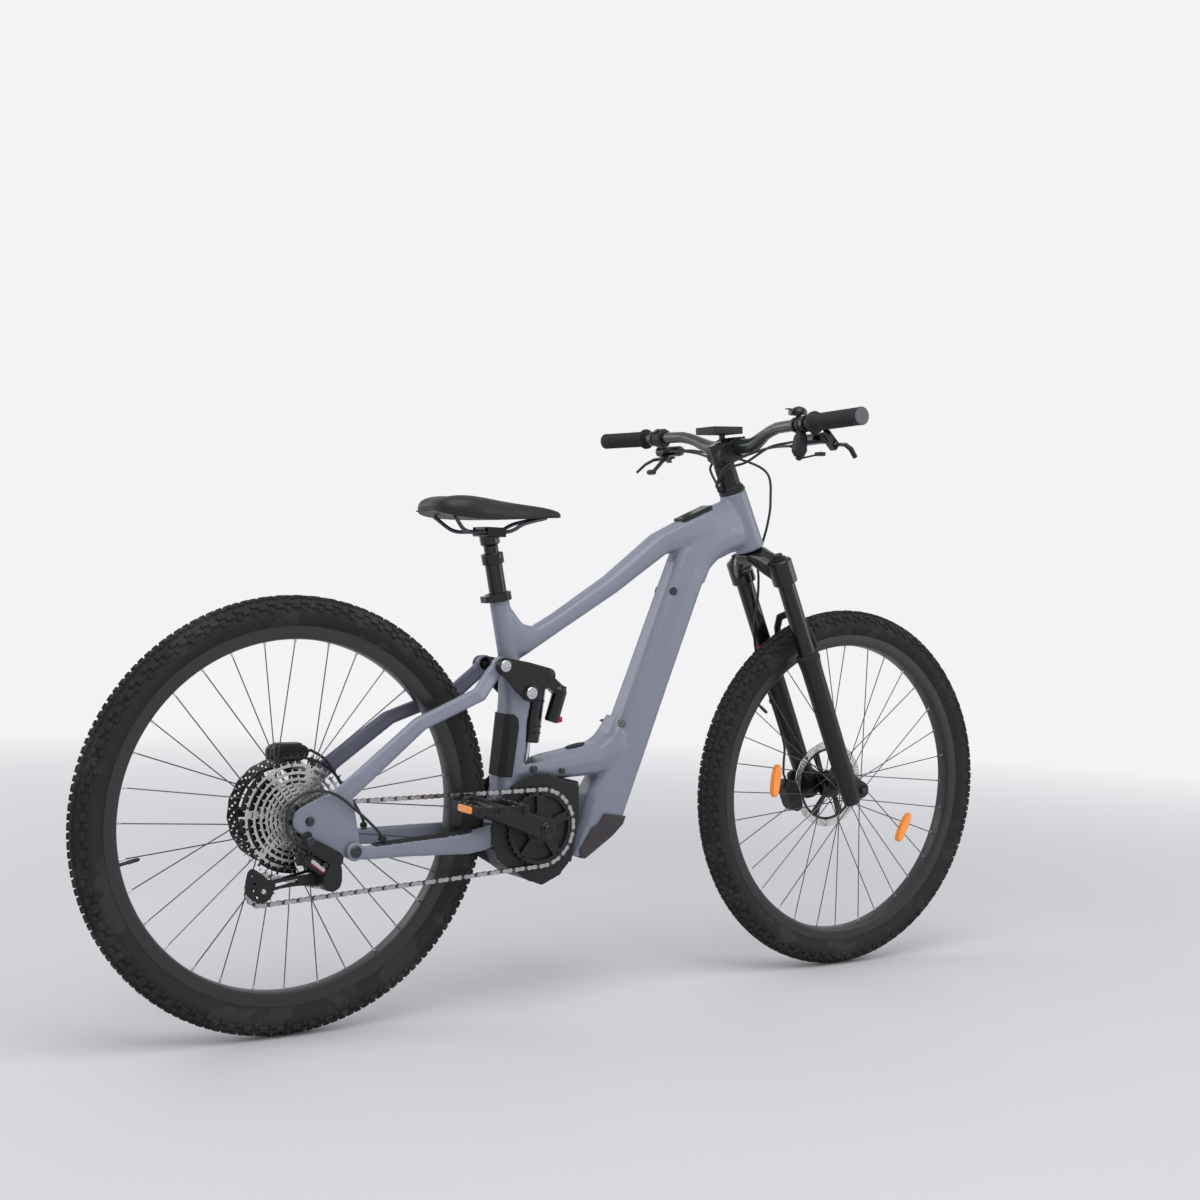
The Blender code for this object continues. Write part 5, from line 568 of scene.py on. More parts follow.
def swept(work, path, radius, sides=16):
    """Adds a tube along a path, with flat ends. The radius may change from point to point."""
    path = [Vector(point) for point in path]
    radii = radius if isinstance(radius, (list, tuple)) else [radius] * len(path)
    side = None
    rings = []
    for i, point in enumerate(path):
        heading = (path[min(i + 1, len(path) - 1)] - path[max(i - 1, 0)]).normalized()
        side = across(heading)[0] if side is None else (side - side.dot(heading) * heading).normalized()
        other = heading.cross(side)
        turns = (2 * math.pi * k / sides for k in range(sides))
        rings.append([work.verts.new(point + radii[i] * (math.cos(a) * side + math.sin(a) * other))
                      for a in turns])
    skinned(work, rings)
    work.faces.new(rings[0])
    work.faces.new(rings[-1])


# %% Cut a flat part with holes out of sheet
def plate_from(name, outlines, thickness, place, bevel=0.0002):
    """A filled flat curve, its first outline outermost, given a thickness and set in place."""
    curve = bpy.data.curves.new(name, "CURVE")
    curve.dimensions, curve.fill_mode = "2D", "BOTH"
    curve.extrude, curve.bevel_depth, curve.bevel_resolution = thickness / 2 - bevel, bevel, 1
    curve.offset = -bevel
    for outline in outlines:
        spline = curve.splines.new("POLY")
        spline.points.add(len(outline) - 1)
        spline.points.foreach_set("co", [value for x, y in outline for value in (x, y, 0.0, 1.0)])
        spline.use_cyclic_u = True
    piece = new_object(name, curve)
    piece.matrix_world = place
    return baked(piece)


def polar(radius, angle, at=(0.0, 0.0)):
    """The flat point at a radius and an angle from another."""
    return at[0] + radius * math.cos(angle), at[1] + radius * math.sin(angle)


def around(radius, angle, y=0.0):
    """A place on a circle round a sideways axis."""
    return Vector((radius * math.cos(angle), y, radius * math.sin(angle)))


def upright(centre, y):
    """Turns a flat outline's x and y into the side view's X and Z, at a sideways place."""
    return Matrix.Translation((centre[0], y, centre[2])) @ Matrix.Rotation(math.radians(90), 4, "X")


def circle(radius, sides=64, at=(0.0, 0.0)):
    return [polar(radius, 2 * math.pi * i / sides, at) for i in range(sides)]


CHAIN_PITCH = 0.0127


def pitch_radius(teeth):
    """How far from a chain wheel's axis the rollers lie."""
    return CHAIN_PITCH / (2 * math.sin(math.pi / teeth))


def toothed(teeth, tip=0.0016):
    """The outline of a chain wheel: five points for each tooth, with a hollow for each roller."""
    outline = []
    for i in range(teeth):
        for share, out in ((-0.36, -0.0034), (-0.14, -0.0040), (0.14, -0.0040), (0.36, -0.0034), (0.5, tip)):
            outline.append(polar(pitch_radius(teeth) + out, 2 * math.pi * (i + share) / teeth))
    return outline


def joined(name, pieces):
    """Several plain mesh pieces as one."""
    work = bmesh.new()
    for piece in pieces:
        work.from_mesh(piece.data)
        bpy.data.objects.remove(piece)
    return closed(name, work)


print("shapes: cast, turned, swept, cut")

# %% [markdown]
# ## Repeating a shape
#
# Knobs, spokes, pins and bolts are each modelled once. A Geometry Nodes tree then sets copies of the
# first one round an axis, or stands them on points that carry a heading and a size. The tree ends by
# making the copies real, because an exported model keeps no instances.

# %% Start a tree with named inputs
SOCKETS = {"whole": "NodeSocketInt", "number": "NodeSocketFloat", "vector": "NodeSocketVector",
           "finish": "NodeSocketMaterial", "shape": "NodeSocketObject", "geometry": "NodeSocketGeometry"}


def shape_tree(name, **inputs):
    """A new tree with a Geometry input and the named ones, and its Group Input as a Value each."""
    tree = bpy.data.node_groups.new(name, "GeometryNodeTree")
    tree.interface.new_socket("Geometry", in_out="INPUT", socket_type=SOCKETS["geometry"])
    for label, kind in inputs.items():
        tree.interface.new_socket(label, in_out="INPUT", socket_type=SOCKETS[kind])
    tree.interface.new_socket("Geometry", in_out="OUTPUT", socket_type=SOCKETS["geometry"])
    nodes = Nodes(tree)
    start = tree.nodes.new("NodeGroupInput")
    return nodes, {socket.name: Value(nodes, socket) for socket in start.outputs if socket.name}


def close_tree(nodes, instances, given):
    """Makes the copies real, paints them and ends the tree."""
    real = nodes.add("GeometryNodeRealizeInstances", {}, {0: instances})
    painted = nodes.add("GeometryNodeSetMaterial", {}, {"Geometry": real, "Material": given["finish"]})
    nodes.plug(nodes.tree.nodes.new("NodeGroupOutput").inputs[0], painted)


def grown(piece, nodes, **inputs):
    """Runs a tree on a piece and keeps the result as a plain mesh."""
    modifier = piece.modifiers.new("repeat", "NODES")
    modifier.node_group = nodes.tree
    known = {item.name: item.identifier
             for item in nodes.tree.interface.items_tree if item.in_out == "INPUT"}
    for label, value in inputs.items():
        modifier[known[label]] = value
    return baked(piece)


# %% The tree that repeats a shape round an axle
round_axle, given = shape_tree("round_an_axle", copies="whole", centre="vector", axis="vector",
                               finish="finish")
points = round_axle.add("GeometryNodeMeshLine", {"mode": "OFFSET"},
                        {"Count": given["copies"], "Start Location": given["centre"], "Offset": (0, 0, 0)})
step = round_axle.add("GeometryNodeInputIndex", {}, {}) * (2 * math.pi) / given["copies"]
heading = round_axle.add("FunctionNodeAxisAngleToRotation", {}, {"Axis": given["axis"], "Angle": step})
copies = round_axle.add("GeometryNodeInstanceOnPoints", {},
                        {"Points": points, "Instance": given["Geometry"], "Rotation": heading})
close_tree(round_axle, copies, given)
print("tree:", round_axle.tree.name)

# %% The tree that stands a shape on points
on_points, given = shape_tree("on_points", shape="shape", finish="finish")
model = on_points.add("GeometryNodeObjectInfo", {}, {"Object": given["shape"]}, "Geometry")
way = on_points.add("GeometryNodeInputNamedAttribute", {"data_type": "FLOAT_VECTOR"}, {"Name": "way"})
size = on_points.add("GeometryNodeInputNamedAttribute", {"data_type": "FLOAT"}, {"Name": "size"})
heading = on_points.add("FunctionNodeAlignRotationToVector", {"axis": "Z"}, {"Vector": way})
copies = on_points.add("GeometryNodeInstanceOnPoints", {},
                       {"Points": given["Geometry"], "Instance": model, "Rotation": heading, "Scale": size})
close_tree(on_points, copies, given)


def scattered(name, shape, spots, finish):
    """Copies of a shape, each spot being a place, the way it faces and its size."""
    mesh = bpy.data.meshes.new(name)
    mesh.from_pydata([tuple(place) for place, _, _ in spots], [], [])
    for label, kind in (("way", "FLOAT_VECTOR"), ("size", "FLOAT")):
        mesh.attributes.new(label, kind, "POINT")
    ways, sizes = mesh.attributes["way"], mesh.attributes["size"]
    for i, (_, facing, size) in enumerate(spots):
        ways.data[i].vector, sizes.data[i].value = facing, size
    piece = grown(new_object(name, mesh), on_points, shape=shape, finish=finish.material)
    print(name, len(spots), "copies")
    return piece


# %% [markdown]
# The screws all have a socket head: a short cylinder with eased edges and a six-sided hole. It is
# modelled with a head 10 mm across, and each spot gives the size that it is scaled by.

# %% Model one socket-head screw
SCREW_SIDES = 24
SCREW_PROFILE = [(-0.004, 0.0050), (0.0016, 0.0050), (0.0021, 0.0045), (0.0021, 0.0030)]
SOCKET_RADIUS, SOCKET_TOP, SOCKET_DEPTH = 0.0027, 0.0016, 0.0030


def screw_head(work):
    """A turned head, whose open top is carried down into the socket."""
    turned(work, (0, 0, 0), (0, 0, 1), SCREW_PROFILE, SCREW_SIDES)
    work.faces.ensure_lookup_table()
    caps = [face for face in work.faces if len(face.verts) == SCREW_SIDES]
    bmesh.ops.delete(work, geom=caps, context="FACES_ONLY")
    rim = [vert for vert in work.verts if vert.co.z > 0.002 and vert.co.xy.length < 0.0031]
    rim.sort(key=lambda vert: math.atan2(vert.co.y, vert.co.x))
    hexagon = []
    for i in range(len(rim)):
        angle = 2 * math.pi * ((i + 2) // 4) / 6
        hexagon.append(work.verts.new((*polar(SOCKET_RADIUS, angle), SOCKET_TOP)))
    floor_ring = [work.verts.new(vert.co - Vector((0, 0, SOCKET_DEPTH))) for vert in hexagon]
    skinned(work, [rim, hexagon, floor_ring])
    work.faces.new(floor_ring)


screw = made("screw_model", screw_head)
soften(screw.data, 35)
screw.hide_render = True
SIDE = Vector((0, 1, 0))


def screwed_on(name, spots, finish, body, slot, angle=32):
    """Screws on their spots, which ride on a body."""
    wear(scattered(name, screw, spots, finish), finish, body, slot, angle=angle)


print("screw", len(screw.data.polygons), "faces")

# %% [markdown]
# ## The tyres
#
# A tyre's casing is a turned shape that tucks under the rim's edge. The tread is a pattern of blocks,
# a pair along the middle and a pair on each shoulder, and it comes round again every 30 mm. One such
# stretch is modelled here and the tree sets it round the wheel 76 times.

# %% Turn the casing
PITCHES = 76
TREAD_RADIUS = AXLES["rear"].z
KNOB_HEIGHT = 0.0042
CROWN_CENTRE = 0.3365
CROWN_RISE = TREAD_RADIUS - KNOB_HEIGHT - CROWN_CENTRE
HALF_CASING = 0.0272
BEAD = [(0.0180, 0.3175), (0.0150, 0.3125), (0.0120, 0.3108)]


def casing_point(angle):
    """Sideways place and radius of the casing, at an angle from its crown."""
    return HALF_CASING * math.sin(angle), CROWN_CENTRE + CROWN_RISE * math.cos(angle)


def casing(work, centre):
    crown = [casing_point(math.radians(angle)) for angle in range(-112, 113, 8)]
    wall = [(-y, radius) for y, radius in reversed(BEAD)] + crown + BEAD
    turned(work, centre, SIDE, wall + [wall[0]], 144)


# %% Model one stretch of tread
# Each block: its share of the pitch, its place sideways, its length and its width.
BLOCKS = [(0.0, 0.0062, 0.0125, 0.0098), (0.5, 0.0084, 0.0105, 0.0088), (0.0, 0.0200, 0.0110, 0.0072),
          (0.5, 0.0236, 0.0150, 0.0088), (0.0, 0.0262, 0.0085, 0.0070)]


def tread(work):
    pitch = 2 * math.pi / PITCHES
    for share, sideways, length, width in BLOCKS:
        for hand in (-1, 1):
            lean = math.asin(min(0.97, sideways / HALF_CASING)) * hand
            y, radius = casing_point(lean)
            out = Vector((math.cos(lean), math.sin(lean), 0.0))
            over = Vector((-math.sin(lean), math.cos(lean), 0.0))
            place = Vector((radius, y, 0.0))
            spin = Matrix.Rotation(-(share + 0.06 * hand) * pitch, 3, "Y")
            height = KNOB_HEIGHT * (1.0 if sideways < 0.01 else 0.82)
            rings = []
            for rise, shrink in ((-0.0015, 1.0), (height * 0.84, 0.90), (height, 0.78)):
                ring = []
                for a, b in ((-1, -1), (1, -1), (1, 1), (-1, 1)):
                    corner = place + rise * out + 0.5 * width * shrink * b * over
                    ring.append(work.verts.new(spin @ (corner + Vector((0, 0, 0.5 * length * shrink * a)))))
                rings.append(ring)
            skinned(work, rings)
            work.faces.new(rings[-1])
            work.faces.new(rings[0])


for which, axle in AXLES.items():
    stretch = made(which + "_tread", tread)
    stretch = grown(stretch, round_axle, copies=PITCHES, centre=tuple(axle), axis=(0.0, 1.0, 0.0),
                    finish=rubber[which].material)
    whole = joined(which + "_tyre_full", [made("casing", casing, centre=axle), stretch])
    wear(whole, rubber[which], which + "_wheel", "tyre_rubber", which + "_tyre", angle=40)
    print(which, "tyre", len(whole.data.polygons), "faces")

# %% [markdown]
# ## Rims and spokes
#
# The rim is a welded hollow section, deeper in the middle. Thirty-two spokes run from it to the two
# flanges of the hub: every second one pulls the wheel forwards and the others backwards, so they
# cross. Four neighbours make one group, which the tree sets round eight times with their nipples.

# %% Turn the rims and add the valves
RIM_SECTION = [(0.0105, 0.2925), (0.0150, 0.2942), (0.0172, 0.2990), (0.0175, 0.3045), (0.0175, 0.3152),
               (0.0166, 0.3160), (0.0158, 0.3152), (0.0155, 0.3090)]
VALVES = {"front": 143.0, "rear": 193.0}
VALVE_SEAT = 0.2955
VALVE_STEM = [(0, 0.0042), (0.002, 0.0042), (0.0025, 0.0028), (0.018, 0.0028), (0.0185, 0.0034),
              (0.035, 0.0032), (0.038, 0.0014)]
for which, axle in AXLES.items():
    finish = surface(which + "_rim_black", (0.020, 0.020, 0.022), 0.34, drift_scale=30.0, grain=0.08)
    section = RIM_SECTION + [(-y, radius) for y, radius in reversed(RIM_SECTION)]
    ring = made("ring", turned, axle, SIDE, section + [section[0]], 160)
    outwards = around(1.0, math.radians(VALVES[which]))
    valve = made("valve", turned, axle + VALVE_SEAT * outwards, -outwards, VALVE_STEM, 20)
    whole = joined(which + "_rim_full", [ring, valve])
    wear(whole, finish, which + "_wheel", "satin_black", which + "_rim", angle=30)
print("rims and valves")


# %% Model four spokes and set them round
FLANGES = {"front": (0.0260, -0.0320), "rear": (0.0340, -0.0095)}
GROUPS, CROSSING = 8, math.radians(64)
FLANGE_HOLES, SPOKE_SEAT, SPOKE_RADIUS = 0.0235, 0.2940, 0.00105
HEAD_OUT, HEAD_BEND, RIM_OUT = 0.0014, 0.0026, 0.0035
NIPPLE = [(0, 0.0022), (0.006, 0.0022), (0.0065, 0.0017), (0.0125, 0.0016)]


def spoke_group(work, flanges, nipples=False):
    """Four spokes, or their four nipples, between the hub's flanges and the rim."""
    step = 2 * math.pi / (4 * GROUPS)
    for i, (side, lean) in enumerate(((0, 1), (1, 1), (0, -1), (1, -1))):
        at = i * step
        hub_end = around(FLANGE_HOLES, at + lean * CROSSING, flanges[side] + lean * HEAD_OUT)
        rim_end = around(SPOKE_SEAT, at, math.copysign(RIM_OUT, flanges[side]))
        heading = (rim_end - hub_end).normalized()
        length = (rim_end - hub_end).length
        if nipples:
            turned(work, rim_end, -heading, NIPPLE, 10)
        else:
            bend = hub_end - Vector((0, lean * HEAD_BEND, 0))
            line = [bend, hub_end, hub_end + 0.004 * heading, hub_end + length * heading]
            swept(work, line, SPOKE_RADIUS, 7)


for which, axle in AXLES.items():
    for label, finish, nipples in (("spokes", spoke_steel, False), ("nipples", bolt_silver, True)):
        group = made("group", spoke_group, FLANGES[which], nipples=nipples)
        group = grown(group, round_axle, copies=GROUPS, centre=tuple(axle), axis=(0.0, 1.0, 0.0),
                      finish=finish.material)
        group.name = f"{which}_{label}"
        wear(group, finish, which + "_wheel", "dark_steel", angle=40)
print(4 * GROUPS, "spokes in each wheel")

# %% [markdown]
# ## Hubs and rotors
#
# A hub is turned from one bar: a slim middle, a flange at each end with a hole for every spoke, and a
# seat for the rotor. A rotor is a ring of steel cut from sheet, with rows of holes that clear water,
# carried by a spider. On this bike the front ring is bright and its spider black.

# %% Turn the hubs
HUBS = {"front": [(-0.0545, 0.0075), (-0.0545, 0.0155), (-0.0400, 0.0165), (-0.0375, 0.0200),
                  (-0.0345, 0.0262), (-0.0295, 0.0270), (-0.0265, 0.0150), (-0.010, 0.0112),
                  (0.008, 0.0112), (0.0215, 0.0150), (0.0238, 0.0270), (0.0285, 0.0265),
                  (0.0310, 0.0200), (0.0402, 0.0200), (0.0402, 0.0160), (0.0545, 0.0160),
                  (0.0545, 0.0075)],
        "rear": [(-0.0142, 0.0060), (-0.0142, 0.0170), (-0.0122, 0.0262), (-0.0072, 0.0270),
                 (-0.0035, 0.0175), (0.008, 0.0145), (0.020, 0.0145), (0.0285, 0.0170),
                 (0.0318, 0.0270), (0.0365, 0.0265), (0.0395, 0.0205), (0.0537, 0.0200),
                 (0.0537, 0.0160), (0.0610, 0.0158), (0.0615, 0.0095), (0.0737, 0.0095),
                 (0.0737, 0.0060)]}
for which, axle in AXLES.items():
    profile = eased(HUBS[which], 0.0008)
    hub = made(which + "_hub_full", turned, axle, SIDE, profile + [profile[0]], 56)
    wear(hub, gloss_black, which + "_wheel", "dark_steel", which + "_hub", angle=50)


# %% Cut the rotors
ROTORS = {"front": (0.0425, front_ring, gloss_black), "rear": (0.0560, rear_ring, satin_black)}
RIVETS, RIVET_REACH, RIVET_SIZE = 12, 0.0728, 0.55
LOCK_NUT = [(0.0014, 0.0162), (0.0014, 0.0225), (0.0060, 0.0215), (0.0066, 0.0205), (0.0066, 0.0162),
            (0.0014, 0.0162)]


def arc(radius, start, end, steps=8):
    """Flat points on a circle from one angle to another, in degrees."""
    return [polar(radius, math.radians(start + (end - start) * i / steps)) for i in range(steps + 1)]


def rotor_ring():
    """A wavy ring with three staggered rows of holes."""
    outer = [polar(0.0893 + 0.0007 * math.sin(18 * angle), angle)
             for angle in (2 * math.pi * i / 180 for i in range(180))]
    outlines = [outer, circle(0.0735, 96)]
    for row, (reach, radius) in enumerate(((0.0775, 0.0017), (0.0815, 0.0020), (0.0855, 0.0017))):
        for i in range(30):
            angle = 2 * math.pi * (i + 0.33 * row) / 30
            outlines.append(circle(radius, 8, polar(reach, angle)))
    return outlines


def rotor_spider(arms=6):
    """The carrier between hub and ring, with a window between every two arms."""
    outlines = [circle(0.0752, 96), circle(0.0163, 40)]
    for i in range(arms):
        start = 360 * i / arms
        end = start + 360 / arms
        outlines.append(arc(0.0700, start + 7, end - 7) + arc(0.0290, end - 2, start + 20))
    return outlines


for which, (y, ring_steel, spider_black) in ROTORS.items():
    ring = plate_from(which + "_rotor_ring", rotor_ring(), 0.0018, upright(AXLES[which], y))
    wear(ring, ring_steel, which + "_wheel", "bright_steel", which + "_rotor", angle=30)
    spider = plate_from(which + "_rotor_spider", rotor_spider(), 0.0026, upright(AXLES[which], y), 0.0004)
    rivets = [(AXLES[which] + around(RIVET_REACH, 2 * math.pi * i / RIVETS, y), (0, hand, 0), RIVET_SIZE)
              for i in range(RIVETS) for hand in (-1, 1)]
    rivets = scattered("rivets", screw, rivets, spider_black)
    nut = made("lock_nut", turned, AXLES[which] + y * SIDE, SIDE, LOCK_NUT, 48)
    whole = joined(which + "_rotor_carrier", [spider, rivets, nut])
    wear(whole, spider_black, which + "_wheel", "satin_black", angle=35)
print("rotors cut")

# %% [markdown]
# Two oval amber reflectors are clipped between the front spokes, so that the wheel shows from the side.

# %% Clip the two reflectors to the front spokes
REFLECTORS = (174.0, 331.0)
REFLECTOR_REACH = 0.190


def oval(half_length, half_width, steps=40, power=2.6):
    """A flat oval; the higher its power, the squarer its corners."""
    outline = []
    for i in range(steps):
        angle = 2 * math.pi * i / steps
        c, s = math.cos(angle), math.sin(angle)
        outline.append((half_length * math.copysign(abs(c) ** (2 / power), c),
                        half_width * math.copysign(abs(s) ** (2 / power), s)))
    return outline


def lens_place(angle, y):
    """Stands a flat lens across the spokes, at an angle round the front wheel."""
    turn = math.radians(angle)
    centre = AXLES["front"] + around(REFLECTOR_REACH, turn, y)
    return (Matrix.Translation(centre) @ Matrix.Rotation(-turn - math.pi / 2, 4, "Y")
            @ Matrix.Rotation(math.radians(90), 4, "X"))


lenses, backs = [], []
for angle in REFLECTORS:
    lenses += [plate_from("lens", [oval(0.0300, 0.0085)], 0.0022, lens_place(angle, y), 0.0008)
               for y in (-0.0188, -0.0102)]
    backs.append(plate_from("back", [oval(0.0330, 0.0110), oval(0.0060, 0.0022)], 0.0070,
                            lens_place(angle, -0.0145), 0.0010))
wear(joined("front_reflector_lenses", lenses), amber, "front_wheel", "moulded_plastic", angle=40)
# Painted glow: the reflector rims give off a faint light of their own.
clear_rim = surface("reflector_rim", (0.80, 0.24, 0.03), 0.3, emission_color=(0.8, 0.24, 0.03, 1),
                    emission_strength=0.1)
wear(joined("front_reflector_rims", backs), clear_rim, "front_wheel", "moulded_plastic", angle=40)
print(len(REFLECTORS), "reflectors")

# %% [markdown]
# ## Cogs and chainring
#
# Each cog is cut from sheet: its outline is read off the chain's pitch, with a hollow for every
# roller. The large ones are opened up between slanted arms to save weight, and the largest is black.

# %% Cut the cassette's cogs
CRANK = Vector(joints["crank_spin"]["pos_m"])
REAR = AXLES["rear"]
COG_TEETH = (51, 45, 39, 34, 30, 27, 24, 21, 18, 16, 14, 12)
COG_FIRST_Y, COG_STEP, COG_SHEET = -0.01595, 0.0039, 0.0017
COG_CORE = [(-0.0150, 0.0062), (-0.0150, 0.0176), (-0.0600, 0.0172), (-0.0612, 0.0140), (-0.0622, 0.0138),
            (-0.0622, 0.0095), (-0.0737, 0.0095), (-0.0737, 0.0062)]


def cog_outlines(teeth, arms):
    """The toothed edge, the bore, the windows between the arms and, in the large ones, small holes."""
    reach = pitch_radius(teeth)
    outlines = [toothed(teeth), circle(0.0172, 40)]
    inner, outer = 0.0240, reach - 0.0085
    if outer - inner > 0.006:
        for i in range(arms):
            start, end = 360 * i / arms, 360 * i / arms + 360 / arms
            outlines.append(arc(outer, start + 26, end + 17) + arc(inner, end - 8, start + 8))
    if teeth > 40:
        for i in range(teeth // 3):
            outlines.append(circle(0.0019, 8, polar(reach - 0.0062, 2 * math.pi * i / (teeth // 3))))
    return outlines


cogs = [plate_from("cog", cog_outlines(teeth, 7 if teeth > 33 else 5), COG_SHEET,
                   upright(REAR, COG_FIRST_Y - i * COG_STEP), 0.0003) for i, teeth in enumerate(COG_TEETH)]
wear(cogs[0], cog_black, "sprockets", "bright_steel", "cassette", angle=30)
cogs[0].name = "largest_cog"
core = made("core", turned, REAR, SIDE, eased(COG_CORE, 0.0005), 48)
silver_cogs = joined("silver_cogs", [*cogs[1:], core])
wear(silver_cogs, cog_silver, "sprockets", "bright_steel", angle=30)
print(len(COG_TEETH), "cogs", len(silver_cogs.data.polygons), "faces")

# %% Cut the chainring
RING_TEETH, RING_ARMS, RING_Y = 34, 5, -0.055
ring_outlines = [toothed(RING_TEETH, tip=0.0020), circle(0.0150, 40)]
for i in range(RING_ARMS):
    start = 360 / RING_ARMS * i + 20
    ring_outlines.append(arc(0.0585, start + 8, start + 64) + arc(0.0290, start + 58, start + 14))
    ring_outlines.append(circle(0.0022, 10, polar(0.0605, math.radians(start))))
chainring = plate_from("chainring_full", ring_outlines, 0.0036, upright(CRANK, RING_Y), 0.0006)
wear(chainring, satin_black, "crank", "satin_black", "chainring", angle=30)
print("chainring", len(chainring.data.polygons), "faces")

# %% [markdown]
# ## The chain
#
# A chain is two kinds of link in turn: outer plates on pins, and inner plates on rollers. Both are
# laid along the loop that runs over the chainring, the smallest cog and the derailleur's two wheels.
# A second tree samples that loop at even steps and turns each copy to the loop's heading.

# %% Lay out the loop
WHEEL_TEETH = 12
COG_Y = COG_FIRST_Y - (len(COG_TEETH) - 1) * COG_STEP
CAGE_PIVOT = Vector(joints["cage_swing"]["pos_m"])
GUIDE_WHEEL = CAGE_PIVOT + Vector((-0.002, 0.022, 0.010))
TENSION_WHEEL = REAR + Vector((-0.070, -0.058, -0.111))


def loop_round(wheels, arc_step=0.06):
    """Points round a loop of wheels (centre, radius, way of turning), and each wheel's start and end."""
    headings = []
    for i, (centre, radius, sense) in enumerate(wheels):
        after, radius_after, sense_after = wheels[(i + 1) % len(wheels)]
        flat = Vector((after.x - centre.x, after.z - centre.z))
        lean = math.asin((sense * radius - sense_after * radius_after) / flat.length)
        headings.append(math.atan2(flat.y, flat.x) + lean)
    points, ends = [], []
    for i, (centre, radius, sense) in enumerate(wheels):
        ends.append(len(points))
        start = headings[i - 1]
        sweep = sense * ((sense * (headings[i] - start)) % (2 * math.pi))
        steps = max(2, math.ceil(abs(sweep) / arc_step))
        for k in range(steps + 1):
            heading = start + sweep * k / steps
            points.append(centre + sense * radius * Vector((math.sin(heading), 0.0, -math.cos(heading))))
        ends.append(len(points) - 1)
    return points, ends


loop, ends = loop_round([(CRANK + RING_Y * SIDE, pitch_radius(RING_TEETH), 1),
                         (REAR + COG_Y * SIDE, pitch_radius(COG_TEETH[-1]), 1),
                         (GUIDE_WHEEL, pitch_radius(WHEEL_TEETH), -1),
                         (TENSION_WHEEL, pitch_radius(WHEEL_TEETH), 1)])
steps = [(b - a).length for a, b in zip(loop, loop[1:] + loop[:1])]
length = sum(steps)
marks = [sum(steps[:i]) / length for i in ends]
PAIRS = round(length / (2 * CHAIN_PITCH))
path = bpy.data.curves.new("chain_loop", "CURVE")
path.dimensions = "3D"
spline = path.splines.new("POLY")
spline.points.add(len(loop) - 1)
spline.points.foreach_set("co", [value for point in loop for value in (*point, 1.0)])
spline.use_cyclic_u = True
chain_loop = new_object("chain_loop", path)
print("loop", round(1000 * length), "mm,", 2 * PAIRS, "links")

# %% The tree that lays links along a loop
along_loop, given = shape_tree("along_a_loop", loop="shape", copies="whole", shift="number", finish="finish")
line = along_loop.add("GeometryNodeMeshLine", {"mode": "OFFSET"},
                      {"Count": given["copies"], "Offset": (0, 0, 0)})
track = along_loop.add("GeometryNodeObjectInfo", {}, {"Object": given["loop"]}, "Geometry")
share = (along_loop.add("GeometryNodeInputIndex", {}, {}) + given["shift"]) / given["copies"]
place = along_loop.add("GeometryNodeSampleCurve", {"use_all_curves": True},
                       {"Curves": track, "Factor": share}, "Position")
tangent = Value(along_loop, place.socket.node.outputs["Tangent"])
moved = along_loop.add("GeometryNodeSetPosition", {}, {"Geometry": line, "Position": place})
turned_to = along_loop.add("FunctionNodeAlignRotationToVector", {"axis": "X", "pivot_axis": "Y"},
                           {"Vector": tangent})
copies = along_loop.add("GeometryNodeInstanceOnPoints", {},
                        {"Points": moved, "Instance": given["Geometry"], "Rotation": turned_to})
close_tree(along_loop, copies, given)


# %% Model the two links
def link_plate(work, y, thickness, reach, waist):
    """A plate with round ends and a waist, standing in the chain's own plane."""
    outline = []
    for end in (1, -1):
        for k in range(-3, 4):
            angle = math.radians(30 * k)
            outline.append((end * (CHAIN_PITCH / 2 + reach * math.cos(angle)),
                            end * reach * math.sin(angle)))
        outline.append((0.0, end * waist))
    faces = []
    for offset in (-thickness / 2, thickness / 2):
        faces.append([work.verts.new((x, y + offset, z)) for x, z in outline])
        work.faces.new(faces[-1])
    for i in range(len(outline)):
        j = (i + 1) % len(outline)
        work.faces.new((faces[0][i], faces[0][j], faces[1][j], faces[1][i]))


def outer_link(work):
    for hand in (-1, 1):
        link_plate(work, hand * 0.0024, 0.0009, 0.0040, 0.0027)
        for end in (-1, 1):
            turned(work, (end * CHAIN_PITCH / 2, hand * 0.0028, 0), (0, hand, 0),
                   [(0, 0.0019), (0.0004, 0.0016)], 10)


def inner_link(work):
    for hand in (-1, 1):
        link_plate(work, hand * 0.0014, 0.0008, 0.0041, 0.0029)
    for end in (-1, 1):
        turned(work, (end * CHAIN_PITCH / 2, -0.0010, 0), (0, 1, 0), [(0, 0.0037), (0.0020, 0.0037)], 12)


# %% [markdown]
# The loop is laid once and then shared out: the part on the chainring stays with the frame, that on the
# cog goes with the axle, and the stretches between two wheels are left fixed where they are laid.

# %% Lay the links and share them out
FRONT, SWING, HOLDER, CAGE = "frame", "chainstay_group", "seatstay_group", "derailleur_cage_group"
pairs = (marks[i:i + 2] for i in range(0, 8, 2))
(_, ring_end), (cog_start, cog_end), (guide_start, _), (_, cage_end) = pairs
upper = (ring_end + cog_start) / 2
lower = [cage_end + (1 - cage_end) * share for share in (1 / 3, 2 / 3)]
STRETCHES = [(0, ring_end, FRONT, FRONT), (ring_end, upper, FRONT, SWING), (upper, cog_start, SWING, HOLDER),
             (cog_start, cog_end, HOLDER, HOLDER), (cog_end, guide_start, HOLDER, CAGE),
             (guide_start, cage_end, CAGE, CAGE), (cage_end, lower[0], CAGE, HOLDER),
             (lower[0], lower[1], HOLDER, SWING), (lower[1], 1, SWING, FRONT)]


def point_at(share):
    reached = share * length
    for point, after, step in zip(loop, loop[1:] + loop[:1], steps):
        if reached <= step:
            return point.lerp(after, reached / step)
        reached -= step
    return loop[0]


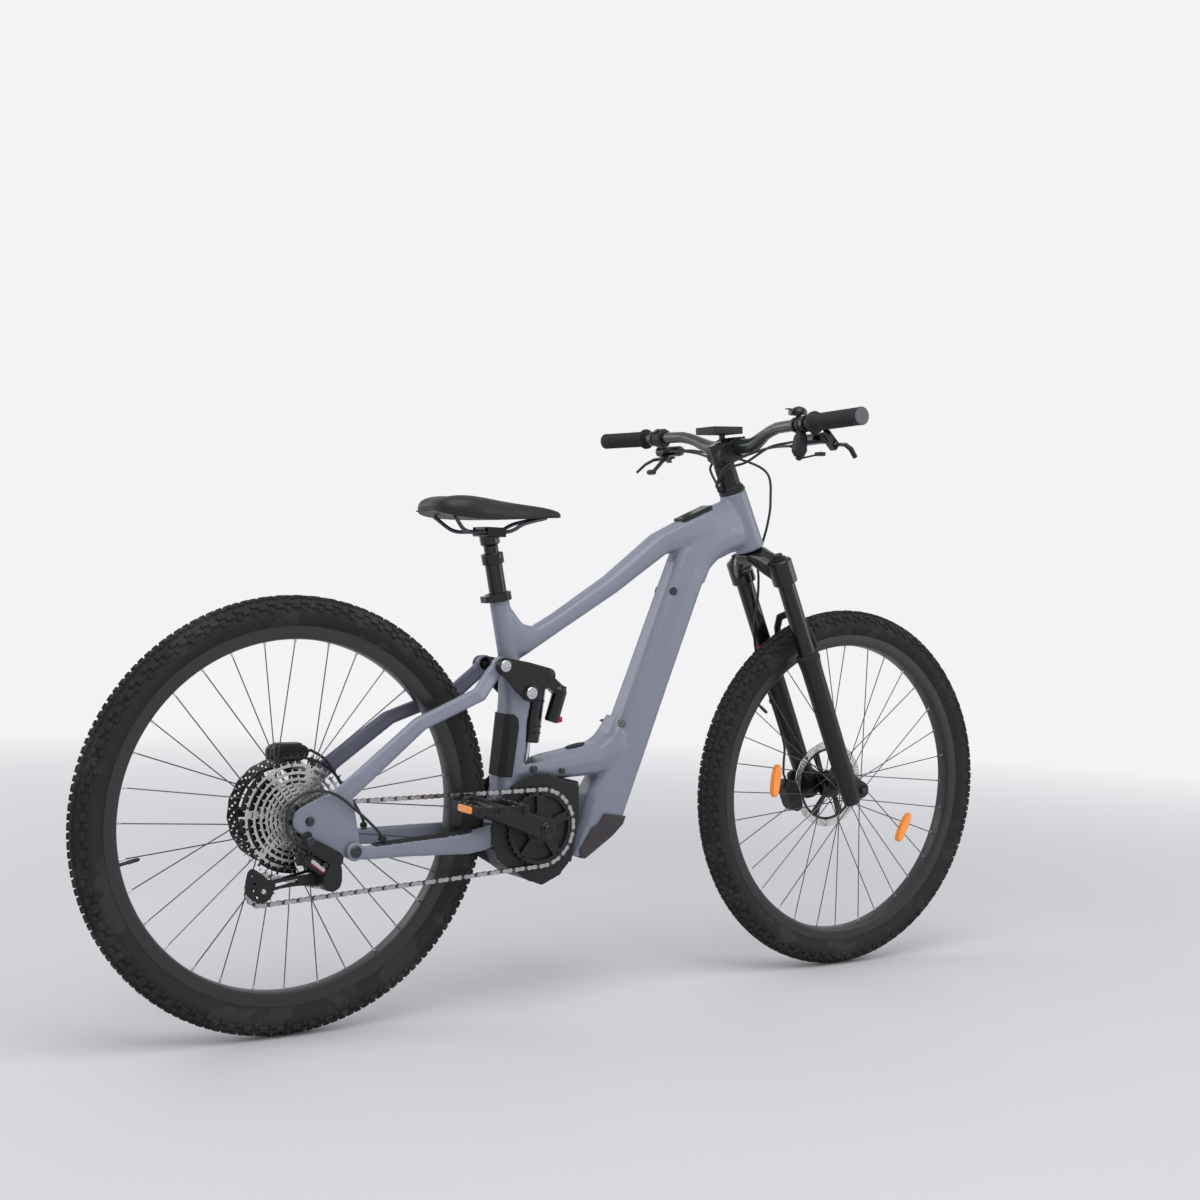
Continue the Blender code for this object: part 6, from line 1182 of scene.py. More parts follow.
laid = {}
for label, model, shift, finish in (("outer", outer_link, 0.25, chain_silver),
                                    ("inner", inner_link, 0.75, chain_dark)):
    links = grown(made(label, model), along_loop, loop=chain_loop, copies=PAIRS, shift=shift,
                  finish=finish.material)
    corners = np.array([vert.co for vert in links.data.vertices]).reshape(PAIRS, -1, 3)
    each = len(links.data.polygons) // PAIRS
    laid[shift] = (corners, [tuple(face.vertices) for face in links.data.polygons[:each]])
    bpy.data.objects.remove(links)
for i, (start, end, first, second) in enumerate(STRETCHES):
    corners, faces, kinds = [], [], []
    for kind, (shift, (places, pattern)) in enumerate(laid.items()):
        for k in range(PAIRS):
            if start <= (k + shift) / PAIRS < end:
                base = len(corners)
                corners += [tuple(place) for place in places[k]]
                faces += [tuple(base + vertex for vertex in face) for face in pattern]
                kinds += [kind] * len(pattern)
    mesh = bpy.data.meshes.new(f"chain_{i}")
    mesh.from_pydata(corners, [], faces)
    for finish in (chain_silver, chain_dark):
        mesh.materials.append(finish.material)
    mesh.polygons.foreach_set("material_index", kinds)
    soften(mesh, 40)
    stretch = new_object(mesh.name, mesh)
    if first == second:
        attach(stretch, first)
    else:
        point_at(start)
        point_at(end)
        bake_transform(stretch)
    if i == 0:
        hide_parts("chain")
print(len(STRETCHES), "stretches of chain")

# %% [markdown]
# ## Cranks and pedals
#
# The cranks are forged, so they are cast from their solid with well rounded edges. The pedals are an
# open cage with short pins that hold the shoe, and an amber reflector in each end.

# %% Round the cranks and add their bolts
PEDALS = {which: Vector(joints["pedal_spin_" + which]["pos_m"]) for which in ("right", "left")}
cast_from("crank_arms", "cranks_forged", 0.0016, 7, satin_black, "crank", "satin_black")
BOSS = [(0.0660, 0.0165), (0.0840, 0.0150), (0.0850, 0.0140), (0.0850, 0.010)]
PEDAL_NUT = [(0.0815, 0.0075), (0.0840, 0.0072), (0.0842, 0.0035)]
heads = [((CRANK.x, hand * 0.0835, CRANK.z), (0, hand, 0), 2.0) for hand in (-1, 1)]
crank_bolts = scattered("crank_bolts", screw, heads, bolt_black)
caps = [((CRANK.x, 0, CRANK.z), (0, hand, 0), BOSS, 40) for hand in (-1, 1)]
caps += [(PEDALS[which], (0, hand, 0), PEDAL_NUT, 24) for which, hand in (("right", -1), ("left", 1))]
crank_caps = joined("crank_caps", [crank_bolts, made("caps", turned_all, *caps)])
wear(crank_caps, gloss_black, "crank", "satin_black", angle=35)

# %% Cast the pedals and set their pins and reflectors
for name in PEDALS:
    low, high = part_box("pedal_" + name)
    middle = (low + high) / 2
    group = f"pedal_{name}_group"
    cast_from("pedal_" + name, f"pedal_{name}_cage", 0.0012, 4, satin_black, group, "satin_black")
    spots = []
    for facing in (-1, 1):
        for x in (-0.043, 0.043):
            spots += [((middle.x + x, middle.y + y, middle.z + facing * 0.0080), (0, 0, facing), 0.38)
                      for y in (-0.030, -0.010, 0.010, 0.030)]
        spots += [((middle.x + x, middle.y + y, middle.z + facing * 0.0066), (0, 0, facing), 0.38)
                  for x in (-0.022, 0.022) for y in (-0.039, 0.039)]
    screwed_on(f"pedal_{name}_pins", spots, bolt_silver, group, "bright_steel", angle=35)
    plates = []
    for end in (-1, 1):
        stand = (Matrix.Translation((middle.x + end * 0.0483, middle.y, middle.z))
                 @ Matrix.Rotation(math.radians(90), 4, "Z") @ Matrix.Rotation(math.radians(90), 4, "X"))
        plates.append(plate_from("plate", [oval(0.0240, 0.0062, power=6)], 0.0022, stand, 0.0005))
    wear(joined(f"pedal_{name}_reflectors", plates), amber, group, "moulded_plastic", angle=40)
print("pedals ready")

# %% [markdown]
# ## Derailleur and motor
#
# The derailleur hangs from the frame by a link, and its face carries a bright stripe over a red
# line. Its two toothed wheels sit in a cage of two thin plates: the outer one is broad round the
# lower wheel, opened by a window and four holes, and the inner one is a plain slotted bar. The motor
# fills the bottom of the frame behind a moulded cover with two raised rings.

# %% Cast the derailleur and lay the stripe on its link
LINK_TILT = Matrix.Rotation(math.radians(-37), 4, "Z")
LINK_MIDDLE = REAR + Vector((0.0130, 0.0, -0.0715))
LINK_Y, STRIPE_Y = -0.0875, -0.0922
cast_from("derailleur", "derailleur_body", 0.0011, 5, satin_black, "seatstay_group", "satin_black")
on_link = upright(LINK_MIDDLE, STRIPE_Y) @ LINK_TILT
LINK_PIECES = [("derailleur_link", oval(0.0270, 0.0105, 44, 2.6), 0.0090,
                upright(LINK_MIDDLE, LINK_Y) @ LINK_TILT,
                0.0022, satin_black, "satin_black"),
               ("derailleur_stripe", oval(0.0165, 0.0030, 36, 6), 0.0012, on_link, 0.0003, bolt_silver,
                "bright_steel"),
               ("derailleur_line", oval(0.0165, 0.0007, 24, 6), 0.0010,
                on_link @ Matrix.Translation((0, -0.0042, 0)),
                0.0001, red_ring, "satin_black")]
for name, outline, thickness, place, bevel, finish, slot in LINK_PIECES:
    wear(plate_from(name, [outline], thickness, place, bevel), finish, "seatstay_group", slot, angle=35)

# %% Cut the cage's plates
PLATE_SHEET, PLATE_OUT = 0.0024, 0.0087
CAGE_OUTLINE = [(-0.0978, -0.0784), (-0.0920, -0.0735), (-0.0843, -0.0754), (-0.0717, -0.0845),
                (-0.0602, -0.0940), (-0.0505, -0.0950), (-0.0120, -0.0895), (0.0220, -0.0865),
                (0.0340, -0.0850), (0.0455, -0.0890), (0.0490, -0.0980), (0.0455, -0.1070),
                (0.0360, -0.1108), (0.0100, -0.1075), (-0.0160, -0.1065), (-0.0500, -0.1100),
                (-0.0535, -0.1160), (-0.0575, -0.1225), (-0.0640, -0.1275), (-0.0746, -0.1288),
                (-0.0870, -0.1240), (-0.0960, -0.1140), (-0.1010, -0.0985)]
CAGE_WINDOW = [(-0.0500, -0.0995), (-0.0130, -0.0945), (-0.0110, -0.1015), (-0.0500, -0.1055)]
CAGE_HOLES = [(0.0022, (-0.0905, -0.0860)), (0.0024, (-0.0852, -0.0975)), (0.0030, (-0.0885, -0.1085)),
              (0.0030, (-0.0812, -0.1205))]
rounded = smooth_path([Vector((x, z, 0)) for x, z in CAGE_OUTLINE + CAGE_OUTLINE[:1]], 4)[:-1]
edge = [(point.x, point.y) for point in rounded]
holes = [circle(radius, 14, place) for radius, place in CAGE_HOLES]
cage = [plate_from("outer", [edge, CAGE_WINDOW, *holes], PLATE_SHEET,
                   upright(REAR, TENSION_WHEEL.y - PLATE_OUT), 0.0006)]
between = (GUIDE_WHEEL + TENSION_WHEEL) / 2
reach = GUIDE_WHEEL - TENSION_WHEEL
lie = upright(between, TENSION_WHEEL.y + PLATE_OUT) @ Matrix.Rotation(math.atan2(reach.z, reach.x), 4, "Z")
half_reach = math.hypot(reach.x, reach.z) / 2
bar_outlines = [oval(half_reach + 0.0090, 0.0090, 56, 3.2), oval(half_reach - 0.0150, 0.0040, 40, 4)]
cage.append(plate_from("inner", bar_outlines, PLATE_SHEET, lie, 0.0006))

# %% Pin the cage together
WHEEL_PIN = [(-0.0090, 0.0), (-0.0090, 0.0045), (0.0105, 0.0045), (0.0105, 0.0)]
pins = [(Vector((centre.x, TENSION_WHEEL.y, centre.z)), SIDE, WHEEL_PIN, 20)
        for centre in (GUIDE_WHEEL, TENSION_WHEEL)]
pins.append((CAGE_PIVOT, SIDE, [(-0.0090, 0.0), (-0.0090, 0.0060), (0.0135, 0.0060), (0.0135, 0.0)], 24))
pins.append((Vector((TENSION_WHEEL.x, TENSION_WHEEL.y - 0.0095, TENSION_WHEEL.z)), -SIDE,
             [(-0.0010, 0.0125), (0.0012, 0.0118), (0.0016, 0.0100), (0.0016, 0.0)], 36))
cage.append(made("pins", turned_all, *pins))
wear(joined("derailleur_cage_plates", cage), satin_black, CAGE, "satin_black", "derailleur_cage", angle=30)

# %% Cut the two wheels and set the bolts
wheel_outlines = [toothed(WHEEL_TEETH, tip=0.0004), circle(0.0035, 16)]
wheel_outlines += [circle(0.0030, 10, polar(0.0118, math.pi * i / 3)) for i in range(6)]
wheels = [plate_from("wheel", wheel_outlines, 0.0022, upright(centre, centre.y), 0.0003)
          for centre in (GUIDE_WHEEL, TENSION_WHEEL)]
wear(joined("cage_wheels", wheels), moulded, CAGE, "moulded_plastic", angle=30)
cage_bolts = [(centre + Vector((0, -0.0100, 0)), (0, -1, 0), 0.8) for centre in (GUIDE_WHEEL, TENSION_WHEEL)]
cage_bolts.append((CAGE_PIVOT + Vector((0, -0.0128, 0)), (0, -1, 0), 1.2))
screwed_on("cage_bolts", cage_bolts, bolt_silver, CAGE, "bright_steel")
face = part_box("derailleur")[0].y - 0.0004
hanger = [((REAR.x - 0.006, face, REAR.z - 0.030), (0, -1, 0), 1.5),
          ((REAR.x + 0.022, face, REAR.z - 0.070), (0, -1, 0), 0.8)]
screwed_on("hanger_bolts", hanger, bolt_black, "seatstay_group", "dark_steel")
print("derailleur ready")

# %% Cast the motor and put its bolts and rings on
COVER_BOLTS_REACH, COVER_BOLT_ANGLES = 0.0930, (35, 100, 160, 215, 262, 318)
cast_from("motor_housing", "motor_cover", 0.0020, 4, ribbed_black, "frame", "moulded_plastic")
rim_bolts = [(CRANK + around(COVER_BOLTS_REACH, math.radians(angle), -0.0480), (0, -1, 0), 0.9)
             for angle in COVER_BOLT_ANGLES]
rim_bolts += [((-0.1037, -0.0420, 0.4260), (0, -1, 0), 1.0), ((-0.1637, -0.0420, 0.4320), (0, -1, 0), 1.2)]
screwed_on("motor_bolts", rim_bolts, bolt_black, "frame", "dark_steel")
rings = []
for radius in (0.040, 0.062):
    ridge = band((0.0470, radius - 0.0035), (0.0500, radius - 0.0028), (0.0503, radius - 0.0005),
                 (0.0490, radius), (0.0470, radius + 0.0005))
    rings.append((CRANK, (0, -1, 0), ridge, 72))
wear(made("circles", turned_all, *rings), moulded, "frame", "moulded_plastic", angle=35)
print("motor ready")

# %% [markdown]
# ## The frame
#
# The frame's tubes are flat-sided and run into each other without a seam. The frame is cast from its
# solid, with its edges well rounded, and so are the stays behind it. The stay on the far side wears
# the frame's paint made darker, a painted shade.

# %% Cast the frame and the rear end
REAR_PIVOTS = {"horst": Vector(joints["horst_pivot"]["pos_m"]),
               "rocker": Vector(joints["rocker_turn"]["pos_m"]),
               "main": Vector(joints["suspension"]["pos_m"])}
SEAT_TILT = math.radians(77.5)
UP_SEAT = Vector((-math.cos(SEAT_TILT), 0, math.sin(SEAT_TILT)))
SEAT_TOP = CRANK + Vector((-0.0714, 0, 0.4160))
SEAT_BORE = [(-0.1300, 0.0), (-0.1300, 0.0170), (-0.0010, 0.0170), (-0.0010, 0.0)]
seat_tube = (SEAT_TOP, UP_SEAT, SEAT_BORE, 32)
cast_from("main_frame", "frame_shell", 0.0030, 9, paint, "frame", "frame_paint", fill=seat_tube)
cast_from("chainstay", "chainstay_shell", 0.0022, 6, paint, "chainstay_group", "frame_paint")
cast_from("seatstay_right", "right_seatstay_shell", 0.0020, 5, paint, "seatstay_group", "frame_paint")
cast_from("seatstay_left", "left_seatstay_shell", 0.0020, 5, slate_paint, "seatstay_group", "frame_paint")
cast_from("rocker", "rocker_forged", 0.0015, 5, satin_black, "rocker_group", "satin_black")
cast_from("seat_tube_guard", "seat_tube_guard_moulded", 0.0010, 5, guard_rubber, "frame", "guard_rubber")
cast_from("down_tube_guard", "down_tube_guard_moulded", 0.0012, 6, purple_black, "frame", "guard_rubber")
cast_from("control_plate", "control_plate_moulded", 0.0008, 3, gloss_black, "frame", "satin_black")
cast_from("charge_port_flap", "port_flap_moulded", 0.0008, 4, guard_rubber, "port_flap", "guard_rubber")
cast_from("seat_clamp", "seat_clamp_forged", 0.0009, 3, gloss_black, "frame", "satin_black")
frame["nodes"]["battery"].material_slots[0].material = moulded.material


# %% [markdown]
# Small things are set on the shell where its surface comes nearest to a point beside it, which also
# gives the way that the paint faces there.

# %% Find a seat on a surface
def seat_on(piece, place):
    """The point of a piece that is nearest to a place, and the way that its surface faces."""
    bpy.context.view_layer.update()
    _, spot, facing, _ = piece.closest_point_on_mesh(Vector(place))
    return spot, facing


COVER_BOLTS = ((0.1207, 0.7660), (0.0278, 0.5230))
WASHER = [(0, 0.0078), (0.0016, 0.0078), (0.0021, 0.0072), (0.0021, 0.0040)]
shell = bpy.data.objects["frame_shell"]
cover_bolts, washers = [], []
for x, z in COVER_BOLTS:
    for hand in (-1, 1):
        spot, facing = seat_on(shell, (x, 0.055 * hand, z))
        cover_bolts.append((spot + 0.0002 * facing, facing, 0.75))
        washers.append((spot - 0.0010 * facing, facing, WASHER, 28))
plates = made("cover_washers", turned_all, *washers)
cover_bolts = joined("cover_bolts", [plates, scattered("heads", screw, cover_bolts, bolt_black)])
wear(cover_bolts, bolt_black, "frame", "dark_steel", angle=35)

# %% Fit the pivots' bolts
rocker_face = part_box("rocker")[1].y
STAY_PIVOT = CRANK + Vector((-0.0789, 0, 0.2890))
SHOCK_TOP = CRANK + Vector((0.0151, 0, 0.2720))
linkage = {"rocker_group": [(STAY_PIVOT, rocker_face, 2.1), (REAR_PIVOTS["rocker"], rocker_face, 2.2),
                            (SHOCK_TOP, 0.0300, 1.4)],
           "chainstay_group": [(REAR_PIVOTS["horst"], 0.0900, 2.0)],
           "frame": [(REAR_PIVOTS["main"], 0.0458, 2.2)]}
for body, bolts in linkage.items():
    spots, rings = [], []
    for pivot, reach, size in bolts:
        rim = [(-0.004, 0.0064 * size), (0.0010, 0.0064 * size), (0.0016, 0.0058 * size),
               (0.0016, 0.0030 * size)]
        for hand in (-1, 1):
            seat = Vector((pivot.x, hand * (reach - 0.0004), pivot.z))
            spots.append((seat, (0, hand, 0), size))
            rings.append((seat, (0, hand, 0), rim, 40))
    finish = bolt_black if body == "chainstay_group" else bolt_silver
    screwed_on(body + "_bolts", spots, finish, body, "bright_steel", angle=35)
    wear(made(body + "_washers", turned_all, *rings), gloss_black, body, "satin_black", angle=35)

# %% [markdown]
# A strip of rubber lies on the chainstay under the chain. Its grid of points is dropped onto the stay
# from above, so it follows the stay's crown, and both its ends are rounded.

# %% Lay the rubber strip on the chainstay
stay = bpy.data.objects["chainstay_shell"]
STRIP_START, STRIP_END, STRIP_REACH, STRIP_RISE = -0.5000, -0.2900, 0.0100, 0.0022
stay_points = np.array([vert.co for vert in stay.data.vertices])
stay_points = stay_points[stay_points[:, 1] < -0.02]


def crown(x):
    """How far the upper part of the stay reaches sideways at a place along it, and how high it is."""
    near = stay_points[abs(stay_points[:, 0] - x) < 0.002]
    top = near[:, 2].max()
    upper = near[near[:, 2] > top - 0.006]
    return upper[:, 1].min(), upper[:, 1].max(), top


def strip(work, steps=44, across_steps=8):
    rows = []
    for i in range(steps + 1):
        x = STRIP_START + (STRIP_END - STRIP_START) * i / steps
        right, left, top = crown(x)
        rest = min(x - STRIP_START, STRIP_END - x, STRIP_REACH) / STRIP_REACH
        half = (left - right) / 2 * math.sqrt(max(0.04, 1 - (1 - rest) ** 2))
        row = []
        for j in range(across_steps + 1):
            y = (left + right) / 2 + half * (2 * j / across_steps - 1)
            hit, spot, _, _ = stay.ray_cast(Vector((x, y, top + 0.05)), Vector((0, 0, -1)))
            edge = min(j, across_steps - j) == 0 or i in (0, steps)
            height = spot.z if hit and spot.z > top - 0.010 else top - 0.006
            row.append(work.verts.new((x, y, height + (-0.0006 if edge else STRIP_RISE))))
        rows.append(row)
    for low, high in zip(rows, rows[1:]):
        for j in range(across_steps):
            work.faces.new((low[j], high[j], high[j + 1], low[j + 1]))


wear(made("chainstay_strip", strip), guard_rubber, "chainstay_group", "guard_rubber", angle=50)

# %% [markdown]
# ## The shock
#
# The shock lies between the rocker and the frame. Its body is cast with its small reservoir; the
# knob on the reservoir and the rings on the body are turned, and the rod is polished.

# %% Cast the shock and turn its rings
SHOCK_FOOT = CRANK + Vector((-0.0044, 0, 0.0910))
shock_way = (SHOCK_TOP - SHOCK_FOOT).normalized()
cast_from("shock_body", "shock_body_cast", 0.0012, 4, gloss_black, "shock_body_group", "satin_black")
cast_from("shock_shaft", "shock_rod", 0.0009, 3, bolt_silver, "shock_shaft_group", "bright_steel")
middle = SHOCK_FOOT.lerp(SHOCK_TOP, 0.42)
raised = band((-0.0018, 0.0196), (-0.0012, 0.0208), (0.0012, 0.0208), (0.0018, 0.0196))
rings = [(middle + offset * shock_way, shock_way, raised, 40) for offset in (0.0, 0.012, 0.058)]
wear(made("shock_rings", turned_all, *rings), satin_black, "shock_body_group", "satin_black", angle=35)
low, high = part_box("shock_body")
KNOB = [(-0.004, 0.0100), (0.004, 0.0100), (0.0052, 0.0088), (0.0052, 0.0)]
knob = made("shock_knob", turned, (high.x - 0.0175, low.y + 0.0140, 0.5180), (0.12, 0, -1), KNOB, 24)
wear(knob, red_ring, "shock_body_group", "satin_black", angle=35)
print("shock ready")

# %% [markdown]
# ## Axle and rear brake
#
# A caliper is two rounded halves with the rotor between them, tied by a bridge over the rotor's rim.
# The same function makes the front one later.

# %% Shape a caliper
ROTOR_ROOM = 0.0022
PISTON_BOSS = [(-0.0040, 0.0118), (0.0000, 0.0118), (0.0008, 0.0110), (0.0008, 0.0078), (-0.0002, 0.0070),
               (-0.0002, 0.0)]


def caliper(name, centre, along, over, rotor, reach, body, node):
    """Two halves either side of the rotor's place sideways, a bridge, and a boss for each piston.

    Along is the caliper's long way, over points away from the axle, and reach is how far it goes to
    the right and to the left of its centre.
    """
    along, over = Vector(along), Vector(over)
    side = along.cross(over)
    outward = side if side.y > 0 else -side
    pieces = []
    for start, end in ((centre.y - reach[0], rotor - ROTOR_ROOM), (rotor + ROTOR_ROOM, centre.y + reach[1])):
        half = Matrix((along, over, side)).transposed().to_4x4()
        half.translation = (centre.x, (start + end) / 2, centre.z)
        pieces.append(plate_from("half", [oval(0.0345, 0.0155, 48, 2.6)], end - start, half, 0.0030))
    middle = centre.y + (reach[1] - reach[0]) / 2
    bridge = Matrix((along, -side, over)).transposed().to_4x4()
    bridge.translation = Vector((centre.x, middle, centre.z)) + 0.0125 * over
    tie = oval(0.0240, sum(reach) / 2 - 0.0015, 40, 5)
    pieces.append(plate_from("bridge", [tie], 0.0060, bridge, 0.0014))
    face = Vector((centre.x, centre.y + reach[1], centre.z))
    bosses = [(face + at * along, outward, PISTON_BOSS, 36) for at in (-0.0130, 0.0130)]
    pieces.append(made("bosses", turned_all, *bosses))
    wear(joined(name, pieces), satin_black, body, "satin_black", node, angle=35)


# %% Fit the rear caliper, its bracket and the axle
BRACKET = [(0.0440, 0.0300), (0.0440, 0.0980), (0.0300, 0.1000), (-0.0180, 0.0980), (-0.0180, 0.0850),
           (0.0000, 0.0800), (0.0240, 0.0540), (0.0260, 0.0280)]
caliper("rear_caliper_halves", REAR + Vector((0.0140, 0.0610, 0.0980)), (1, 0, 0), (0, 0, 1),
        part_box("rear_rotor")[0].y + 0.0009, (0.0180, 0.0120), "seatstay_group", "rear_caliper")
bracket = plate_from("rear_caliper_bracket", [BRACKET], 0.0066, upright(REAR, 0.0700), 0.0012)
wear(bracket, satin_black, "seatstay_group", "satin_black", angle=35)
heads = [(REAR + Vector((x, 0.0730, 0.0920)), (0, 1, 0), 0.7) for x in (-0.0120, 0.0370)]
screwed_on("rear_caliper_bolts", heads, bolt_black, "seatstay_group", "dark_steel")
cast_from("rear_axle", "rear_axle_turned", 0.0008, 3, gloss_black, "seatstay_group", "dark_steel")
heads = [((REAR.x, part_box("rear_axle")[0].y - 0.0002, REAR.z), (0, -1, 0), 1.2)]
screwed_on("axle_heads", heads, bolt_black, "seatstay_group", "dark_steel")
print("rear end ready")

# %% [markdown]
# ## The fork
#
# The fork has a forged crown, two glossy tubes, and two satin legs that slide on them and are joined
# by an arch. The tubes are turned, and a rubber seal sits where each one enters its bored leg.

# %% Cast the crown and the legs
DOWN = Vector(joints["steering"]["axis"]).normalized()
DOWN = -DOWN if DOWN.z > 0 else DOWN
AHEAD = SIDE.cross(DOWN)
AHEAD = -AHEAD if AHEAD.x < 0 else AHEAD
AXLE_ALONG, AXLE_AHEAD = 0.5475, 0.0460
HEAD_BOTTOM = AXLES["front"] - AXLE_ALONG * DOWN - AXLE_AHEAD * AHEAD
HEAD_TOP = HEAD_BOTTOM - 0.1215 * DOWN
LEG_AHEAD, LEG_OUT, TUBE_RADIUS, SEAL_AT = 0.0110, 0.0650, 0.0175, 0.2310


def from_head(along, ahead, y=0.0):
    """A point given down the steering axis from the foot of the head tube, ahead of it and sideways."""
    return HEAD_BOTTOM + along * DOWN + ahead * AHEAD + y * SIDE


cast_from("fork_crown", "fork_crown_forged", 0.0016, 5, gloss_black, "bars_and_crown", "satin_black")
LEG_BORE = [(0.0, 0.0), (0.0, 0.0186), (0.2400, 0.0186), (0.2400, 0.0)]
leg_bores = [(from_head(SEAL_AT - 0.0100, LEG_AHEAD, hand * LEG_OUT), DOWN, LEG_BORE, 48)
             for hand in (-1, 1)]
cast_from("fork_lowers", "fork_legs", 0.0018, 6, satin_black, "fork_lower_group", "satin_black",
          bores=leg_bores)

# %% Turn the tubes, the seals and the crown's knobs
TUBE = [(0.0, 0.0), (0.0, TUBE_RADIUS), (0.290, TUBE_RADIUS), (0.290, 0.0)]
SEAL = band((-0.0030, 0.0177), (-0.0030, 0.0195), (-0.0018, 0.0208), (0.0, 0.0226), (0.0060, 0.0238),
            (0.0085, 0.0238), (0.0090, 0.0225), (0.0090, 0.0177))
CROWN_KNOB = [(-0.002, 0.0150), (0.0030, 0.0150), (0.0036, 0.0144), (0.0038, 0.0105), (0.0100, 0.0100),
              (0.0110, 0.0088), (0.0110, 0.0)]
tubes, seals, knobs = [], [], []
for hand in (-1, 1):
    top = from_head(0.0, LEG_AHEAD, hand * LEG_OUT)
    tubes.append((top + 0.070 * DOWN, DOWN, TUBE, 64))
    seals.append((top + SEAL_AT * DOWN, DOWN, SEAL, 56))
    knobs.append((top + 0.0260 * DOWN, -DOWN, CROWN_KNOB, 36))
wear(made("fork_tubes", turned_all, *tubes), gloss_black, "bars_and_crown", "gloss_black", angle=40)
wear(made("fork_seals", turned_all, *seals), guard_rubber, "fork_lower_group", "guard_rubber", angle=30)
wear(made("fork_knobs", turned_all, *knobs), satin_black, "bars_and_crown", "satin_black", angle=35)

# %% [markdown]
# The red travel ring sits on its tube a little above the seal, and stays where it is laid.

# %% Put the travel ring on
RING_SHARE, REST_SHARE = 0.91, 0.09
TRAVEL_RING = band((-0.0022, 0.0176), (-0.0022, 0.0190), (0.0022, 0.0190), (0.0022, 0.0176))
mark = from_head(0.2120, LEG_AHEAD, LEG_OUT)
ring = made("travel_ring", turned, mark, DOWN, TRAVEL_RING, 56)
ring.data.materials.append(red_ring.material)
mark - RING_SHARE * DOWN
mark + REST_SHARE * DOWN
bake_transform(ring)
print("fork ready")

# %% Cast the axle and build the front caliper
cast_from("front_axle", "front_axle_turned", 0.0009, 3, gloss_black, "fork_lower_group", "dark_steel")
caliper("front_caliper_halves", from_head(0.5275, -0.0490, 0.0500), DOWN, -AHEAD,
        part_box("front_rotor")[0].y + 0.0009, (0.0170, 0.0170), "fork_lower_group", "front_caliper")
stand = Matrix((DOWN, -AHEAD, DOWN.cross(-AHEAD))).transposed().to_4x4()
stand.translation = from_head(0.5175, -0.0215, 0.0610)
arm = plate_from("front_caliper_arm", [oval(0.0295, 0.0118, 40, 4)], 0.0105, stand, 0.0015)
wear(arm, satin_black, "fork_lower_group", "satin_black", angle=35)
axle_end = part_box("front_axle")[0].y - 0.0002
heads = [(from_head(0.5175 + offset, -0.0215, 0.0660), (0, 1, 0), 0.75) for offset in (-0.020, 0.020)]
heads.append((Vector((AXLES["front"].x, axle_end, AXLES["front"].z)), (0, -1, 0), 1.3))
screwed_on("fork_bolts", heads, bolt_black, "fork_lower_group", "dark_steel")
DIAL = [(0.0, 0.0100), (0.0050, 0.0100), (0.0060, 0.0090), (0.0060, 0.0)]
dial = made("rebound_dial", turned, from_head(0.5560, LEG_AHEAD, -LEG_OUT), DOWN, DIAL, 28)
wear(dial, red_ring, "fork_lower_group", "satin_black", angle=35)
print("front brake ready")

# %% [markdown]
# ## The seat post
#
# The post's outer tube ends in a glossy black collar with three fine ridges; the thinner tube slides
# in it. A head with two bolts clamps the saddle's rails.

# %% Turn the post and cast its head
OUTER_TUBE = [(-0.1150, 0.0), (-0.1150, 0.0158), (0.0535, 0.0158), (0.0545, 0.0190), (0.0560, 0.0199),
              (0.0715, 0.0199), (0.0730, 0.0196), (0.0745, 0.0182), (0.0748, 0.0150), (0.0748, 0.0)]
RIDGE = band((-0.0006, 0.0197), (-0.0003, 0.0202), (0.0003, 0.0202), (0.0006, 0.0197))
ridges = [(SEAT_TOP + offset * UP_SEAT, UP_SEAT, RIDGE, 56) for offset in (0.0585, 0.0640, 0.0695)]
post = made("post_outer", turned_all, (SEAT_TOP, UP_SEAT, OUTER_TUBE, 56), *ridges)
wear(post, gloss_black, "frame", "gloss_black", "dropper_outer", angle=35)
cast_from("dropper_inner", "post_head", 0.0009, 3, gloss_black, "seat_group", "gloss_black")
INNER_TUBE = [(-0.1000, 0.0), (-0.1000, 0.01305), (0.0870, 0.01305), (0.0870, 0.0)]
post = made("post_inner", turned, SEAT_TOP, UP_SEAT, INNER_TUBE, 56)
wear(post, gloss_black, "seat_group", "gloss_black", angle=40)
SADDLE_BASE = SEAT_TOP + 0.1120 * UP_SEAT + 0.0040 * Vector((UP_SEAT.z, 0, -UP_SEAT.x))
heads = [(SADDLE_BASE + Vector((x, 0, -0.0100)), (0, 0, -1), 0.8) for x in (-0.0150, 0.0110)]
screwed_on("seat_bolts", heads, bolt_silver, "seat_group", "bright_steel")

# %% Bend the rails
RAIL_RADIUS = 0.0035
HALF_RAIL = [(-0.0930, 0.0390, 0.0220), (-0.0640, 0.0240, -0.0005), (-0.0300, 0.0220, -0.0020),
             (0.0250, 0.0220, 0.0010), (0.0600, 0.0180, 0.0170), (0.1080, 0.0080, 0.0290)]
whole_rail = [SADDLE_BASE + Vector((x, -y, z)) for x, y, z in HALF_RAIL]
whole_rail += [SADDLE_BASE + Vector((x, y, z)) for x, y, z in reversed(HALF_RAIL)]
rails = made("rails_bent", swept, smooth_path(whole_rail, 8), RAIL_RADIUS, 16)
wear(rails, rail_steel, "seat_group", "dark_steel", "saddle_rails", angle=50)
print("post and rails ready")

# %% [markdown]
# ## The saddle
#
# The saddle is a padded shell: broad and a little raised behind, slim in front, with a shallow trough
# down its middle that relieves the rider. Its stations run from tail to nose, and a subdivision
# surface rounds them off. A station gives the place along, half the width, the top and the bottom. A
# welt runs round it where the cover is folded under the base.

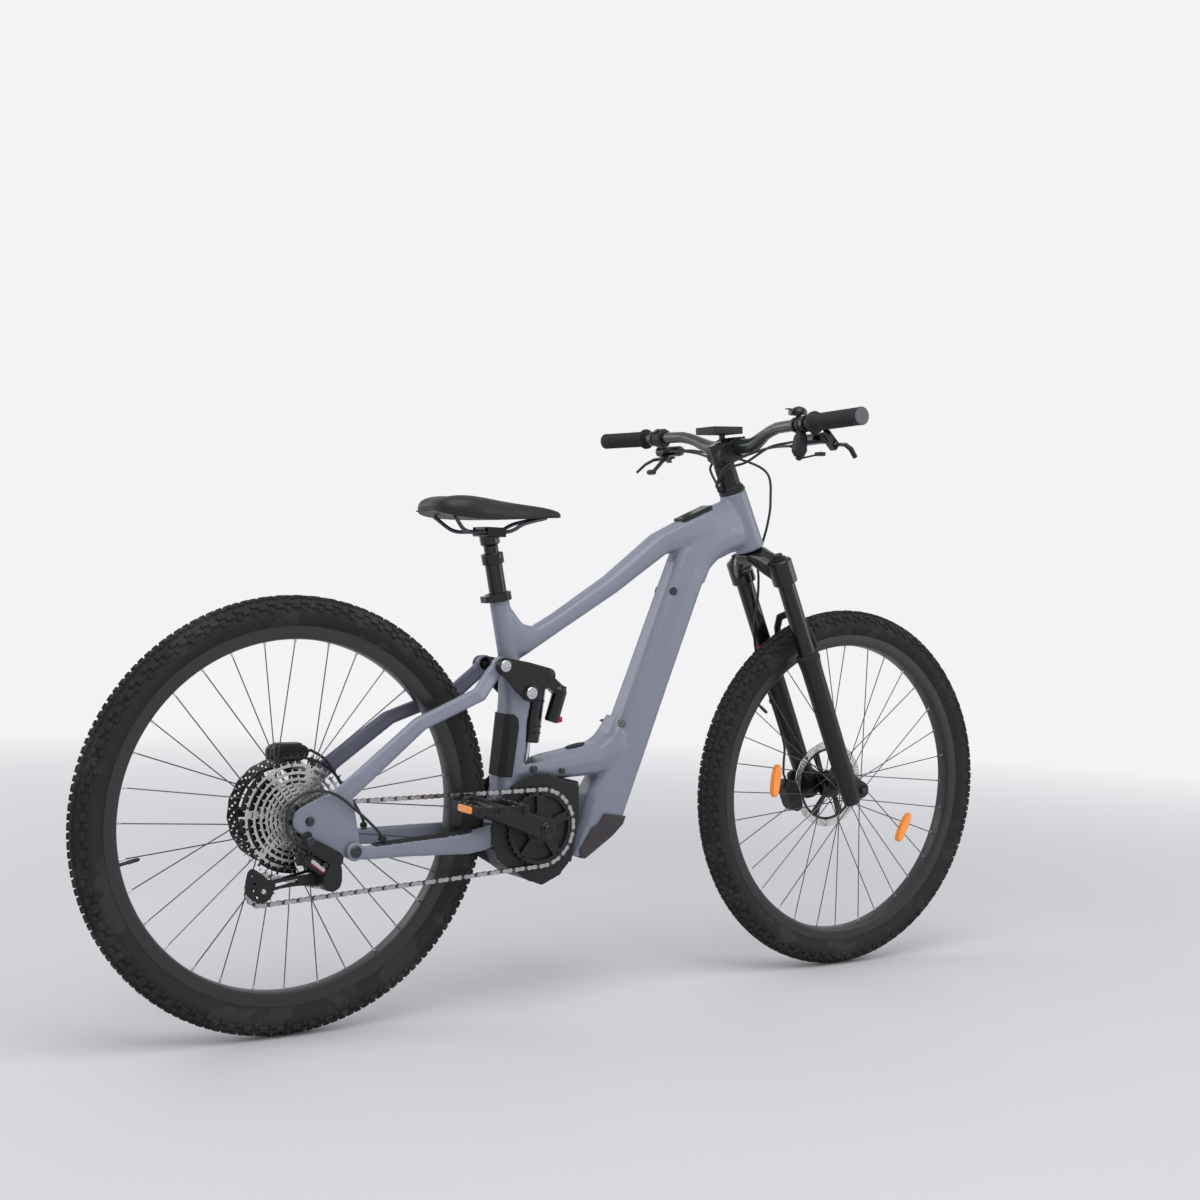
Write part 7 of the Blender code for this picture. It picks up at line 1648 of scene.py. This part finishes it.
# %% Loft the saddle
STATIONS = [(-0.1320, 0.0200, 0.0420, 0.0330), (-0.1240, 0.0500, 0.0500, 0.0260),
            (-0.1040, 0.0640, 0.0580, 0.0210), (-0.0750, 0.0695, 0.0612, 0.0180),
            (-0.0400, 0.0650, 0.0592, 0.0180), (-0.0100, 0.0530, 0.0563, 0.0190),
            (0.0150, 0.0405, 0.0543, 0.0206), (0.0450, 0.0295, 0.0524, 0.0226),
            (0.0800, 0.0235, 0.0505, 0.0260), (0.1120, 0.0208, 0.0476, 0.0290),
            (0.1330, 0.0180, 0.0435, 0.0305), (0.1415, 0.0120, 0.0390, 0.0320)]
PROFILE = [(0.0, 0.90), (0.22, 0.93), (0.45, 1.0), (0.70, 0.97), (0.88, 0.83), (0.985, 0.55), (1.0, 0.32),
           (0.965, 0.12), (0.92, 0.02), (0.84, 0.05), (0.45, 0.14), (0.0, 0.18)]


def saddle_loft(work):
    """A ring of points at each station, joined by faces."""
    rings = []
    for x, half, top, low in STATIONS:
        trough = 1.0 if -0.11 < x < 0.09 else 1.08
        ring = []
        for hand in (1, -1):
            profile = PROFILE if hand == 1 else PROFILE[-2:0:-1]
            for share, height in profile:
                height = min(1.0, height * trough) if share < 0.3 and height > 0.5 else height
                place = Vector((x, hand * half * share, low + (top - low) * height))
                ring.append(work.verts.new(SADDLE_BASE + place))
        rings.append(ring)
    skinned(work, rings)
    work.faces.new(rings[0])
    work.faces.new(rings[-1])


saddle = made("saddle_padded", saddle_loft)
rounding = saddle.modifiers.new("rounding", "SUBSURF")
rounding.levels = rounding.render_levels = 3
saddle = baked(saddle)
wear(saddle, saddle_skin, "seat_group", "saddle_cover", "saddle", angle=80)


def welt(height, inset):
    """A line of points round the saddle at a share of its height."""
    half = [SADDLE_BASE + Vector((x, wide - inset, low + (top - low) * height))
            for x, wide, top, low in STATIONS[1:-1]]
    return half + [Vector((point.x, -point.y, point.z)) for point in reversed(half)]


WELT_HEIGHT, WELT_INSET, WELT_RADIUS = 0.20, 0.0008, 0.0009
seam = welt(WELT_HEIGHT, WELT_INSET)
seam = smooth_path(seam + [seam[0]], 5)
wear(made("saddle_seam", swept, seam, WELT_RADIUS, 8), moulded, "seat_group", "saddle_cover", angle=60)
print("saddle", len(saddle.data.polygons), "faces")

# %% [markdown]
# ## The cockpit
#
# The handlebar is a tube that is thick at the stem, rises and then runs thin to the grips. A grip is
# a ribbed sleeve with a flange for the thumb and a paler disc in its end.

# %% Bend the bar
BARS, BAR_STEPS = "bars_and_crown", 6
BAR_CENTRE = HEAD_TOP - 0.0805 * DOWN + 0.0330 * AHEAD
BAR_STATIONS = [(0.0, 0.0, 0.0, 0.0159), (0.040, 0.0, 0.0, 0.0159),
                (0.070, -0.002, 0.003, 0.0145), (0.110, -0.008, 0.018, 0.0111),
                (0.140, -0.011, 0.026, 0.0111), (0.180, -0.015, 0.029, 0.0111),
                (0.400, -0.032, 0.032, 0.0111)]


def bar_point(hand, y):
    """The bar's middle line at a distance from the stem; hand is 1 on the left and -1 on the right."""
    for near, far in zip(BAR_STATIONS, BAR_STATIONS[1:]):
        if y <= far[0]:
            break
    share = (y - near[0]) / (far[0] - near[0])
    ahead = near[1] + (far[1] - near[1]) * share
    up = near[2] + (far[2] - near[2]) * share
    return BAR_CENTRE + Vector((ahead, hand * y, up))


def by_bar(hand, x, y, z):
    """A point set off from the bar's middle line, ahead by x and up by z."""
    return bar_point(hand, y) + Vector((x, 0, z))


def bar_heading(hand):
    """The way that the bar runs outward under a hand."""
    return (bar_point(hand, 0.380) - bar_point(hand, 0.200)).normalized()


line = [bar_point(-1, y) for y, *_ in reversed(BAR_STATIONS)]
line += [bar_point(1, y) for y, *_ in BAR_STATIONS[1:]]
radii = [radius for *_, radius in reversed(BAR_STATIONS)] + [radius for *_, radius in BAR_STATIONS[1:]]
fine = smooth_path(line, BAR_STEPS)
fine_radii = []
for i in range(len(fine)):
    before = radii[i // BAR_STEPS]
    after = radii[min(i // BAR_STEPS + 1, len(radii) - 1)]
    fine_radii.append(before + (after - before) * (i % BAR_STEPS) / BAR_STEPS)
wear(made("bar_bent", swept, fine, fine_radii, 40), bar_black, BARS, "satin_black", "handlebar", angle=40)
print("bar", len(fine), "rings")

# %% Turn the grips
GRIP_START, RIBS, RIB_START, RIB_PITCH = 0.265, 22, 0.0100, 0.0054
END_DISC = [(0.1330, 0.0), (0.1330, 0.0152), (0.1396, 0.0150), (0.1400, 0.0138), (0.1392, 0.0090),
            (0.1394, 0.0)]
sleeve = [(0.0, 0.0122), (0.0, 0.0190), (0.0008, 0.0206), (0.0040, 0.0208), (0.0055, 0.0196),
          (0.0072, 0.0160)]
for i in range(RIBS):
    start = RIB_START + RIB_PITCH * i
    sleeve += [(start, 0.0150), (start + 0.0008, 0.0158), (start + 0.0030, 0.0160), (start + 0.0038, 0.0151)]
sleeve += [(0.1310, 0.0158), (0.1385, 0.0163), (0.1392, 0.0155), (0.1392, 0.0122)]
for name, hand in (("right", -1), ("left", 1)):
    root, heading = bar_point(hand, GRIP_START), bar_heading(hand)
    wear(made(f"grip_{name}_sleeve", turned, root, heading, sleeve, 48), grip_rubber, BARS,
         "guard_rubber", "grip_" + name, angle=40)
    wear(made(f"grip_{name}_end", turned, root, heading, END_DISC, 40), end_disc, BARS, "guard_rubber",
         angle=35)
print("grips turned")

# %% [markdown]
# Stem, clamps, brake cylinders and levers are forged or moulded pieces, so they are cast from their
# solids with a fine cell, and their screws are set on them.

# %% Cast the stem, the controls and the levers
CASTINGS = [("stem", 0.0010, 4, satin_black, BARS),
            ("headset_spacer", 0.0009, 3, satin_black, BARS),
            ("display", 0.0008, 3, moulded, BARS),
            ("brake_master_right", 0.0008, 3, gloss_black, BARS),
            ("brake_master_left", 0.0008, 3, gloss_black, BARS),
            ("shifter_body", 0.0008, 3, moulded, BARS),
            ("remote_switch", 0.0008, 3, moulded, BARS),
            ("bell", 0.0008, 3, gloss_black, BARS),
            ("brake_lever_right", 0.0007, 3, gloss_black, "brake_lever_right_group"),
            ("brake_lever_left", 0.0007, 3, gloss_black, "brake_lever_left_group"),
            ("shift_lever", 0.0007, 3, satin_black, "shift_lever_group"),
            ("dropper_lever", 0.0007, 3, satin_black, "dropper_lever_group")]
for node, cell, rounds, finish, body in CASTINGS:
    cast_from(node, node + "_cast", cell, rounds, finish, body, "satin_black")
for node, finish in (("bell_striker", bolt_black), ("assist_button", gloss_black)):
    frame["nodes"][node].material_slots[0].material = finish.material

# %% Add the screws, the screen and the bell's dome
stem_spots = [(BAR_CENTRE + 0.0206 * AHEAD + sideways * SIDE + up * DOWN, AHEAD, 0.62)
              for sideways in (-0.0165, 0.0165) for up in (-0.0125, 0.0125)]
stem_spots.append((HEAD_TOP - 0.0998 * DOWN, -DOWN, 1.0))
TOP_CAP = [(0.0, 0.0185), (0.0018, 0.0180), (0.0022, 0.0165), (0.0022, 0.0055)]
cap = made("cap", turned, HEAD_TOP - 0.0985 * DOWN, -DOWN, TOP_CAP, 48)
stem_screws = joined("stem_screws", [cap, scattered("screws", screw, stem_spots, bolt_black)])
wear(stem_screws, bolt_black, BARS, "dark_steel", angle=35)
LEVER_OUT = Vector((0.74, 0, -0.67)).normalized()
lever_axis = Vector((-LEVER_OUT.z, 0, LEVER_OUT.x))
lever_spots = []
for hand in (-1, 1):
    pivot = by_bar(hand, 0.0555, 0.262, -0.0370)
    lever_spots += [(pivot + 0.0078 * lever_axis, lever_axis, 0.55)]
    lever_spots += [(by_bar(hand, 0.0152, 0.241, offset), (1, 0, 0), 0.5) for offset in (-0.0125, 0.0110)]
screwed_on("lever_screws", lever_spots, bolt_silver, BARS, "bright_steel", angle=35)
SCREEN_TILT, SCREEN_SHEET = 0.07, 0.0014
screen_place = (Matrix.Translation(BAR_CENTRE + Vector((-0.0355, 0, 0.0364)))
                @ Matrix.Rotation(-SCREEN_TILT, 4, "Y"))
wear(plate_from("screen", [oval(0.0325, 0.0270, 48, 7.0)], SCREEN_SHEET, screen_place, 0.0005), glass_black,
     BARS, "gloss_black", angle=35)
bell_foot = by_bar(-1, 0.0040, 0.212, 0.0)
dome = [(0.0180, 0.0), (0.0180, 0.0150), (0.0195, 0.0158), (0.0230, 0.0158)]
for angle in range(10, 90, 8):
    turn = math.radians(angle)
    dome.append((0.0230 + 0.0118 * math.sin(turn), 0.0157 * math.cos(turn)))
dome.append((0.0348, 0.0))
wear(made("bell_dome", turned, bell_foot, (0, 0, 1), dome, 48), gloss_black, BARS, "gloss_black",
     angle=50)
print("cockpit cast")

# %% [markdown]
# ## The hoses
#
# Each hose is a soft tube 5 mm thick on a smooth route. Four leave the controls: the front brake's
# crosses in front of the crown, stays clear of the tyre and goes down the fork leg, and the other
# three enter the head tube behind the stem. Two more run at the rear wheel, from the chainstay to the
# brake and to the derailleur. A hose between two moving bodies is left fixed where it is laid.

# %% Write down the routes
HOSE_RADIUS = 0.0025
LEG_END = from_head(AXLE_ALONG - 0.020 - 0.0340 - 0.0003, AXLE_AHEAD - 0.0950, 0.0500)
PORT = HEAD_TOP - 0.0150 * DOWN - 0.0275 * AHEAD


def from_axle(x, y, z):
    """A point set off from the rear wheel's axle."""
    return REAR + Vector((x, y, z))


left_start = by_bar(1, 0.0300, 0.1900, -0.0250)
ROUTES = {
    "front_brake_hose": [left_start, left_start - 0.008 * bar_heading(1), by_bar(1, 0.0260, 0.1500, -0.0240),
                         by_bar(1, 0.0200, 0.1050, -0.0200), BAR_CENTRE + Vector((0.0480, 0.0350, -0.0180)),
                         BAR_CENTRE + Vector((0.0850, -0.0050, -0.0450)),
                         from_head(-0.0750, 0.0700, -0.0180),
                         from_head(-0.0350, 0.0520, -0.0120), from_head(0.0000, 0.0390, 0.0050),
                         from_head(0.0250, 0.0325, 0.0240), from_head(0.0500, 0.0315, 0.0345),
                         from_head(0.0750, 0.0260, 0.0365), from_head(0.1100, 0.0100, 0.0365),
                         from_head(0.1500, -0.0100, 0.0410), from_head(0.1900, -0.0170, 0.0520),
                         from_head(0.2300, -0.0175, 0.0600), from_head(0.3000, -0.0160, 0.0620),
                         from_head(0.3800, -0.0150, 0.0620), from_head(0.4300, -0.0200, 0.0590),
                         from_head(0.4560, -0.0370, 0.0530), LEG_END - 0.016 * DOWN, LEG_END - 0.008 * DOWN,
                         LEG_END],
    "rear_brake_line": [by_bar(-1, 0.0300, 0.1900, -0.0250), by_bar(-1, 0.0290, 0.1500, -0.0240),
                        by_bar(-1, 0.0200, 0.0950, -0.0160),
                        BAR_CENTRE + Vector((-0.0020, -0.0460, -0.0310)),
                        BAR_CENTRE + Vector((-0.0330, -0.0300, -0.0450)),
                        HEAD_TOP - 0.0260 * DOWN - 0.0300 * AHEAD,
                        PORT],
    "shift_line": [by_bar(-1, -0.0060, 0.2165, -0.0400), by_bar(-1, -0.0060, 0.1750, -0.0370),
                   by_bar(-1, 0.0000, 0.1150, -0.0280), BAR_CENTRE + Vector((-0.0180, -0.0520, -0.0230)),
                   BAR_CENTRE + Vector((-0.0370, -0.0270, -0.0430)),
                   HEAD_TOP - 0.0270 * DOWN - 0.0310 * AHEAD, PORT],
    "post_line": [by_bar(1, 0.0000, 0.2050, -0.0260), by_bar(1, 0.0040, 0.1550, -0.0270),
                  by_bar(1, 0.0080, 0.1100, -0.0250), BAR_CENTRE + Vector((-0.0100, 0.0520, -0.0230)),
                  BAR_CENTRE + Vector((-0.0330, 0.0270, -0.0450)), HEAD_TOP - 0.0260 * DOWN - 0.0300 * AHEAD,
                  PORT],
    "rear_brake_tail": [from_axle(*point) for point in (
        (0.0506, 0.0640, 0.0980), (0.0560, 0.0640, 0.0980), (0.0620, 0.0640, 0.0980),
        (0.0880, 0.0590, 0.0800), (0.1160, 0.0560, 0.0380), (0.1460, 0.0600, 0.0000),
        (0.1640, 0.0680, -0.0260), (0.1660, 0.0690, -0.0340))],
    "shift_tail": [from_axle(*point) for point in (
        (-0.0175, -0.0900, -0.0330), (-0.0300, -0.0900, -0.0300), (-0.0440, -0.0900, -0.0050),
        (-0.0380, -0.0900, 0.0300), (-0.0050, -0.0900, 0.0500), (0.0400, -0.0890, 0.0430),
        (0.0850, -0.0870, 0.0100), (0.1180, -0.0800, -0.0180), (0.1320, -0.0760, -0.0320))]}

# %% Carry the tubes along them
HELD = {"front_brake_hose": (BARS, "fork_lower_group", from_head(0.2450, 0, 0), from_head(0.4400, 0, 0)),
        "rear_brake_tail": (HOLDER, SWING, from_axle(0.0560, 0, 0.0980), from_axle(0.1640, 0, -0.026)),
        "shift_tail": (HOLDER, SWING, from_axle(0.0400, 0, 0.0430), from_axle(0.1300, 0, -0.030))}
STANDS_FOR = {"front_brake_hose": "front_hoses", "rear_brake_tail": "rear_brake_hose",
              "shift_tail": "shift_housing"}
for name, points in ROUTES.items():
    line = smooth_path(points, 8)
    hose = made(name, swept, line, HOSE_RADIUS, 16)
    hose.data.materials.append(hose_skin.material)
    soften(hose.data, 60)
    if name in HELD:
        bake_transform(hose)
    else:
        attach(hose, "bars_and_crown")
    if name in STANDS_FOR:
        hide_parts(STANDS_FOR[name])
    length = sum((after - point).length for point, after in zip(line, line[1:]))
    print(name, round(1000 * length), "mm")

# %% Add the grommets, the sleeves and the clip
grommets = {"bars_and_crown": [(PORT + 0.0010 * DOWN, -AHEAD, 0.0065)],
            "chainstay_group": [(from_axle(0.1660, 0.0690, -0.0345), (0, 0, 1), 0.0062),
                                (from_axle(0.1330, -0.0755, -0.0350), (0.2, 0, 1), 0.0070)]}
for body, seats in grommets.items():
    rings = []
    for place, way, radius in seats:
        rim = [(-0.0050, radius), (0.0010, radius), (0.0028, radius - 0.0010), (0.0036, radius - 0.0028),
               (0.0036, 0.0)]
        rings.append((Vector(place), way, rim, 28))
    wear(made(body + "_grommets", turned_all, *rings), guard_rubber, body, "guard_rubber", angle=40)
SLEEVE = band((-0.0030, 0.0024), (-0.0030, 0.0044), (0.0060, 0.0044), (0.0075, 0.0036), (0.0120, 0.0033),
              (0.0120, 0.0024))
sleeves = []
for name in ("front_brake_hose", "rear_brake_line", "shift_line", "post_line"):
    first, second = ROUTES[name][:2]
    sleeves.append((first, (second - first).normalized(), SLEEVE, 20))
wear(made("hose_sleeves", turned_all, *sleeves), guard_rubber, BARS, "guard_rubber", angle=40)
CLIP = band((-0.0040, 0.0026), (-0.0040, 0.0044), (0.0040, 0.0044), (0.0040, 0.0026))
clip = made("leg_clip", turned, from_head(0.3300, -0.0162, 0.0612), DOWN, CLIP, 24)
wear(clip, moulded, "fork_lower_group", "moulded_plastic", angle=40)
print("hoses laid")
